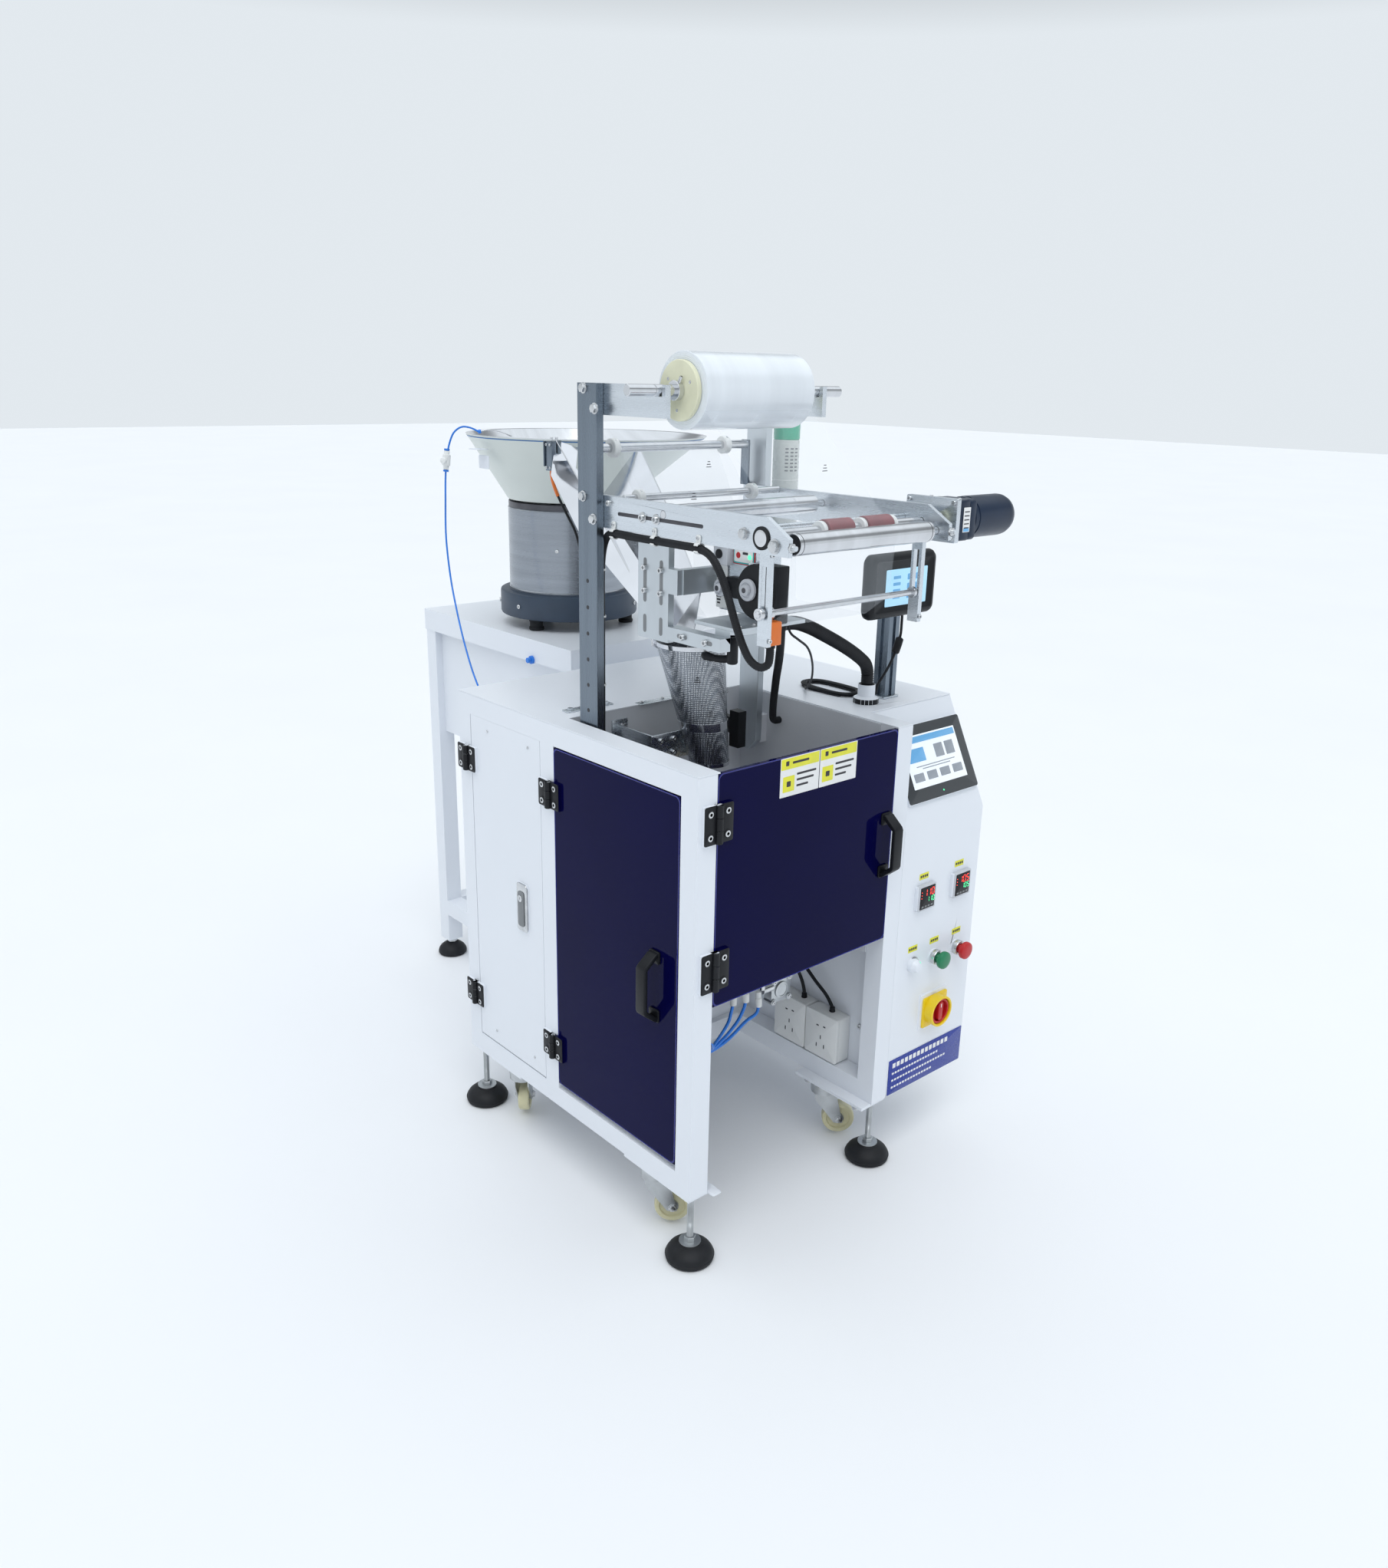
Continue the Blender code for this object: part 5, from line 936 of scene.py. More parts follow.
def makeLowerBay():
    # two wall sockets standing on the right-hand rail, their leads, the air cylinder and its blue tubes
    bay = {"face": 0.4705, "back": 0.5095, "sockets": ((0.1005, 0.1860), (0.1885, 0.2740)), "z": (0.1775, 0.2740)}
    white, dark = [], []
    z0, z1 = bay["z"]
    for y0, y1 in bay["sockets"]:
        y, z, tall = (y0 + y1) / 2, (z0 + z1) / 2, z1 - z0
        white.append(plate((bay["back"], y, z), -yAxis, zAxis, 0.0845, tall, 0.0300, 0.003, 0.0012))
        white.append(plate((bay["back"] - 0.0302, y, z), -yAxis, zAxis, 0.0855, tall + 0.001, 0.0085, 0.004, 0.0015))
        front = bay["face"] + 0.0002
        for dy, dz, w, t in ((-0.009, 0.022, 0.0062, 0.0030), (0.009, 0.020, 0.0062, 0.0030),
                             (0.0, -0.004, 0.0022, 0.0085),
                             (-0.010, -0.022, 0.0024, 0.0085), (0.010, -0.024, 0.0024, 0.0085)):
            dark.append(plate((front, y + dy, z + dz), -yAxis, zAxis, w, t, 0.0003, 0.0008, 0.00005, 2))
    addPiece("wallSockets", [(white, whitePlastic), (dark, inkGrey)], "machine")
    leads = [[(0.5060, 0.222, 0.432), (0.4960, 0.222, 0.420), (0.4880, 0.2205, 0.396), (0.4860, 0.2150, 0.360),
              (0.4900, 0.1880, 0.330),
              (0.4940, 0.1560, 0.305), (0.4950, 0.1390, 0.285), (0.4950, 0.1370, 0.2745)],
             [(0.5060, 0.250, 0.438), (0.4960, 0.250, 0.428), (0.4880, 0.2480, 0.402), (0.4860, 0.2430, 0.370),
              (0.4900, 0.2340, 0.336),
              (0.4940, 0.2220, 0.308), (0.4950, 0.2160, 0.288), (0.4950, 0.2150, 0.2745)]]
    for k, route in enumerate(leads):
        line, length = smoothPath(route, 0.004)
        piece = addPiece(f"socketLead_{k}", (tube(line, 0.0036, 10), blackRubber), "machine", sharp=80)
        gland = turned([(0.0038, -0.0100), (0.0054, -0.0092), (0.0054, -0.0030), (0.0060, -0.0020), (0.0060, 0.0000),
                        (0.0040, 0.0005)],
                       line[-1], -zAxis, 24)
        addPiece(f"socketGland_{k}", (gland, blackPlastic), "machine")
    cylinder = {"x": 0.318, "z": 0.392, "y": (0.112, 0.3985), "side": 0.050}
    x, z, (y0, y1) = cylinder["x"], cylinder["z"], cylinder["y"]
    caps = [plate((x, y0 + 0.020, z), xAxis, zAxis, cylinder["side"], cylinder["side"], 0.020, 0.007, 0.0015),
            plate((x, y1, z), xAxis, zAxis, cylinder["side"] + 0.012, cylinder["side"] + 0.012, 0.018, 0.006, 0.0015)]
    barrel = [roundRod((x, y0 + 0.019, z), (x, y1 - 0.016, z), 0.0215, 40),
              turned([(0.0150, 0), (0.0165, 0.0008), (0.0165, 0.0036), (0.0150, 0.0044), (0.0122, 0.0044),
                      (0.0116, 0.0030),
                      (0.0060, 0.0028)], (x, y0 + 0.0002, z), -yAxis, 40)]
    lugs = [roundRod((x + sx * 0.0205, y0 + 0.0195, z + sz * 0.0205), (x + sx * 0.0205, y0 - 0.003, z + sz * 0.0205),
                     0.0062, 20)
            for sx in (-1, 1) for sz in (-1, 1)]
    bolts = [screwHead((x + sx * 0.0205, y0 - 0.0028, z + sz * 0.0205), -yAxis, 0.0036,
                       0.002) for sx in (-1, 1) for sz in (-1, 1)]
    manifold = [plate((0.235, 0.122, 0.432), xAxis, zAxis, 0.150, 0.022, 0.020, 0.003, 0.001),
                roundRod((0.2935, 0.112, 0.405), (0.268, 0.112, 0.405), 0.0075, 24),
                roundRod((0.268, 0.112, 0.4075), (0.268, 0.112, 0.424), 0.006, 24)]
    addPiece("airCylinder",
             [(caps + barrel + lugs, zincPlate), (bolts + manifold[1:], boltSteel), (manifold[:1], whitePlastic)],
             "machine")
    tops = np.array([(0.1840, 0.100, 0.4120), (0.2150, 0.100, 0.4080), (0.2480, 0.100, 0.3880)])
    for k, top in enumerate(tops):
        low = 0.352 - 0.006 * k
        post = np.array((0.0412, 0.010 + 0.010 * k, 0.418 - 0.005 * k))
        route = [post, post + (0.010, 0.002, -0.002), post + (0.026, 0.016, -0.020),
                 (0.086, 0.066 + 0.004 * k, low + 0.020),
                 (0.116 + 0.004 * k, 0.084 + 0.004 * k, low), (0.146 + 0.012 * k, 0.096, low + 0.004 + 0.001 * k),
                 (0.172 + 0.022 * k, 0.100, low + 0.024), (top[0] - 0.0045, 0.100, top[2] - 0.016), top]
        line, length = smoothPath(route, 0.004)
        piece = addPiece(f"baySupply_{k}", (tube(line, 0.0031, 10), tubeBlue), "machine", sharp=80)
        fitting = [turned([(0.0048, -0.0040), (0.0062, -0.0030), (0.0066, 0.0040), (0.0066, 0.0125), (0.0056, 0.0135),
                           (0.0056, 0.0245)],
                          top, zAxis + (0.08, 0.15, 0), 28)]
        addPiece(f"pushFitting_{k}", (fitting, whitePlastic), "machine")
    unions = [roundRod((0.0402, 0.010 + 0.010 * k, 0.418 - 0.005 * k),
                       (0.0470, 0.0105 + 0.010 * k, 0.4175 - 0.005 * k), 0.0048, 20)
              for k in range(3)]
    addPiece("tubeUnions", (unions, blackPlastic), "machine")
    wallScrews = [screwHead((0.5098, y, z), -xAxis, 0.0050, 0.004) for y, z in ((0.075, 0.262), (0.052, 0.245))]
    addPiece("wallScrews", (wallScrews, boltSteel), "machine")


def makeTablet():
    # a rounded black hand terminal on a slotted aluminium post
    tablet = {"x": (0.503, 0.690), "y": (0.112, 0.140), "z": (1.065, 1.184)}
    x, z = sum(tablet["x"]) / 2, sum(tablet["z"]) / 2
    rows = []
    for inset, y in ((0.030, 0.1385), (0.014, 0.1400), (0.006, 0.1385), (0.0012, 0.1330), (0, 0.1260),
                     (0.0012, 0.1200),
                     (0.0045, 0.1150), (0.0095, 0.1125), (0.0125, 0.1120), (0.0145, 0.1140)):
        flat = roundRect(0.0935 - inset, 0.0595 - inset, max(0.016 - inset * 0.6, 0.004), 8)
        rows.append(np.column_stack([x + flat[:, 0], np.full(len(flat), y), z + flat[:, 1]]))
    shell = surface(np.array(rows[::-1]), startCap=True, endCap=True)
    screen = [plate((0.6025, 0.1138, 1.1215), xAxis, zAxis, 0.116, 0.067, 0.0006, 0.002, 0.0002)]
    marks = [plate((0.575, 0.1132, 1.140 - 0.012 * k), xAxis, zAxis, 0.020, 0.0055, 0.0003, 0.001, 0.00005,
                   3) for k in range(4)]
    marks += [plate((0.624, 0.1132, 1.139 - 0.017 * k), xAxis, zAxis, 0.040, 0.011, 0.0003, 0.002, 0.00005,
                    3) for k in range(3)]
    glass = newFinish("tabletGlass", (0.30, 0.55, 0.72), 0.12, tone=0.05, toneScale=20, bump=0,
                      **{"Emission Color": (0.5, 0.8, 1, 1), "Emission Strength": 0.4})
    slots, h = [], 0.015
    outline = [(-h, -h), (-0.004, -h), (-0.004, -h + 0.004), (0.004, -h + 0.004), (0.004, -h), (h, -h), (h, -0.004),
               (h - 0.004, -0.004), (h - 0.004, 0.004), (h, 0.004), (h, h), (0.004, h), (0.004, h - 0.004),
               (-0.004, h - 0.004), (-0.004, h), (-h, h), (-h, 0.004), (-h + 0.004, 0.004), (-h + 0.004, -0.004),
               (-h, -0.004)]
    grid = np.array([[(0.624 + a, 0.1675 + b, height) for a, b in outline] for height in (0.9003, 1.160)])
    slots.append(surface(grid, startCap=True, endCap=True))
    bracket = [plate((0.624, 0.1530, 1.125), xAxis, zAxis, 0.046, 0.058, 0.013, 0.003, 0.001)]
    foot = [plate((0.624, 0.1675, 0.9003), xAxis, yAxis, 0.044, 0.040, 0.0035, 0.003, 0.0005)]
    addPiece("tablet", [(shell, blackPlastic), (screen, glass), (marks, screenBlue), (bracket, blackPlastic)],
             "machine",
             replacing=["tablet"], sharp=50)
    addPiece("tabletPost", [(slots, brushedUpPaintedShade), (foot, brushedAlong)], "machine", sharp=30)
    line, _ = smoothPath([(0.6065, 0.1228, 1.024), (0.5985, 0.1212, 1.009), (0.5925, 0.1216, 0.9955)], 0.001)
    grow = np.minimum(1, np.minimum(np.arange(len(line)), np.arange(len(line))[::-1]) / 3) ** 0.5
    addPiece("ferrite", (tube(line, 0.0030 + 0.0045 * grow, 24), blackPlastic), "machine", sharp=60)
    cap = [(0.0240, 0), (0.0240, 0.0095), (0.0225, 0.0098), (0.0190, 0.0100), (0.0180, 0.012), (0.0165, 0.0135),
           (0.0165, 0.034), (0.0150, 0.0362)]
    addPiece("cableGland", (turned(cap, (0.558, 0.155, 0.9002), zAxis, 44, hexRows=(5, 6)), blackPlastic), "machine")


def makeTower():
    tower = {"x": 0.500, "y": 0.336, "radius": 0.0245}
    at = (tower["x"], tower["y"], 0)
    r = tower["radius"]
    body = turned([(r - 0.006, 1.200), (r - 0.0015, 1.2005), (r, 1.203), (r, 1.3715), (r - 0.001, 1.3725)], at, zAxis,
                  48)
    lens = turned([(r - 0.001, 1.3726), (r + 0.0002, 1.3740), (r + 0.0002, 1.4130), (r - 0.001, 1.4180),
                   (r - 0.005, 1.4199)],
                  at, zAxis, 48)
    slots = []
    for k in range(7):
        for a in (-2.3, -1.9, -1.5):
            out = np.array((math.cos(a), math.sin(a), 0))
            slots.append(plate(np.array((*at[:2], 1.318 + 0.0065 * k)) + out * (r - 0.0004), np.cross(zAxis, out),
                               zAxis,
                               0.0065, 0.0026, 0.0008, 0.0012, 0.0002, 3))
    rings = [turned([(r + 0.0001, z), (r + 0.0006, z + 0.0006), (r + 0.0001, z + 0.0012)], at, zAxis, 48)
             for z in (1.300, 1.3705)]
    arm = [block((0.4497, 0.500), (0.324, 0.348), (1.196, 1.2005), 0.0008),
           block((0.4493, 0.4530), (0.324, 0.348), (1.160, 1.2005), 0.0008)]
    addPiece("signalTower", [(body, towerPlastic), (lens, lensGreen), (slots, greyPlastic), (rings, whitePlastic),
                             (arm, brushedAlong)], "machine", replacing=["signal_tower"])


makeTouchPanel()
makeControllers()
makeButtons()
makeIsolator()
makeNamePlate()
makeLowerBay()
makeTablet()
makeTower()
print("controls made")


# film stand: uprights, plates, rods and rollers

def makeStandBolts():
    hexes, caps, taps = [], [], []
    for y, z in ((0.355, 1.460), (0.325, 1.429), (0.358, 1.289), (0.330, 1.254)):
        hexes.append(screwHead((0.0498, y, z), -xAxis, 0.0072, 0.0062, True))
        caps.append(screwHead((0.4492, y, z), xAxis, 0.0062, 0.0060))
    for k in range(7):
        taps.append(turned([(0.0036, 0), (0.0034, 0.0002), (0.0026, 0.00025)], (0.0499, 0.348, 1.150 - 0.045 * k),
                           -xAxis, 20))
    for y, z in ((0.220, 1.266), (0.186, 1.266)):
        caps.append(screwHead((0.0651, y, z), -xAxis, 0.0058, 0.0056))
        caps.append(turned([(0.0086, 0), (0.0086, 0.0012), (0.0080, 0.0014)], (0.0652, y, z), -xAxis, 28))
    for y, z, r in ((0.307, 1.281, 0.0050),):
        caps.append(screwHead((0.0651, y, z), -xAxis, r, 0.0050))
    for y, z, r in ((-0.0785, 1.2533, 0.0088), (-0.0140, 1.2650, 0.0074)):
        hexes.append(screwHead((0.0651, y, z), -xAxis, r, 0.0060, True))
    for y, z in ((0.340, 1.281), (0.230, 1.281), (0.000, 1.281), (-0.078, 1.276)):
        caps.append(screwHead((0.4340, y, z), xAxis, 0.0050, 0.0045))
    seal = [turned([(0.0170, 0), (0.0170, 0.0016), (0.0158, 0.0024), (0.0124, 0.0022)], (0.0652, -0.0516, 1.2622),
                   -xAxis, 44)]
    ring = [turned([(0.0122, 0.0003), (0.0122, 0.0026), (0.0112, 0.0030), (0.0060, 0.0024)],
                   (0.0652, -0.0516, 1.2622), -xAxis, 40)]
    slots = [plate((0.06515, 0.180, 1.266), -yAxis, zAxis, 0.209, 0.0060, 0.00012, 0.0030, 0.00003, 8)]
    addPiece("standHexBolts", (hexes, boltSteel), "machine")
    addPiece("standCapScrews", [(caps, boltSteel), (taps, inkGrey), (slots, darkSteel)], "machine")
    addPiece("driveBearing", [(ring, groundSteel), (seal, blackRubber)], "machine")
    tips = []
    for x in (0.0692, 0.4298):
        tips.append(threadRod((x, -0.1065, 1.254), (x, -0.1178, 1.254), 0.0040, 0.0012))
        tips.append(turned([(0.0066, 0), (0.0070, 0.0006), (0.0070, 0.0040), (0.0066, 0.0046)], (x, -0.1072, 1.254),
                           -yAxis, 24,
                           hexRows=range(4)))
    addPiece("adjustingScrews", (tips, boltSteel), "machine")


def makeRodsAndRollers():
    rods = {"top": (0.355, 1.365, 0.0075, (0.0653, 0.420)), "upper": (0.280, 1.290, 0.0060, (0.0733, 0.4257))}
    for name, node, wide in (("top", "top_guide_rod", 0.0155), ("upper", "upper_guide_rod", 0.0135)):
        y, z, r, (x0, x1) = rods[name]
        steel = [roundRod((x0, y, z), (x1, y, z), r)]
        collars, pins = [], []
        for c0, c1 in ((0.103, 0.116), (0.354, 0.367)) if name == "top" else ((0.099, 0.111), (0.354, 0.366)):
            collars.append(turned([(r + 0.001, 0), (wide - 0.0012, 0), (wide, 0.0012), (wide, c1 - c0 - 0.0012),
                                   (wide - 0.0012, c1 - c0), (r + 0.001, c1 - c0)], (c0, y, z), xAxis, 40))
            pins.append(turned([(0.0022, 0), (0.0022, 0.0003), (0.0013, 0.0003)],
                               ((c0 + c1) / 2, y - 0.5 * wide, z + 0.866 * wide), (0, -0.5, 0.866), 14))
        parts = [(steel, groundSteel), (collars, whitePlastic), (pins, boltSteel)]
        if name == "top":
            parts.append(([block((0.414, 0.4185), (0.347, 0.367), (1.2933, 1.373), 0.001),
                           block((0.4145, 0.4335), (0.347, 0.367), (1.2933, 1.297), 0.001),
                           screwHead((0.4225, 0.357, 1.297), zAxis, 0.0045, 0.004)], brushedUpPaintedShade))
        addPiece(name + "GuideRod", parts, "machine", replacing=[node])
    y, z = 0.170, 1.275
    big = [turned([(0.0060, 0.0653), (0.0060, 0.080), (0.0142, 0.080), (0.0150, 0.0808), (0.0150, 0.4012),
                   (0.0142, 0.402),
                   (0.0060, 0.402), (0.0060, 0.4337)], (0, y, z), xAxis, 48)]
    addPiece("largeRoller", (big, groundSteel), "large_roller", replacing=["large_roller"])
    y, z = -0.0815, 1.2535
    front = [turned([(0.0060, 0.0653), (0.0060, 0.100), (0.0155, 0.100), (0.0165, 0.101), (0.0165, 0.403),
                     (0.0155, 0.404),
                     (0.0060, 0.404), (0.0060, 0.4337)], (0, y, z), xAxis, 56)]
    grooves = [turned([(0.01655, x), (0.01655, x + 0.0012)], (0, y, z), xAxis, 56) for x in (0.106, 0.397)]
    grooves += [turned([(0.0064, 0.0992), (0.0146, 0.0992), (0.0146, 0.0999)], (0, y, z), xAxis, 48)]
    addPiece("frontRoller", [(front, groundSteel), (grooves, blackRubber)], "front_roller",
             replacing=["front_roller"])
    y, z = -0.050, 1.265
    shaft = [turned([(0.0060, 0.0653), (0.0060, 0.090), (0.0080, 0.090), (0.0080, 0.415), (0.0060, 0.415),
                     (0.0060, 0.478)],
                    (0, y, z), xAxis, 32)]
    sleeves = [turned([(0.0081, a), (0.0156, a), (0.0165, a + 0.001), (0.0165, b - 0.001), (0.0156, b), (0.0081, b)],
                      (0, y, z), xAxis, 48) for a, b in ((0.195, 0.251), (0.284, 0.342))]
    rings = [turned([(0.0081, a), (0.0140, a), (0.0146, a + 0.001), (0.0146, a + 0.007), (0.0140, a + 0.008),
                     (0.0081, a + 0.008)],
                    (0, y, z), xAxis, 40) for a in (0.184, 0.2735, 0.345)]
    addPiece("driveRoll", [(shaft, groundSteel), (sleeves, redSleeve), (rings, whitePlastic)], "drive_roll",
             replacing=["drive_roll"])
    bar = [roundRod((0.060, -0.052, 1.1515), (0.430, -0.052, 1.1515), 0.005, 32)]
    stops = [turned([(0.0052, 0), (0.0088, 0), (0.0092, 0.0005), (0.0092, 0.006), (0.0088, 0.0065), (0.0052, 0.0065)],
                    (x, -0.052, 1.1515), xAxis, 32) for x in (0.0625, 0.0835, 0.4105)]
    addPiece("dancerRod", [(bar, groundSteel), (stops, groundSteel)], "dancer", replacing=["dancer_bar"])


def makeArmTrim():
    # the orange eye on the left arm, a cap screw at each arm's top
    eye = [block((0.0806, 0.1048), (-0.0618, -0.0382), (1.1032, 1.1390), 0.0025)]
    heads = [screwHead((x, -0.0635, z), -yAxis, 0.0036, 0.003) for x in (0.0765, 0.4225) for z in (1.238, 1.112)]
    nut = turned([(0.0076, 0), (0.0084, 0.0008), (0.0084, 0.0060), (0.0076, 0.0068)], (0.0925, -0.050, 1.0975), zAxis,
                 26,
                 hexRows=range(4))
    addPiece("webEye", [(eye, orangePlastic), (heads, boltSteel), (nut, blackPlastic)], "machine")


def makeRoll():
    # film wound on a core: the sides are turned, with fine steps on the ends where the layers show
    roll = {"y": 0.185, "z": 1.460, "radius": 0.059, "core": 0.038, "x": (0.114, 0.350)}
    at = (0, roll["y"], roll["z"])
    x0, x1 = roll["x"]
    r = np.linspace(roll["core"] + 0.0042, roll["radius"] - 0.0012, 26)
    ripple = 0.00035 * np.sin(np.arange(26) * 2.3) + 0.00025 * np.sin(np.arange(26) * 0.9)
    left = np.column_stack([r, x0 + 0.0005 + np.abs(ripple)])
    right = np.column_stack([r, x1 - 0.0005 - np.abs(ripple)])[::-1]
    film = turned(np.vstack([left, [(roll["radius"], x0 + 0.0016)], [(roll["radius"], x1 - 0.0016)], right]), at,
                  xAxis, 96)
    core = turned([(roll["core"] + 0.0044, x0), (roll["core"] + 0.0002, x0 - 0.0001),
                   (roll["core"] + 0.0002, x1 + 0.0001),
                   (roll["core"] + 0.0044, x1)][::-1], at, xAxis, 64)
    addPiece("filmRoll", [(film, filmRollSide), (core, coreBrown)], "roll", replacing=["film_roll"], sharp=50)
    shaft = [turned([(0.0078, 0.004), (0.0090, 0.0052), (0.0090, 0.053), (0.0080, 0.0535), (0.0080, 0.0555),
                     (0.0090, 0.056),
                     (0.0090, 0.4678), (0.0078, 0.469)], at, xAxis, 40)]
    hubs, collars, heads = [], [], []
    for face, way in ((x0 - 0.0003, -1), (x1 + 0.0003, 1)):
        hubs.append(turned([(0.0092, 0), (0.0452, 0), (0.0460, 0.0008), (0.0460, 0.0068), (0.0448, 0.0080),
                            (0.0165, 0.0080),
                            (0.0165, 0.0068), (0.0092, 0.0068)][:-2], (face, *at[1:]), xAxis * way, 64))
        collars.append(turned([(0.0092, 0), (0.0146, 0), (0.0152, 0.0006), (0.0152, 0.0098), (0.0146, 0.0104),
                               (0.0092, 0.0104)],
                              (face + way * 0.0081, *at[1:]), xAxis * way, 40))
        tip = (-0.55, 0.835)
        heads.append(screwHead((face + way * 0.0133, at[1] + tip[0] * 0.0148, at[2] + tip[1] * 0.0148), (0, *tip),
                               0.0030, 0.010))
        for a in (0.6, 2.7, 4.8):
            heads.append(screwHead((face + way * 0.0078, at[1] + 0.030 * math.cos(a), at[2] + 0.030 * math.sin(a)),
                                   xAxis * way,
                                   0.0026, 0.0006))
    addPiece("rollShaft", [(shaft, groundSteel), (hubs, hubCream), (collars, groundSteel), (heads, boltSteel)],
             "roll",
             replacing=["roll_shaft"])


def makeGearmotor():
    motor = {"y": -0.048, "z": 1.265}
    plates = [plate((0.470, -0.034, 1.2655), yAxis, zAxis, 0.106, 0.071, 0.010, 0.003, 0.001)]
    box = [plate((0.4802, -0.048, 1.265), yAxis, zAxis, 0.069, 0.067, 0.030, 0.005, 0.0014),
           plate((0.5104, -0.048, 1.265), yAxis, zAxis, 0.0685, 0.0665, 0.0185, 0.008, 0.0018)]
    shell = [turned([(0.0330, 0.5292), (0.0345, 0.5300), (0.0345, 0.5385), (0.0335, 0.5392), (0.0335, 0.5408),
                     (0.0350, 0.5415),
                     (0.0350, 0.6270), (0.0342, 0.6330), (0.0315, 0.6400), (0.0262, 0.6445), (0.0180, 0.6459),
                     (0.0060, 0.6460)],
                    (0, motor["y"], motor["z"]), xAxis, 64)]
    bores = [turned([(0.0125, 0), (0.0125, 0.0007), (0.0105, 0.0010), (0.0080, 0.0006)], (0.4699, -0.050, 1.265),
                    -xAxis, 32)]
    screws = [screwHead((0.4699, -0.034 + sy * 0.046, 1.2655 + sz * 0.029), -xAxis, 0.0040,
                        0.0035) for sy in (-1, 1) for sz in (-1, 1)]
    screws += [screwHead((0.4875, -0.048 + sy * 0.029, 1.299), zAxis, 0.003, 0.0022) for sy in (-1, 1)]
    posts = [roundRod((0.4343, y, z), (0.471, y, z), 0.005, 24) for y,
             z in ((0.008, 1.250), (0.008, 1.283), (-0.066, 1.248))]
    cards = [plate((0.502, -0.0832, 1.266), xAxis, zAxis, 0.018, 0.040, 0.0003, 0.001, 0.0001),
             plate((0.585, -0.0826, 1.262), xAxis, zAxis, 0.024, 0.030, 0.0002, 0.001, 0.00005)]
    rows = [plate((0.502, -0.0836, 1.279 - 0.0065 * k), xAxis, zAxis, 0.013, 0.0018, 0.0001, 0.0004, 0.00004,
                  2) for k in range(5)]
    # the blue bar on the motor's label uses the screens' glowing blue, so it glows: painted light
    blue = [plate((0.502, -0.0836, 1.2495), xAxis, zAxis, 0.015, 0.005, 0.0001, 0.0008, 0.00004, 2)]
    coupling = [turned([(0.0130, 0.4450), (0.0140, 0.4458), (0.0140, 0.4565), (0.0130, 0.4573)], (0, -0.050, 1.265),
                       xAxis, 40)]
    addPiece("gearmotor", [(plates, brushedAlong), (box + shell, navyPaint), (bores, darkSteel), (screws, boltSteel),
                           (posts, groundSteel), (cards[:1], labelWhite), (rows, inkGrey), (blue, screenBlue)],
             "machine",
             replacing=["gearmotor"])
    addPiece("couplingRing", (coupling, hubCream), "drive_roll")


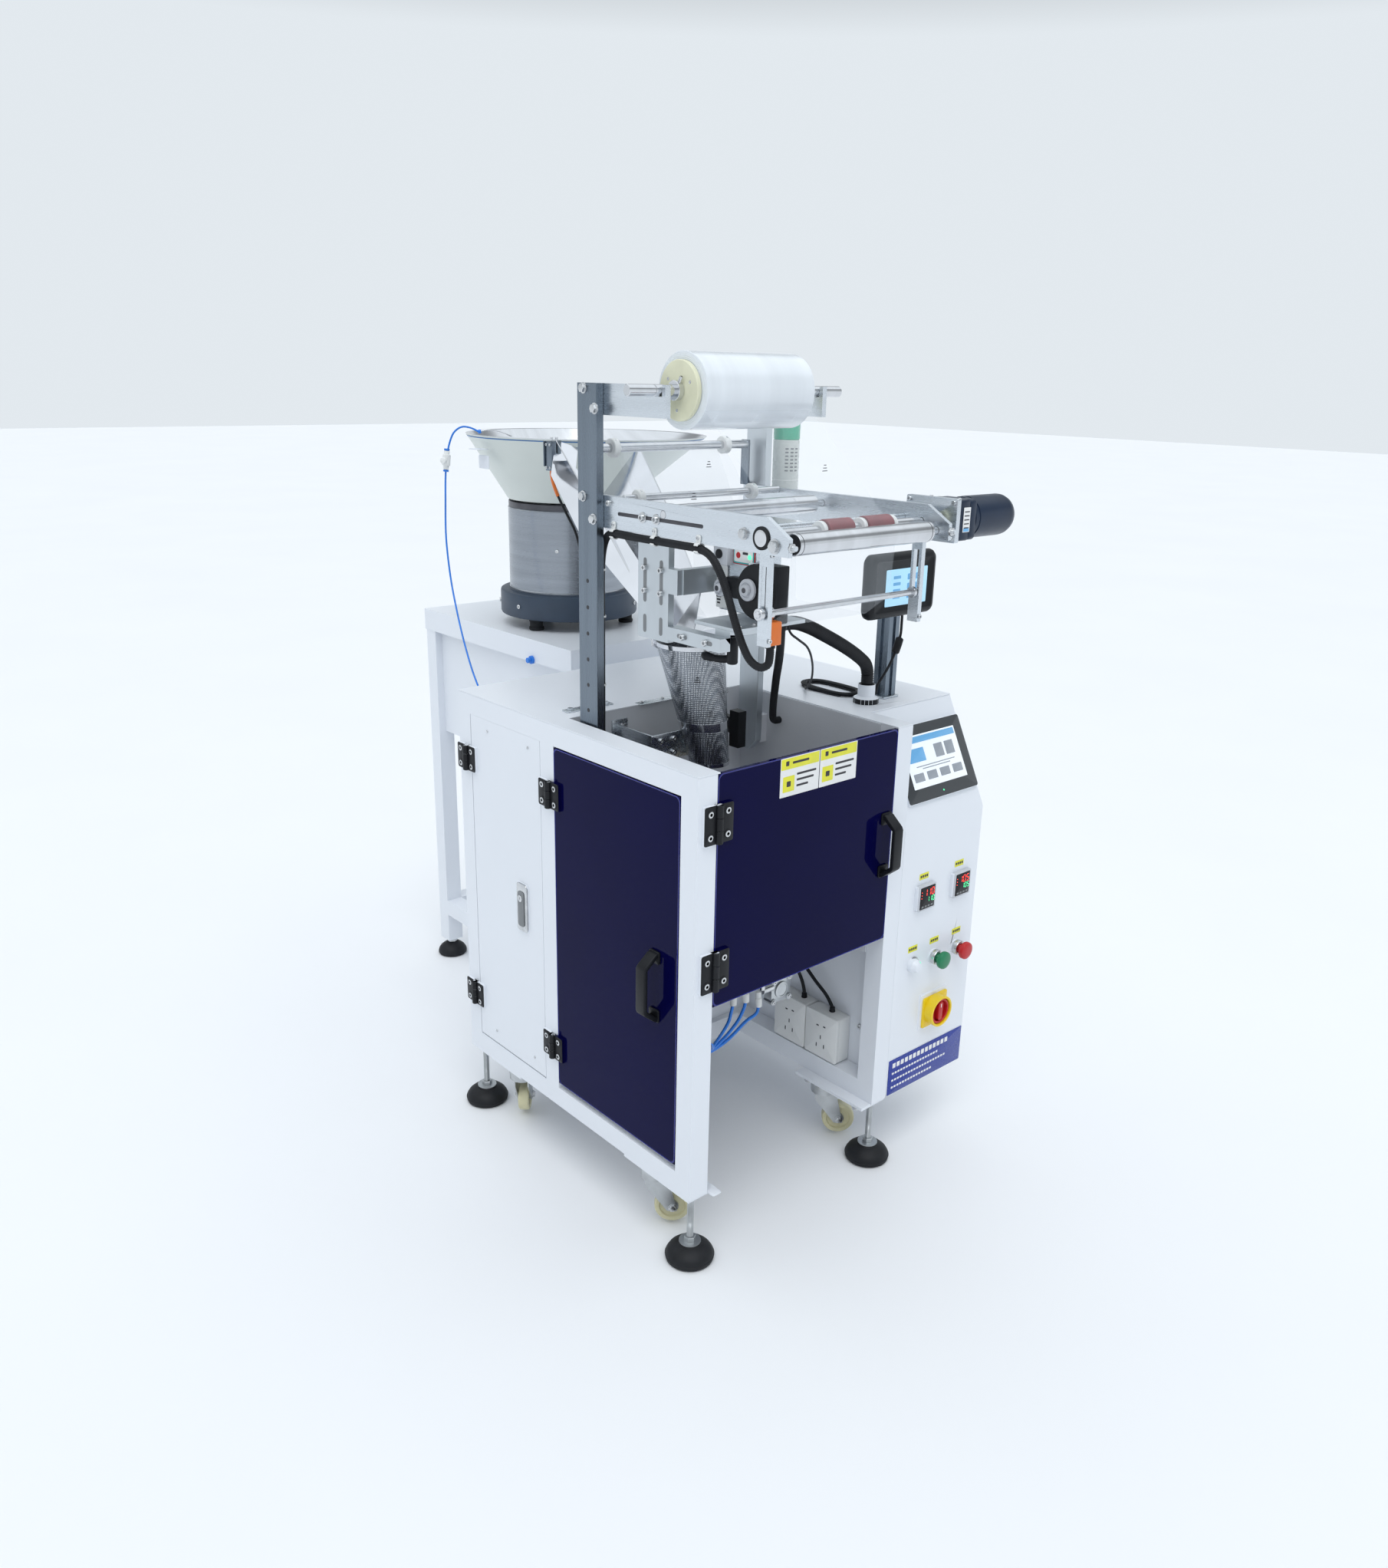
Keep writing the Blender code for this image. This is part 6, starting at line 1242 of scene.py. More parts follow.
def makeCoder():
    # what sits on the coder: its plate's slots, the black cassette with two spools, the keypad, the clamp lever
    slots = [plate((0.0779, y, z), -yAxis, zAxis, 0.008, t, 0.00015, 0.004, 0.00004, 6)
             for y, z, t in ((0.229, 1.165, 0.072), (0.188, 1.165, 0.072), (0.229, 1.094, 0.030),
                             (0.188, 1.094, 0.030))]
    slots += [plate((0.0779, y, 1.086), -yAxis, zAxis, 0.024, 0.007, 0.00015, 0.0034, 0.00004,
                    6) for y in (0.075, 0.135)]
    heads = [screwHead((0.0778, y, z), -xAxis, 0.0052, 0.005) for y,
             z in ((0.229, 1.185), (0.188, 1.185), (0.229, 1.148),
                                                                          (0.188, 1.148), (0.078, 1.086),
                   (0.132, 1.086))]
    heads += [screwHead((0.1615, y, z), -xAxis, 0.0032, 0.0026) for y in (0.066, 0.132) for z in (1.129, 1.228)]
    heads += [screwHead((x, 0.040, 1.112), zAxis, 0.0035, 0.003) for x in (0.115, 0.145)]
    # the ribbon cassette: a large black disc with a straight front half, a link and two grey spools
    cassette = [roundRod((0.1700, 0.0400, 1.1640), (0.1458, 0.0400, 1.1640), 0.0437, 64, 0.0015),
                plate((0.1705, 0.0160, 1.1640), -yAxis, zAxis, 0.0480, 0.0890, 0.0240, 0.002, 0.001),
                plate((0.1650, 0.0960, 1.1620), -yAxis, zAxis, 0.0560, 0.0330, 0.0120, 0.012, 0.0015),
                turned([(0.0270, 0), (0.0420, 0), (0.0425, 0.0004), (0.0420, 0.0008), (0.0270, 0.0008)],
                       (0.1459, 0.0400, 1.1640), -xAxis, 64)]
    spools, cores = [], []
    for x, y, z, r in ((0.1500, 0.1220, 1.1600, 0.0140), (0.1448, 0.0540, 1.1660, 0.0172)):
        spools.append(turned([(0.0050, 0), (r - 0.0010, 0), (r, 0.0010), (r, 0.0052), (r - 0.0012, 0.0062),
                              (r * 0.70, 0.0064),
                              (r * 0.66, 0.0050), (r * 0.52, 0.0050), (r * 0.50, 0.0105), (0.0050, 0.0115)],
                             (x, y, z), -xAxis, 48))
        cores.append(turned([(0.0042, 0.0112), (0.0042, 0.0120), (0.0022, 0.0122)], (x, y, z), -xAxis, 24))
    pad = [plate((0.1612, 0.0840, 1.2140), -yAxis, zAxis, 0.0500, 0.0290, 0.0010, 0.004, 0.0004)]
    teal = [plate((0.1601, 0.0840, 1.2140), -yAxis, zAxis, 0.0465, 0.0255, 0.0003, 0.003, 0.0001)]
    face = [plate((0.1597, 0.0840, 1.2140), -yAxis, zAxis, 0.0420, 0.0210, 0.0002, 0.002, 0.0001)]
    red = [turned([(0.0050, 0), (0.0046, 0.0006), (0.0012, 0.0008)], (0.1596, 0.0960, 1.2140), -xAxis, 24)]
    led = [turned([(0.0040, 0), (0.0036, 0.0006), (0.0010, 0.0008)], (0.1596, 0.0700, 1.2130), -xAxis, 24)]
    keys = [plate((0.1596, 0.0800, 1.2180), -yAxis, zAxis, 0.0120, 0.0040, 0.0004, 0.001, 0.0001, 3)]
    headBox = [block((0.1500, 0.2000), (0.1120, 0.1450), (1.1955, 1.2330), 0.002)]
    bearing = [turned([(0.0070, 0), (0.0075, 0.0004), (0.0075, 0.0020), (0.0050, 0.0024)], (0.1499, 0.1300, 1.2130),
                      -xAxis, 32)]
    printer = [block((0.1588, 0.1612), (0.1200, 0.1452), (1.1250, 1.1940), 0.0006)]
    rows = [plate((0.1587, 0.1385, 1.1900 - 0.0052 * k), -yAxis, zAxis, 0.0115 - 0.0022 * (k % 3), 0.0028, 0.0001,
                  0.0004, 0.00004, 2)
            for k in range(12)]
    roller = [roundRod((0.1605, y, 1.128), (0.2185, y, 1.128), 0.005, 28) for y in (0.132, 0.066)]
    teals = newFinish("keypadTeal", (0.02, 0.42, 0.42), 0.35, tone=0.05, toneScale=40)
    addPiece("coderTrim",
             [(slots, greyPlastic), (heads, boltSteel), (cassette, blackPlastic), (spools, paleGrey),
              (cores, darkSteel),
                           (pad, buttonRed), (teal, teals), (face, labelWhite), (red, buttonRed), (led, litGreen),
              (keys, inkGrey),
                           (headBox, paleGrey), (bearing, blackRubber), (printer, whitePlastic), (rows, inkGrey),
                           (roller, groundSteel)], "machine")
    nuts = [turned([(0.0150, 0), (0.0160, 0.001), (0.0160, 0.010), (0.0150, 0.011)], (0.2385, 0.092, 1.0936), xAxis,
                   32,
                   hexRows=range(4)),
            turned([(0.0090, 0), (0.0098, 0.0008), (0.0098, 0.0090), (0.0090, 0.0098)], (0.2165, 0.050, 1.0960),
                   zAxis, 28,
                   hexRows=range(4))]
    addPiece("hoseNuts", (nuts, blackPlastic), "machine")
    hub = (0.120, 0.061)
    arm, _ = smoothPath([(0.120, 0.061, 1.0615), (0.1175, 0.066, 1.0580), (0.111, 0.080, 1.0560),
                         (0.103, 0.097, 1.0575),
                         (0.0985, 0.108, 1.0600)], 0.002)
    thick = np.interp(np.linspace(0, 1, len(arm)), (0, 0.15, 0.6, 0.9, 1), (0.0085, 0.0065, 0.0058, 0.0075, 0.0045))
    lever = [turned([(0.0070, 1.0500), (0.0090, 1.0520), (0.0090, 1.0820), (0.0075, 1.0945), (0.0060, 1.0962)],
                    (*hub, 0), zAxis, 36),
             tube(arm, thick, 16)]
    cap = [turned([(0.0046, 0), (0.0046, 0.0010), (0.003, 0.0012)], (*hub, 1.0500), -zAxis, 20)]
    addPiece("clampLever", [(lever, blackPlastic), (cap, boltSteel)], "lever", replacing=["clamp_lever"], sharp=50)


def makeClips():
    # three white clips that hold the conduit to the side plate, three ties on the upright
    clips, ties = [], []
    for y in (0.294, 0.189, 0.084):
        ring = [(0.0083 * math.cos(a), 0.0083 * math.sin(a)) for a in np.linspace(-2.6, 2.6, 15)]
        line = np.array([(0.0652 + u, y, 1.2328 + w) for u, w in ring])
        flat = roundRect(0.0045, 0.0010, 0.0008, 2)
        tangent = framesAlong(line)[0]
        grid = line[:, None] + flat[None, :, :1] * yAxis + flat[None, :, 1:] * np.cross(tangent, yAxis)[:, None]
        clips.append(surface(grid, startCap=True, endCap=True))
        clips.append(plate((0.0651, y, 1.2470), -yAxis, zAxis, 0.010, 0.012, 0.0022, 0.003, 0.0006))
        ties.append(screwHead((0.0630, y, 1.2480), -xAxis, 0.0030, 0.0022))
    bands = []
    for z in (0.965, 1.085, 1.165):
        a = np.linspace(0, 2 * np.pi, 25)[:-1]
        rows = [np.column_stack([0.0797 + (0.0072 + o) * np.cos(a), 0.3488 + (0.0072 + o) * np.sin(a),
                                 np.full(24, z + h)])
                for o, h in ((0, 0), (0.0009, 0), (0.0009, 0.0032), (0, 0.0032))]
        bands.append(surface(np.array(rows)))
        bands.append(plate((0.0700, 0.3430, z + 0.0016), yAxis, zAxis, 0.005, 0.0042, 0.004, 0.0006, 0.0003, 3))
    addPiece("conduitClips", [(clips, whitePlastic), (ties, boltSteel)], "machine", sharp=50)
    addPiece("cableTies", (bands, whitePlastic), "machine", sharp=40)


makeStandBolts()
makeRodsAndRollers()
makeArmTrim()
makeRoll()
makeGearmotor()
makeCoder()
makeClips()
print("film stand made")


# bag forming: tube, chute, jaws' ridges and the film

formingTube = {"top": ((0.250, 0.311, 1.030), 0.0625), "low": ((0.250, 0.252, 0.815), 0.0355)}


def tubeRing(share, sides=72, grow=0.0):
    # one ring of the slanting cone, share 0 at the low end and 1 at the mouth
    (topAt, topR), (lowAt, lowR) = formingTube["top"], formingTube["low"]
    a = np.linspace(0, 2 * np.pi, sides, endpoint=False)
    centre = np.asarray(lowAt) + (np.asarray(topAt) - np.asarray(lowAt)) * share
    radius = lowR + (topR - lowR) * share + grow
    return np.column_stack([centre[0] + radius * np.cos(a), centre[1] + radius * np.sin(a),
                            np.full(sides, centre[2])])


def embossedSteelPaintedLight():
    # steel with small raised dots in rows round and up the tube, from a cell pattern; its colour is painted light on
    # the dots and painted shade between them, a painted highlight and shade of the relief
    material = newFinish("embossedSteelPaintedLight", (0.70, 0.71, 0.73), 0.22, 1.0, tone=0.06, toneScale=12, bump=0.0)
    nodes, links = material.node_tree.nodes, material.node_tree.links
    coord = next(n for n in nodes if n.type == "TEX_COORD")
    mapping = nodes.new("ShaderNodeMapping")
    mapping.inputs["Scale"].default_value = (330, 330, 300)
    links.new(coord.outputs["Object"], mapping.inputs["Vector"])
    dots = nodes.new("ShaderNodeTexVoronoi")
    dots.feature = "F1"
    dots.inputs["Scale"].default_value = 1.0
    dots.inputs["Randomness"].default_value = 0.12
    links.new(mapping.outputs["Vector"], dots.inputs["Vector"])
    # painted highlight and shade: bright colour at the dots' middles, dark steel between them
    shade = nodes.new("ShaderNodeValToRGB")
    shade.color_ramp.elements[0].position, shade.color_ramp.elements[1].position = 0.12, 0.52
    shade.color_ramp.elements[0].color, shade.color_ramp.elements[1].color = (0.84, 0.85, 0.87, 1), (0.22, 0.24, 0.27, 1)
    links.new(dots.outputs["Distance"], shade.inputs["Fac"])
    links.new(shade.outputs["Color"], nodes["Principled BSDF"].inputs["Base Color"])
    bump = nodes.new("ShaderNodeBump")
    bump.inputs["Strength"].default_value = 0.5
    bump.inputs["Distance"].default_value = 0.0012
    bump.invert = True
    links.new(dots.outputs["Distance"], bump.inputs["Height"])
    links.new(bump.outputs["Normal"], nodes["Principled BSDF"].inputs["Normal"])
    return material


def makeFormingTube():
    dottedPaintedLight = embossedSteelPaintedLight()
    shares = np.linspace(0, 1, 30)
    outside = np.array([tubeRing(s) for s in shares])
    inside = np.array([tubeRing(s, grow=-0.0015) for s in shares[::-1]])
    shell = surface(np.concatenate([outside, inside, outside[:1]]))
    bands = []
    for low, high in ((0.965, 0.9995), (0.30, 0.365), (0.0005, 0.03)):
        rows = [tubeRing(low), tubeRing(low, grow=0.0006), tubeRing(high, grow=0.0006), tubeRing(high)]
        bands.append(surface(np.array(rows)))
    plateParts = [plate((0.206, 0.2975, 0.847), xAxis, zAxis, 0.112, 0.050, 0.0030, 0.003, 0.0005),
                  block((0.150, 0.1535), (0.296, 0.3995), (0.822, 0.872), 0.0008),
                  block((0.140, 0.176), (0.3968, 0.3998), (0.815, 0.880), 0.0008),
                  block((0.236, 0.264), (0.286, 0.297), (0.835, 0.860), 0.001)]
    heads = [screwHead((x, 0.2945, z), -yAxis, 0.0055, 0.005) for x in (0.170, 0.200) for z in (0.834, 0.860)]
    heads += [screwHead((0.166, 0.3967, z), -yAxis, 0.0055, 0.004, True) for z in (0.829, 0.866)]
    addPiece("formingTube", [(shell, dottedPaintedLight), (bands, mirrorSteel), (plateParts, brushedAlong), (heads, boltSteel)],
             "machine",
             replacing=["forming_tube"])


def makeChute():
    # folded sheet: two tall wings and a floor fold, from the bowl's lip down into the tube's mouth
    lines = {"top": [(0.296, 0.783, 1.352), (0.330, 0.763, 1.285), (0.3795, 0.745, 1.2402), (0.425, 0.741, 1.290),
                     (0.472, 0.737, 1.340)],
             "middle": [(0.232, 0.560, 1.232), (0.262, 0.548, 1.180), (0.303, 0.540, 1.142), (0.345, 0.538, 1.190),
                        (0.386, 0.537, 1.235)],
             "low": [(0.180, 0.362, 1.112), (0.203, 0.352, 1.078), (0.2380, 0.3405, 1.0502), (0.266, 0.340, 1.080),
                     (0.296, 0.337, 1.112)],
             "end": [(0.196, 0.352, 1.020), (0.212, 0.345, 1.010), (0.2350, 0.3350, 1.0000), (0.258, 0.334, 1.010),
                     (0.276, 0.334, 1.022)]}
    rows = []
    keys = [np.asarray(lines[k]) for k in ("top", "middle", "low", "end")]
    for a, b in zip(keys, keys[1:]):
        rows += [a + (b - a) * t for t in np.linspace(0, 1, 10, endpoint=False)]
    rows.append(keys[-1])
    rows = np.array(rows)
    columns = []
    for k in range(4):
        columns += [rows[:, k] + (rows[:, k + 1] - rows[:, k]) * t for t in np.linspace(0, 1, 5, endpoint=False)]
    columns.append(rows[:, 4])
    grid = np.stack(columns, 1)
    thick = np.array([0.0004, -0.0004, 0.0011])
    both = np.concatenate([grid, grid[:, ::-1] + thick], 1)
    trough = surface(both, startCap=False)
    rims = [tube(smoothPath(grid[:, c], 0.01)[0], 0.0012, 8) for c in (0, 20)]
    leftWing = [(0.320, 0.819, 1.350), (0.259, 0.750, 1.288), (0.217, 0.600, 1.194), (0.160, 0.349, 1.100),
                (0.205, 0.356, 1.035)]
    inner = [(0.362, 0.800, 1.335), (0.318, 0.748, 1.300), (0.262, 0.590, 1.245), (0.196, 0.362, 1.140),
             (0.232, 0.348, 1.060)]
    a, b = np.asarray(leftWing), np.asarray(inner)
    dense = np.linspace(0, 4, 33)
    side = [np.stack([np.interp(dense, np.arange(5), p[:, k]) for k in range(3)], -1) for p in (a, b)]
    sheetGrid = np.stack([side[0] + (side[1] - side[0]) * t for t in np.linspace(0, 1, 5)], 1)
    wingShape = surface(np.concatenate([sheetGrid, sheetGrid[:, ::-1] + (0.0008, -0.0002, 0.0004)], 1))
    addPiece("chuteTrough", [(trough, mirrorSteel), (rims, groundSteel), (wingShape, mirrorSteel)], "machine",
             replacing=["chute"], sharp=25)


def makeJawTrim():
    for name, way in (("front_jaw", -1), ("rear_jaw", 1)):
        y = 0.252 + way * 0.0305
        ridges = [plate((0.250, y + way * 0.0003, 0.712 + 0.006 * k), xAxis * way, zAxis, 0.150, 0.0024, 0.0006,
                        0.0006, 0.0002, 2)
                  for k in range(7)]
        addPiece("jawRidges_" + name, (ridges, bronze), name)


# the film: unwound over the rolls, round the dancer bar, under the coder, up and down to the tube
film = {"x": (0.115, 0.349), "thick": 0.0001}


def arcPoints(centre, radius, start, end, count=9):
    # points on a roll's skin, angles in degrees in the y-z plane
    a = np.radians(np.linspace(start, end, count))
    return np.column_stack([centre[0] + radius * np.cos(a), centre[1] + radius * np.sin(a)])


def denser(outline, step=0.012):
    outline = np.asarray(outline, float)
    out = [outline[:1]]
    for a, b in zip(outline, outline[1:]):
        n = max(1, int(np.linalg.norm(b - a) / step))
        out.append(a + (b - a) * np.linspace(0, 1, n + 1)[1:, None])
    return np.concatenate(out)


def webPiece(name, outline, body, columns=9, sag=0.0004):
    outline = denser(outline)
    points, faces = strip(outline, *film["x"], columns)
    wave = np.sin(points[:, 0] * 75 + points[:, 1] * 21) * np.sin(points[:, 1] * 33 + points[:, 2] * 47)
    points = points + np.column_stack([np.zeros(len(points)), sag * wave, sag * wave])
    piece = addPiece(name, ((points, faces), clearFilm), body, sharp=60)
    length = np.linalg.norm(np.diff(outline, axis=0), axis=1).sum()
    print("film", name, round(length, 3), "m")
    return piece, length


def makeFilm():
    x0, x1 = film["x"]
    drive, nip = (-0.050, 1.265), 0.0171
    unwind = np.vstack([arcPoints((0.185, 1.460), 0.0594, 232, 208, 5), arcPoints(drive, nip, 42, 196, 14)])
    webPiece("filmUnwind", unwind, "machine")
    bar = (-0.052, 1.1515)
    drop = np.vstack([arcPoints((-0.0815, 1.2535), nip, 16, 2, 3), arcPoints(bar, 0.0062, 178, 232, 5)])
    dropWeb = strip(denser(drop), x0, x1, 9)
    piece = addPiece("filmDrop", (dropWeb, clearFilm), "machine", sharp=60)
    turnBlend(piece)
    back = np.vstack([arcPoints(bar, 0.0062, 232, 300, 6), [(-0.012, 1.1175)]])
    piece = addPiece("filmReturn", (strip(denser(back), x0, x1, 9), clearFilm), "machine", sharp=60)
    turnBlend(piece)
    under = np.vstack([[(-0.012, 1.1175), (0.146, 1.1175), (0.150, 1.1215)],
                       arcPoints((0.170, 1.275), 0.0156, 184, 95, 8),
                       arcPoints((0.280, 1.290), 0.0066, 112, 60, 4), arcPoints((0.355, 1.365), 0.0082, 150, 20, 7)])
    webPiece("filmOverRods", under, "machine")
    # from the top rod the web narrows into a collar that wraps round the tube's mouth
    columns, rows = 41, 22
    u = np.linspace(-1, 1, columns)
    top = np.column_stack([(x0 + x1) / 2 + u * (x1 - x0) / 2, np.full(columns, 0.3627), np.full(columns, 1.3678)])
    a = math.pi / 2 - u * math.radians(172)
    mouth, radius = formingTube["top"]
    low = np.column_stack([mouth[0] + (radius + 0.0015) * np.cos(a), mouth[1] + (radius + 0.0015) * np.sin(a),
                           mouth[2] - 0.004 + 0.045 * np.abs(u) ** 3])
    t = np.linspace(0, 1, rows)[:, None, None]
    wing = np.column_stack([np.sign(u) * np.abs(u) ** 2, -np.abs(u) ** 1.5 * 0.6, np.zeros(columns)]) * 0.030
    collar = top * (1 - t) + low * t + wing * np.sin(np.pi * np.minimum(1, t * 1.02)) ** 1.2
    piece = addPiece("filmCollar", (surface(collar, wrap=False), clearFilm), "machine", sharp=60)
    wide = 0.300
    # the sleeve of film round the tube, loosely creased, flattening towards the jaws
    shares = np.linspace(1.0, 0.0, 26)
    sides = 72
    angle = np.linspace(0, 2 * np.pi, sides, endpoint=False)
    grid = []
    for s in shares:
        ring = tubeRing(s, sides, 0.0012)
        crease = 0.0009 * (1 + np.sin(angle * 7 + s * 9)) * (0.4 + 0.6 * np.sin(s * 14 + angle * 2) ** 2)
        grid.append(ring + np.column_stack([np.cos(angle), np.sin(angle), np.zeros(sides)]) * crease[:, None])
    centre, low = np.asarray(formingTube["low"][0]), formingTube["low"][1]
    for s in np.linspace(0.1, 1, 12):
        flatten = 1 - 0.55 * s**1.3
        wide = (low + 0.0012) * (1 + 0.30 * s)
        crease = 0.0008 * np.sin(angle * 5 + s * 4)
        grid.append(np.column_stack([centre[0] + (wide + crease) * np.cos(angle),
                                     centre[1] + (wide * flatten + crease) * np.sin(angle),
                                     np.full(sides, centre[2] - 0.048 * s)]))
    grid = np.array(grid)
    piece = addPiece("filmSleeve", (surface(grid), sleeveFilm), "machine", sharp=70)
    # plain print marks along the web: three short bars together
    marks = []
    for y, z, x in ((0.05, 1.3418, 0.300), (0.20, 1.2920, 0.155), (0.316, 1.3310, 0.290)):
        marks += [plate((x, y, z + 0.0045 * k), xAxis, zAxis, 0.012 - 0.003 * k, 0.0013, 0.0001, 0.0004, 0.00004,
                        2) for k in range(3)]
    for k, (s, turn) in enumerate(((0.72, 4.05), (0.44, 4.35), (0.18, 4.1), (0.60, 5.3))):
        at = tubeRing(s, 360, 0.0034)[int(turn / (2 * math.pi) * 360)]
        out = np.array((math.cos(turn), math.sin(turn), 0))
        marks += [plate(at + zAxis * 0.004 * j, np.cross(zAxis, out), zAxis, 0.012 - 0.003 * j, 0.0013, 0.0001,
                        0.0004, 0.00004, 2)
                  for j in range(3)]
    addPiece("printMarks", (marks, inkGrey), "machine")


def turnBlend(piece):
    # the piece is taken off its body, and its place is baked into its points
    piece.parent = None
    for key in ("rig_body",):
        del piece[key]
    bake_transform(piece)


# bowl feeder

def makeBowl():
    bowl = {"drum": (0.504, 1.034), "rim": (0.540, 1.008, 1.350), "rimRadius": 0.270, "low": 1.209,
            "drumRadius": 0.136}
    sides, rows = 120, 14
    a = np.linspace(0, 2 * np.pi, sides, endpoint=False)
    start = np.array((*bowl["drum"], bowl["low"]))
    end = np.array(bowl["rim"])

    def ring(share, grow=0.0, lift=0.0):
        centre = start + (end - start) * share
        radius = bowl["drumRadius"] + (bowl["rimRadius"] - bowl["drumRadius"]) * share + grow
        return np.column_stack([centre[0] + radius * np.cos(a), centre[1] + radius * np.sin(a),
                                np.full(sides, centre[2] + lift)])

    shares = np.linspace(0, 1, rows)
    outside = surface(np.array([ring(s) for s in shares]))
    lip = [surface(np.array([ring(1, 0.0), ring(1, 0.0004, 0.0006), ring(1, -0.0005, 0.0012),
                             ring(1, -0.0030, 0.0012),
                             ring(1, -0.0034, 0.0)]))]
    inner = surface(np.array([ring(s, -0.0034, 0.0001) for s in shares[::-1]]))
    floor = surface(np.array([ring(0, -0.0034, 0.0001), ring(0, -0.06, 0.012), ring(0, -0.130, 0.020)]), endCap=True)
    # the spiral ledge that the parts climb: a narrow step that winds up the inside of the cone
    t = np.linspace(0, 2.15, 260)
    share = 0.06 + t / 2.15 * 0.80
    angle = -2 * np.pi * t + 3.4
    centre = start + (end - start) * share[:, None]
    radius = bowl["drumRadius"] + (bowl["rimRadius"] - bowl["drumRadius"]) * share - 0.0038
    outline = [(0.0, 0.0), (-0.026, 0.0035), (-0.026, 0.0025), (0.0, -0.0015)]
    ledge = np.stack([np.column_stack([centre[:, 0] + (radius + o) * np.cos(angle),
                                       centre[:, 1] + (radius + o) * np.sin(angle),
                                       centre[:, 2] + h]) for o, h in outline], 1)
    ledge = surface(ledge, startCap=True, endCap=True)
    blue = newFinish("rimBlue", (0.03, 0.16, 0.42), 0.4, tone=0.12, toneScale=30)
    line = surface(np.array([ring(0.962, 0.0003), ring(0.962, 0.0006), ring(0.978, 0.0006), ring(0.978, 0.0003)]))
    addPiece("feederBowl", [(outside, bowlCream), (lip, groundSteel), (inner, groundSteel), (floor, brushedRound),
                            (ledge, groundSteel), (line, blue)], "bowl", replacing=["feeder_bowl"])
    # small turned parts lying on the bowl's floor
    rng = np.random.default_rng(7)
    pieces = []
    for _ in range(70):
        r, way = 0.105 * math.sqrt(rng.random()), rng.random() * 2 * math.pi
        spin = rng.random() * math.pi
        high = 1.2335 + 0.004 * rng.random() - 0.05 * max(0, r - 0.08)
        at = np.array((bowl["drum"][0] + r * math.cos(way), bowl["drum"][1] + r * math.sin(way), high))
        axis = np.array((math.cos(spin), math.sin(spin), 0.15 * (rng.random() - 0.5)))
        pieces.append(turned([(0.0022, -0.008), (0.0030, -0.0075), (0.0030, 0.004), (0.0048, 0.0042),
                              (0.0048, 0.0070),
                              (0.0030, 0.0078)], at, axis, 12))
    addPiece("looseParts", (pieces, boltSteel), "bowl")


def makeDrum():
    drum = {"at": (0.504, 1.034), "radius": 0.136, "base": 0.158}
    at = (*drum["at"], 0)
    shell = [turned([(0.1362, 1.0075), (0.1362, 1.1905), (0.1350, 1.1915)], at, zAxis, 96)]
    dark = [turned([(0.1345, 1.1912), (0.1350, 1.1920), (0.1350, 1.2040), (0.1335, 1.2052), (0.1000, 1.2053)], at,
                   zAxis, 96)]
    seam = [turned([(0.1365, z), (0.1371, z + 0.0005), (0.1365, z + 0.001)], at, zAxis, 96) for z in (1.1885, 1.0105)]
    ring = [turned([(0.1200, 0.950), (0.1530, 0.950), (0.1565, 0.9515), (0.1580, 0.9550), (0.1580, 1.0005),
                    (0.1568, 1.0040),
                    (0.1540, 1.0055), (0.1375, 1.0058), (0.1366, 1.0080)], at, zAxis, 96)]
    feet, bolts = [], []
    for turn in (200, 320, 80):
        a = math.radians(turn)
        x, y = at[0] + 0.132 * math.cos(a), at[1] + 0.132 * math.sin(a)
        feet.append(turned([(0.0155, 0.9253), (0.0170, 0.9270), (0.0170, 0.9320), (0.0150, 0.9340), (0.0150, 0.9440),
                            (0.0170, 0.9460), (0.0170, 0.9502)], (x, y, 0), zAxis, 36))
    for a in (3.3, 3.9, 4.5, 5.3, 2.6):
        out = np.array((math.cos(a), math.sin(a), 0))
        bolts.append(screwHead(np.array((*drum["at"], 1.105)) + out * 0.1358, out, 0.0042, 0.003) if a == 3.9 else
                     screwHead(np.array((*drum["at"], 0.978)) + out * 0.1578, out, 0.0048, 0.0035))
    addPiece("feederDrum", [(shell, brushedRound), (dark, darkSteel), (seam, groundSteel), (ring, slatePaint),
                            (feet, blackRubber), (bolts, boltSteel)], "machine", replacing=["feeder_base"])


def makeTableFeet():
    # black rubber bells over the table's four pads
    bell = [(0.0290, 0.0), (0.0345, 0.0005), (0.0365, 0.0030), (0.0370, 0.0070), (0.0355, 0.0130), (0.0310, 0.0200),
            (0.0240, 0.0260),
            (0.0180, 0.0290), (0.0150, 0.0330), (0.0120, 0.0340)]
    shapes, studs = [], []
    for x in (0.3328, 0.7672):
        for y in (0.783, 1.347):
            shapes.append(turned(bell, (x, y, 0), zAxis, 48))
            studs.append(turned([(0.0130, 0.0342), (0.0138, 0.0350), (0.0138, 0.0425), (0.0130, 0.0433)], (x, y, 0),
                                zAxis, 24,
                                hexRows=range(4)))
    addPiece("tableFeet", [(shapes, blackRubber), (studs, zincPlate)], "machine")


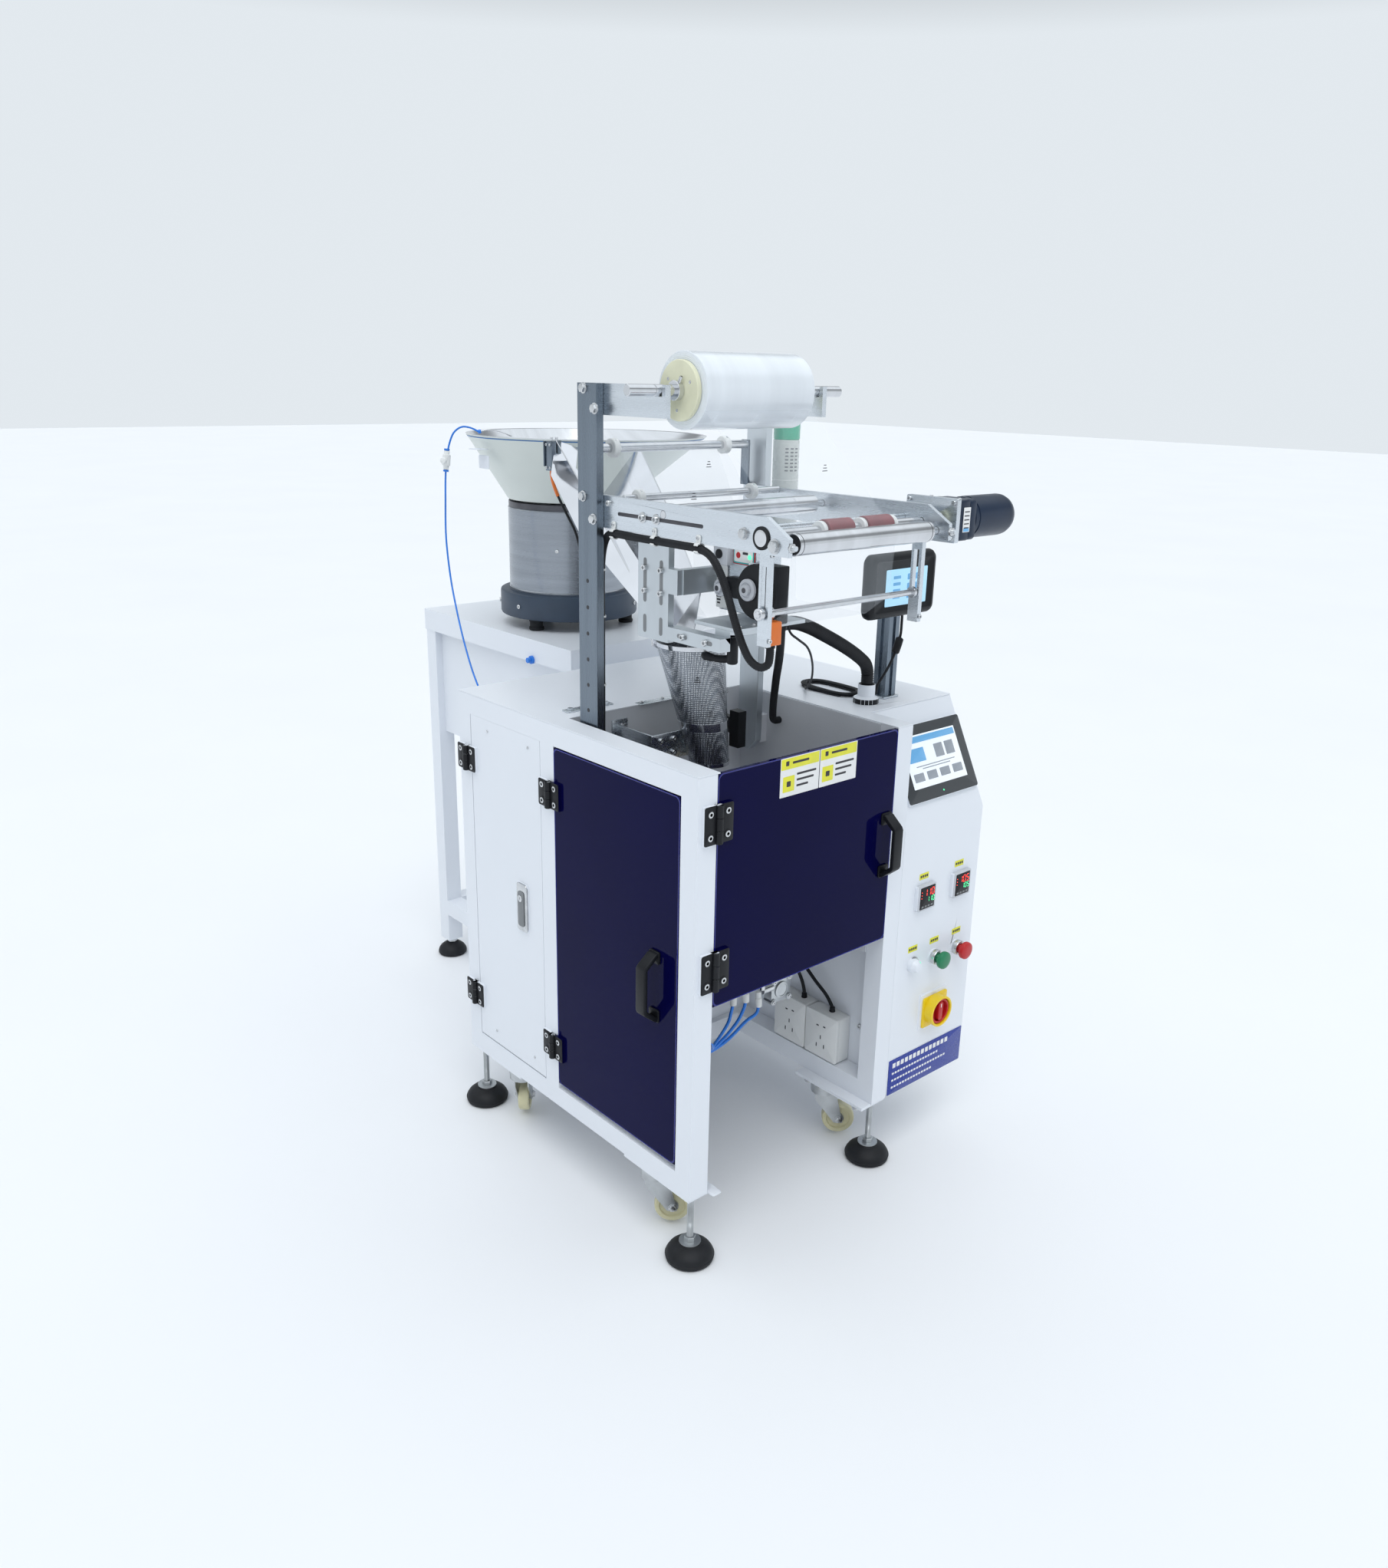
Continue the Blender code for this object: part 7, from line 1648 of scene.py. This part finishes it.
def makeBowlTrim():
    # two sensor blocks at the rim with their leads, the nozzle's bracket and the flow valve on the blue tube
    blocks = [block((0.2890, 0.3010), (0.789, 0.811), (1.292, 1.350), 0.001),
              block((0.3040, 0.3130), (0.789, 0.811), (1.298, 1.350), 0.001)]
    heads = [screwHead((0.2888, y, z), -xAxis, 0.0026, 0.002) for y in (0.794, 0.806) for z in (1.298, 1.343)]
    rods = [roundRod((0.297 + 0.012 * k, 0.800, 1.350), (0.297 + 0.012 * k, 0.800, 1.358), 0.003,
                     20) for k in range(2)]
    bracket = [block((0.286, 0.330), (0.8115, 0.8145), (1.300, 1.350), 0.0008)]
    addPiece("rimSensors", [(blocks + bracket, brushedUpPaintedShade), (heads, boltSteel), (rods, groundSteel)], "machine")
    lead = {"diameter": 0.0055,
            "route": [(0.322, 0.742, 0.9285), (0.334, 0.735, 0.950), (0.344, 0.742, 1.000), (0.346, 0.752, 1.060),
                                          (0.342, 0.762, 1.120), (0.332, 0.770, 1.170), (0.318, 0.780, 1.206),
                      (0.306, 0.790, 1.238),
                                          (0.299, 0.796, 1.262), (0.296, 0.799, 1.280), (0.296, 0.800, 1.2915)]}
    line, length = smoothPath(lead["route"], 0.004)
    piece = addPiece("sensorLead", (tube(line, lead["diameter"] / 2, 10), blackRubber), "machine", sharp=80)
    addPiece("sensorLeadSleeve", (tube(line[-14:], lead["diameter"] / 2 + 0.0009, 14), orangePlastic), "machine",
             sharp=60)
    tab = [plate((0.274, 1.020, 1.296), yAxis, zAxis, 0.040, 0.028, 0.0015, 0.003, 0.0004),
           plate((0.262, 1.020, 1.3225), xAxis, yAxis, 0.030, 0.036, 0.0015, 0.003, 0.0004)]
    nozzle, _ = smoothPath([(0.2635, 1.0195, 1.3588), (0.275, 1.014, 1.3615), (0.300, 1.005, 1.3600),
                            (0.330, 0.996, 1.350)], 0.004)
    union = [roundRod((0.268, 1.0175, 1.3595), (0.262, 1.0205, 1.3585), 0.0042, 20)]
    addPiece("nozzleBracket", [(tab, whitePowder), (tube(nozzle, 0.0016, 12), groundSteel), (union, tubeBlue)],
             "machine", sharp=60)
    at = np.array((0.2005, 1.050, 1.300))
    valve = [turned([(0.0040, -0.020), (0.0058, -0.019), (0.0062, -0.012), (0.0085, -0.011), (0.0085, 0.011),
                     (0.0062, 0.012),
                     (0.0058, 0.019), (0.0040, 0.020)], at, (0.10, 0, 1), 28)]
    knob = [turned([(0.0045, 0.006), (0.0045, 0.014), (0.0062, 0.0145), (0.0062, 0.020), (0.0050, 0.0208)], at,
                   (-0.8, -0.6, 0), 24)]
    collars = [turned([(0.0052, h), (0.0060, h + 0.0006), (0.0060, h + 0.0035), (0.0052, h + 0.004)], at,
                      (0.10, 0, 1), 24)
               for h in (-0.024, 0.0198)]
    addPiece("flowValve", [(valve + knob, whitePlastic), (collars, tubeBlue)], "machine")
    port = [roundRod((0.3128, 0.905, 0.880), (0.3040, 0.905, 0.880), 0.0090, 24),
            roundRod((0.3045, 0.905, 0.880), (0.2960, 0.905, 0.880), 0.0062, 24)]
    addPiece("tablePort", (port, tubeBlue), "machine")
    inlet = [turned([(0.0082, 0.7003), (0.0092, 0.7010), (0.0092, 0.7090), (0.0082, 0.7150), (0.0060, 0.7168)],
                    (0.200, 0, 0.720), yAxis, 28)]
    addPiece("airInlet", (inlet, blackPlastic), "machine")


makeFormingTube()
makeChute()
makeJawTrim()
makeFilm()
makeBowl()
makeDrum()
makeTableFeet()
makeBowlTrim()
print("feeder and film made")
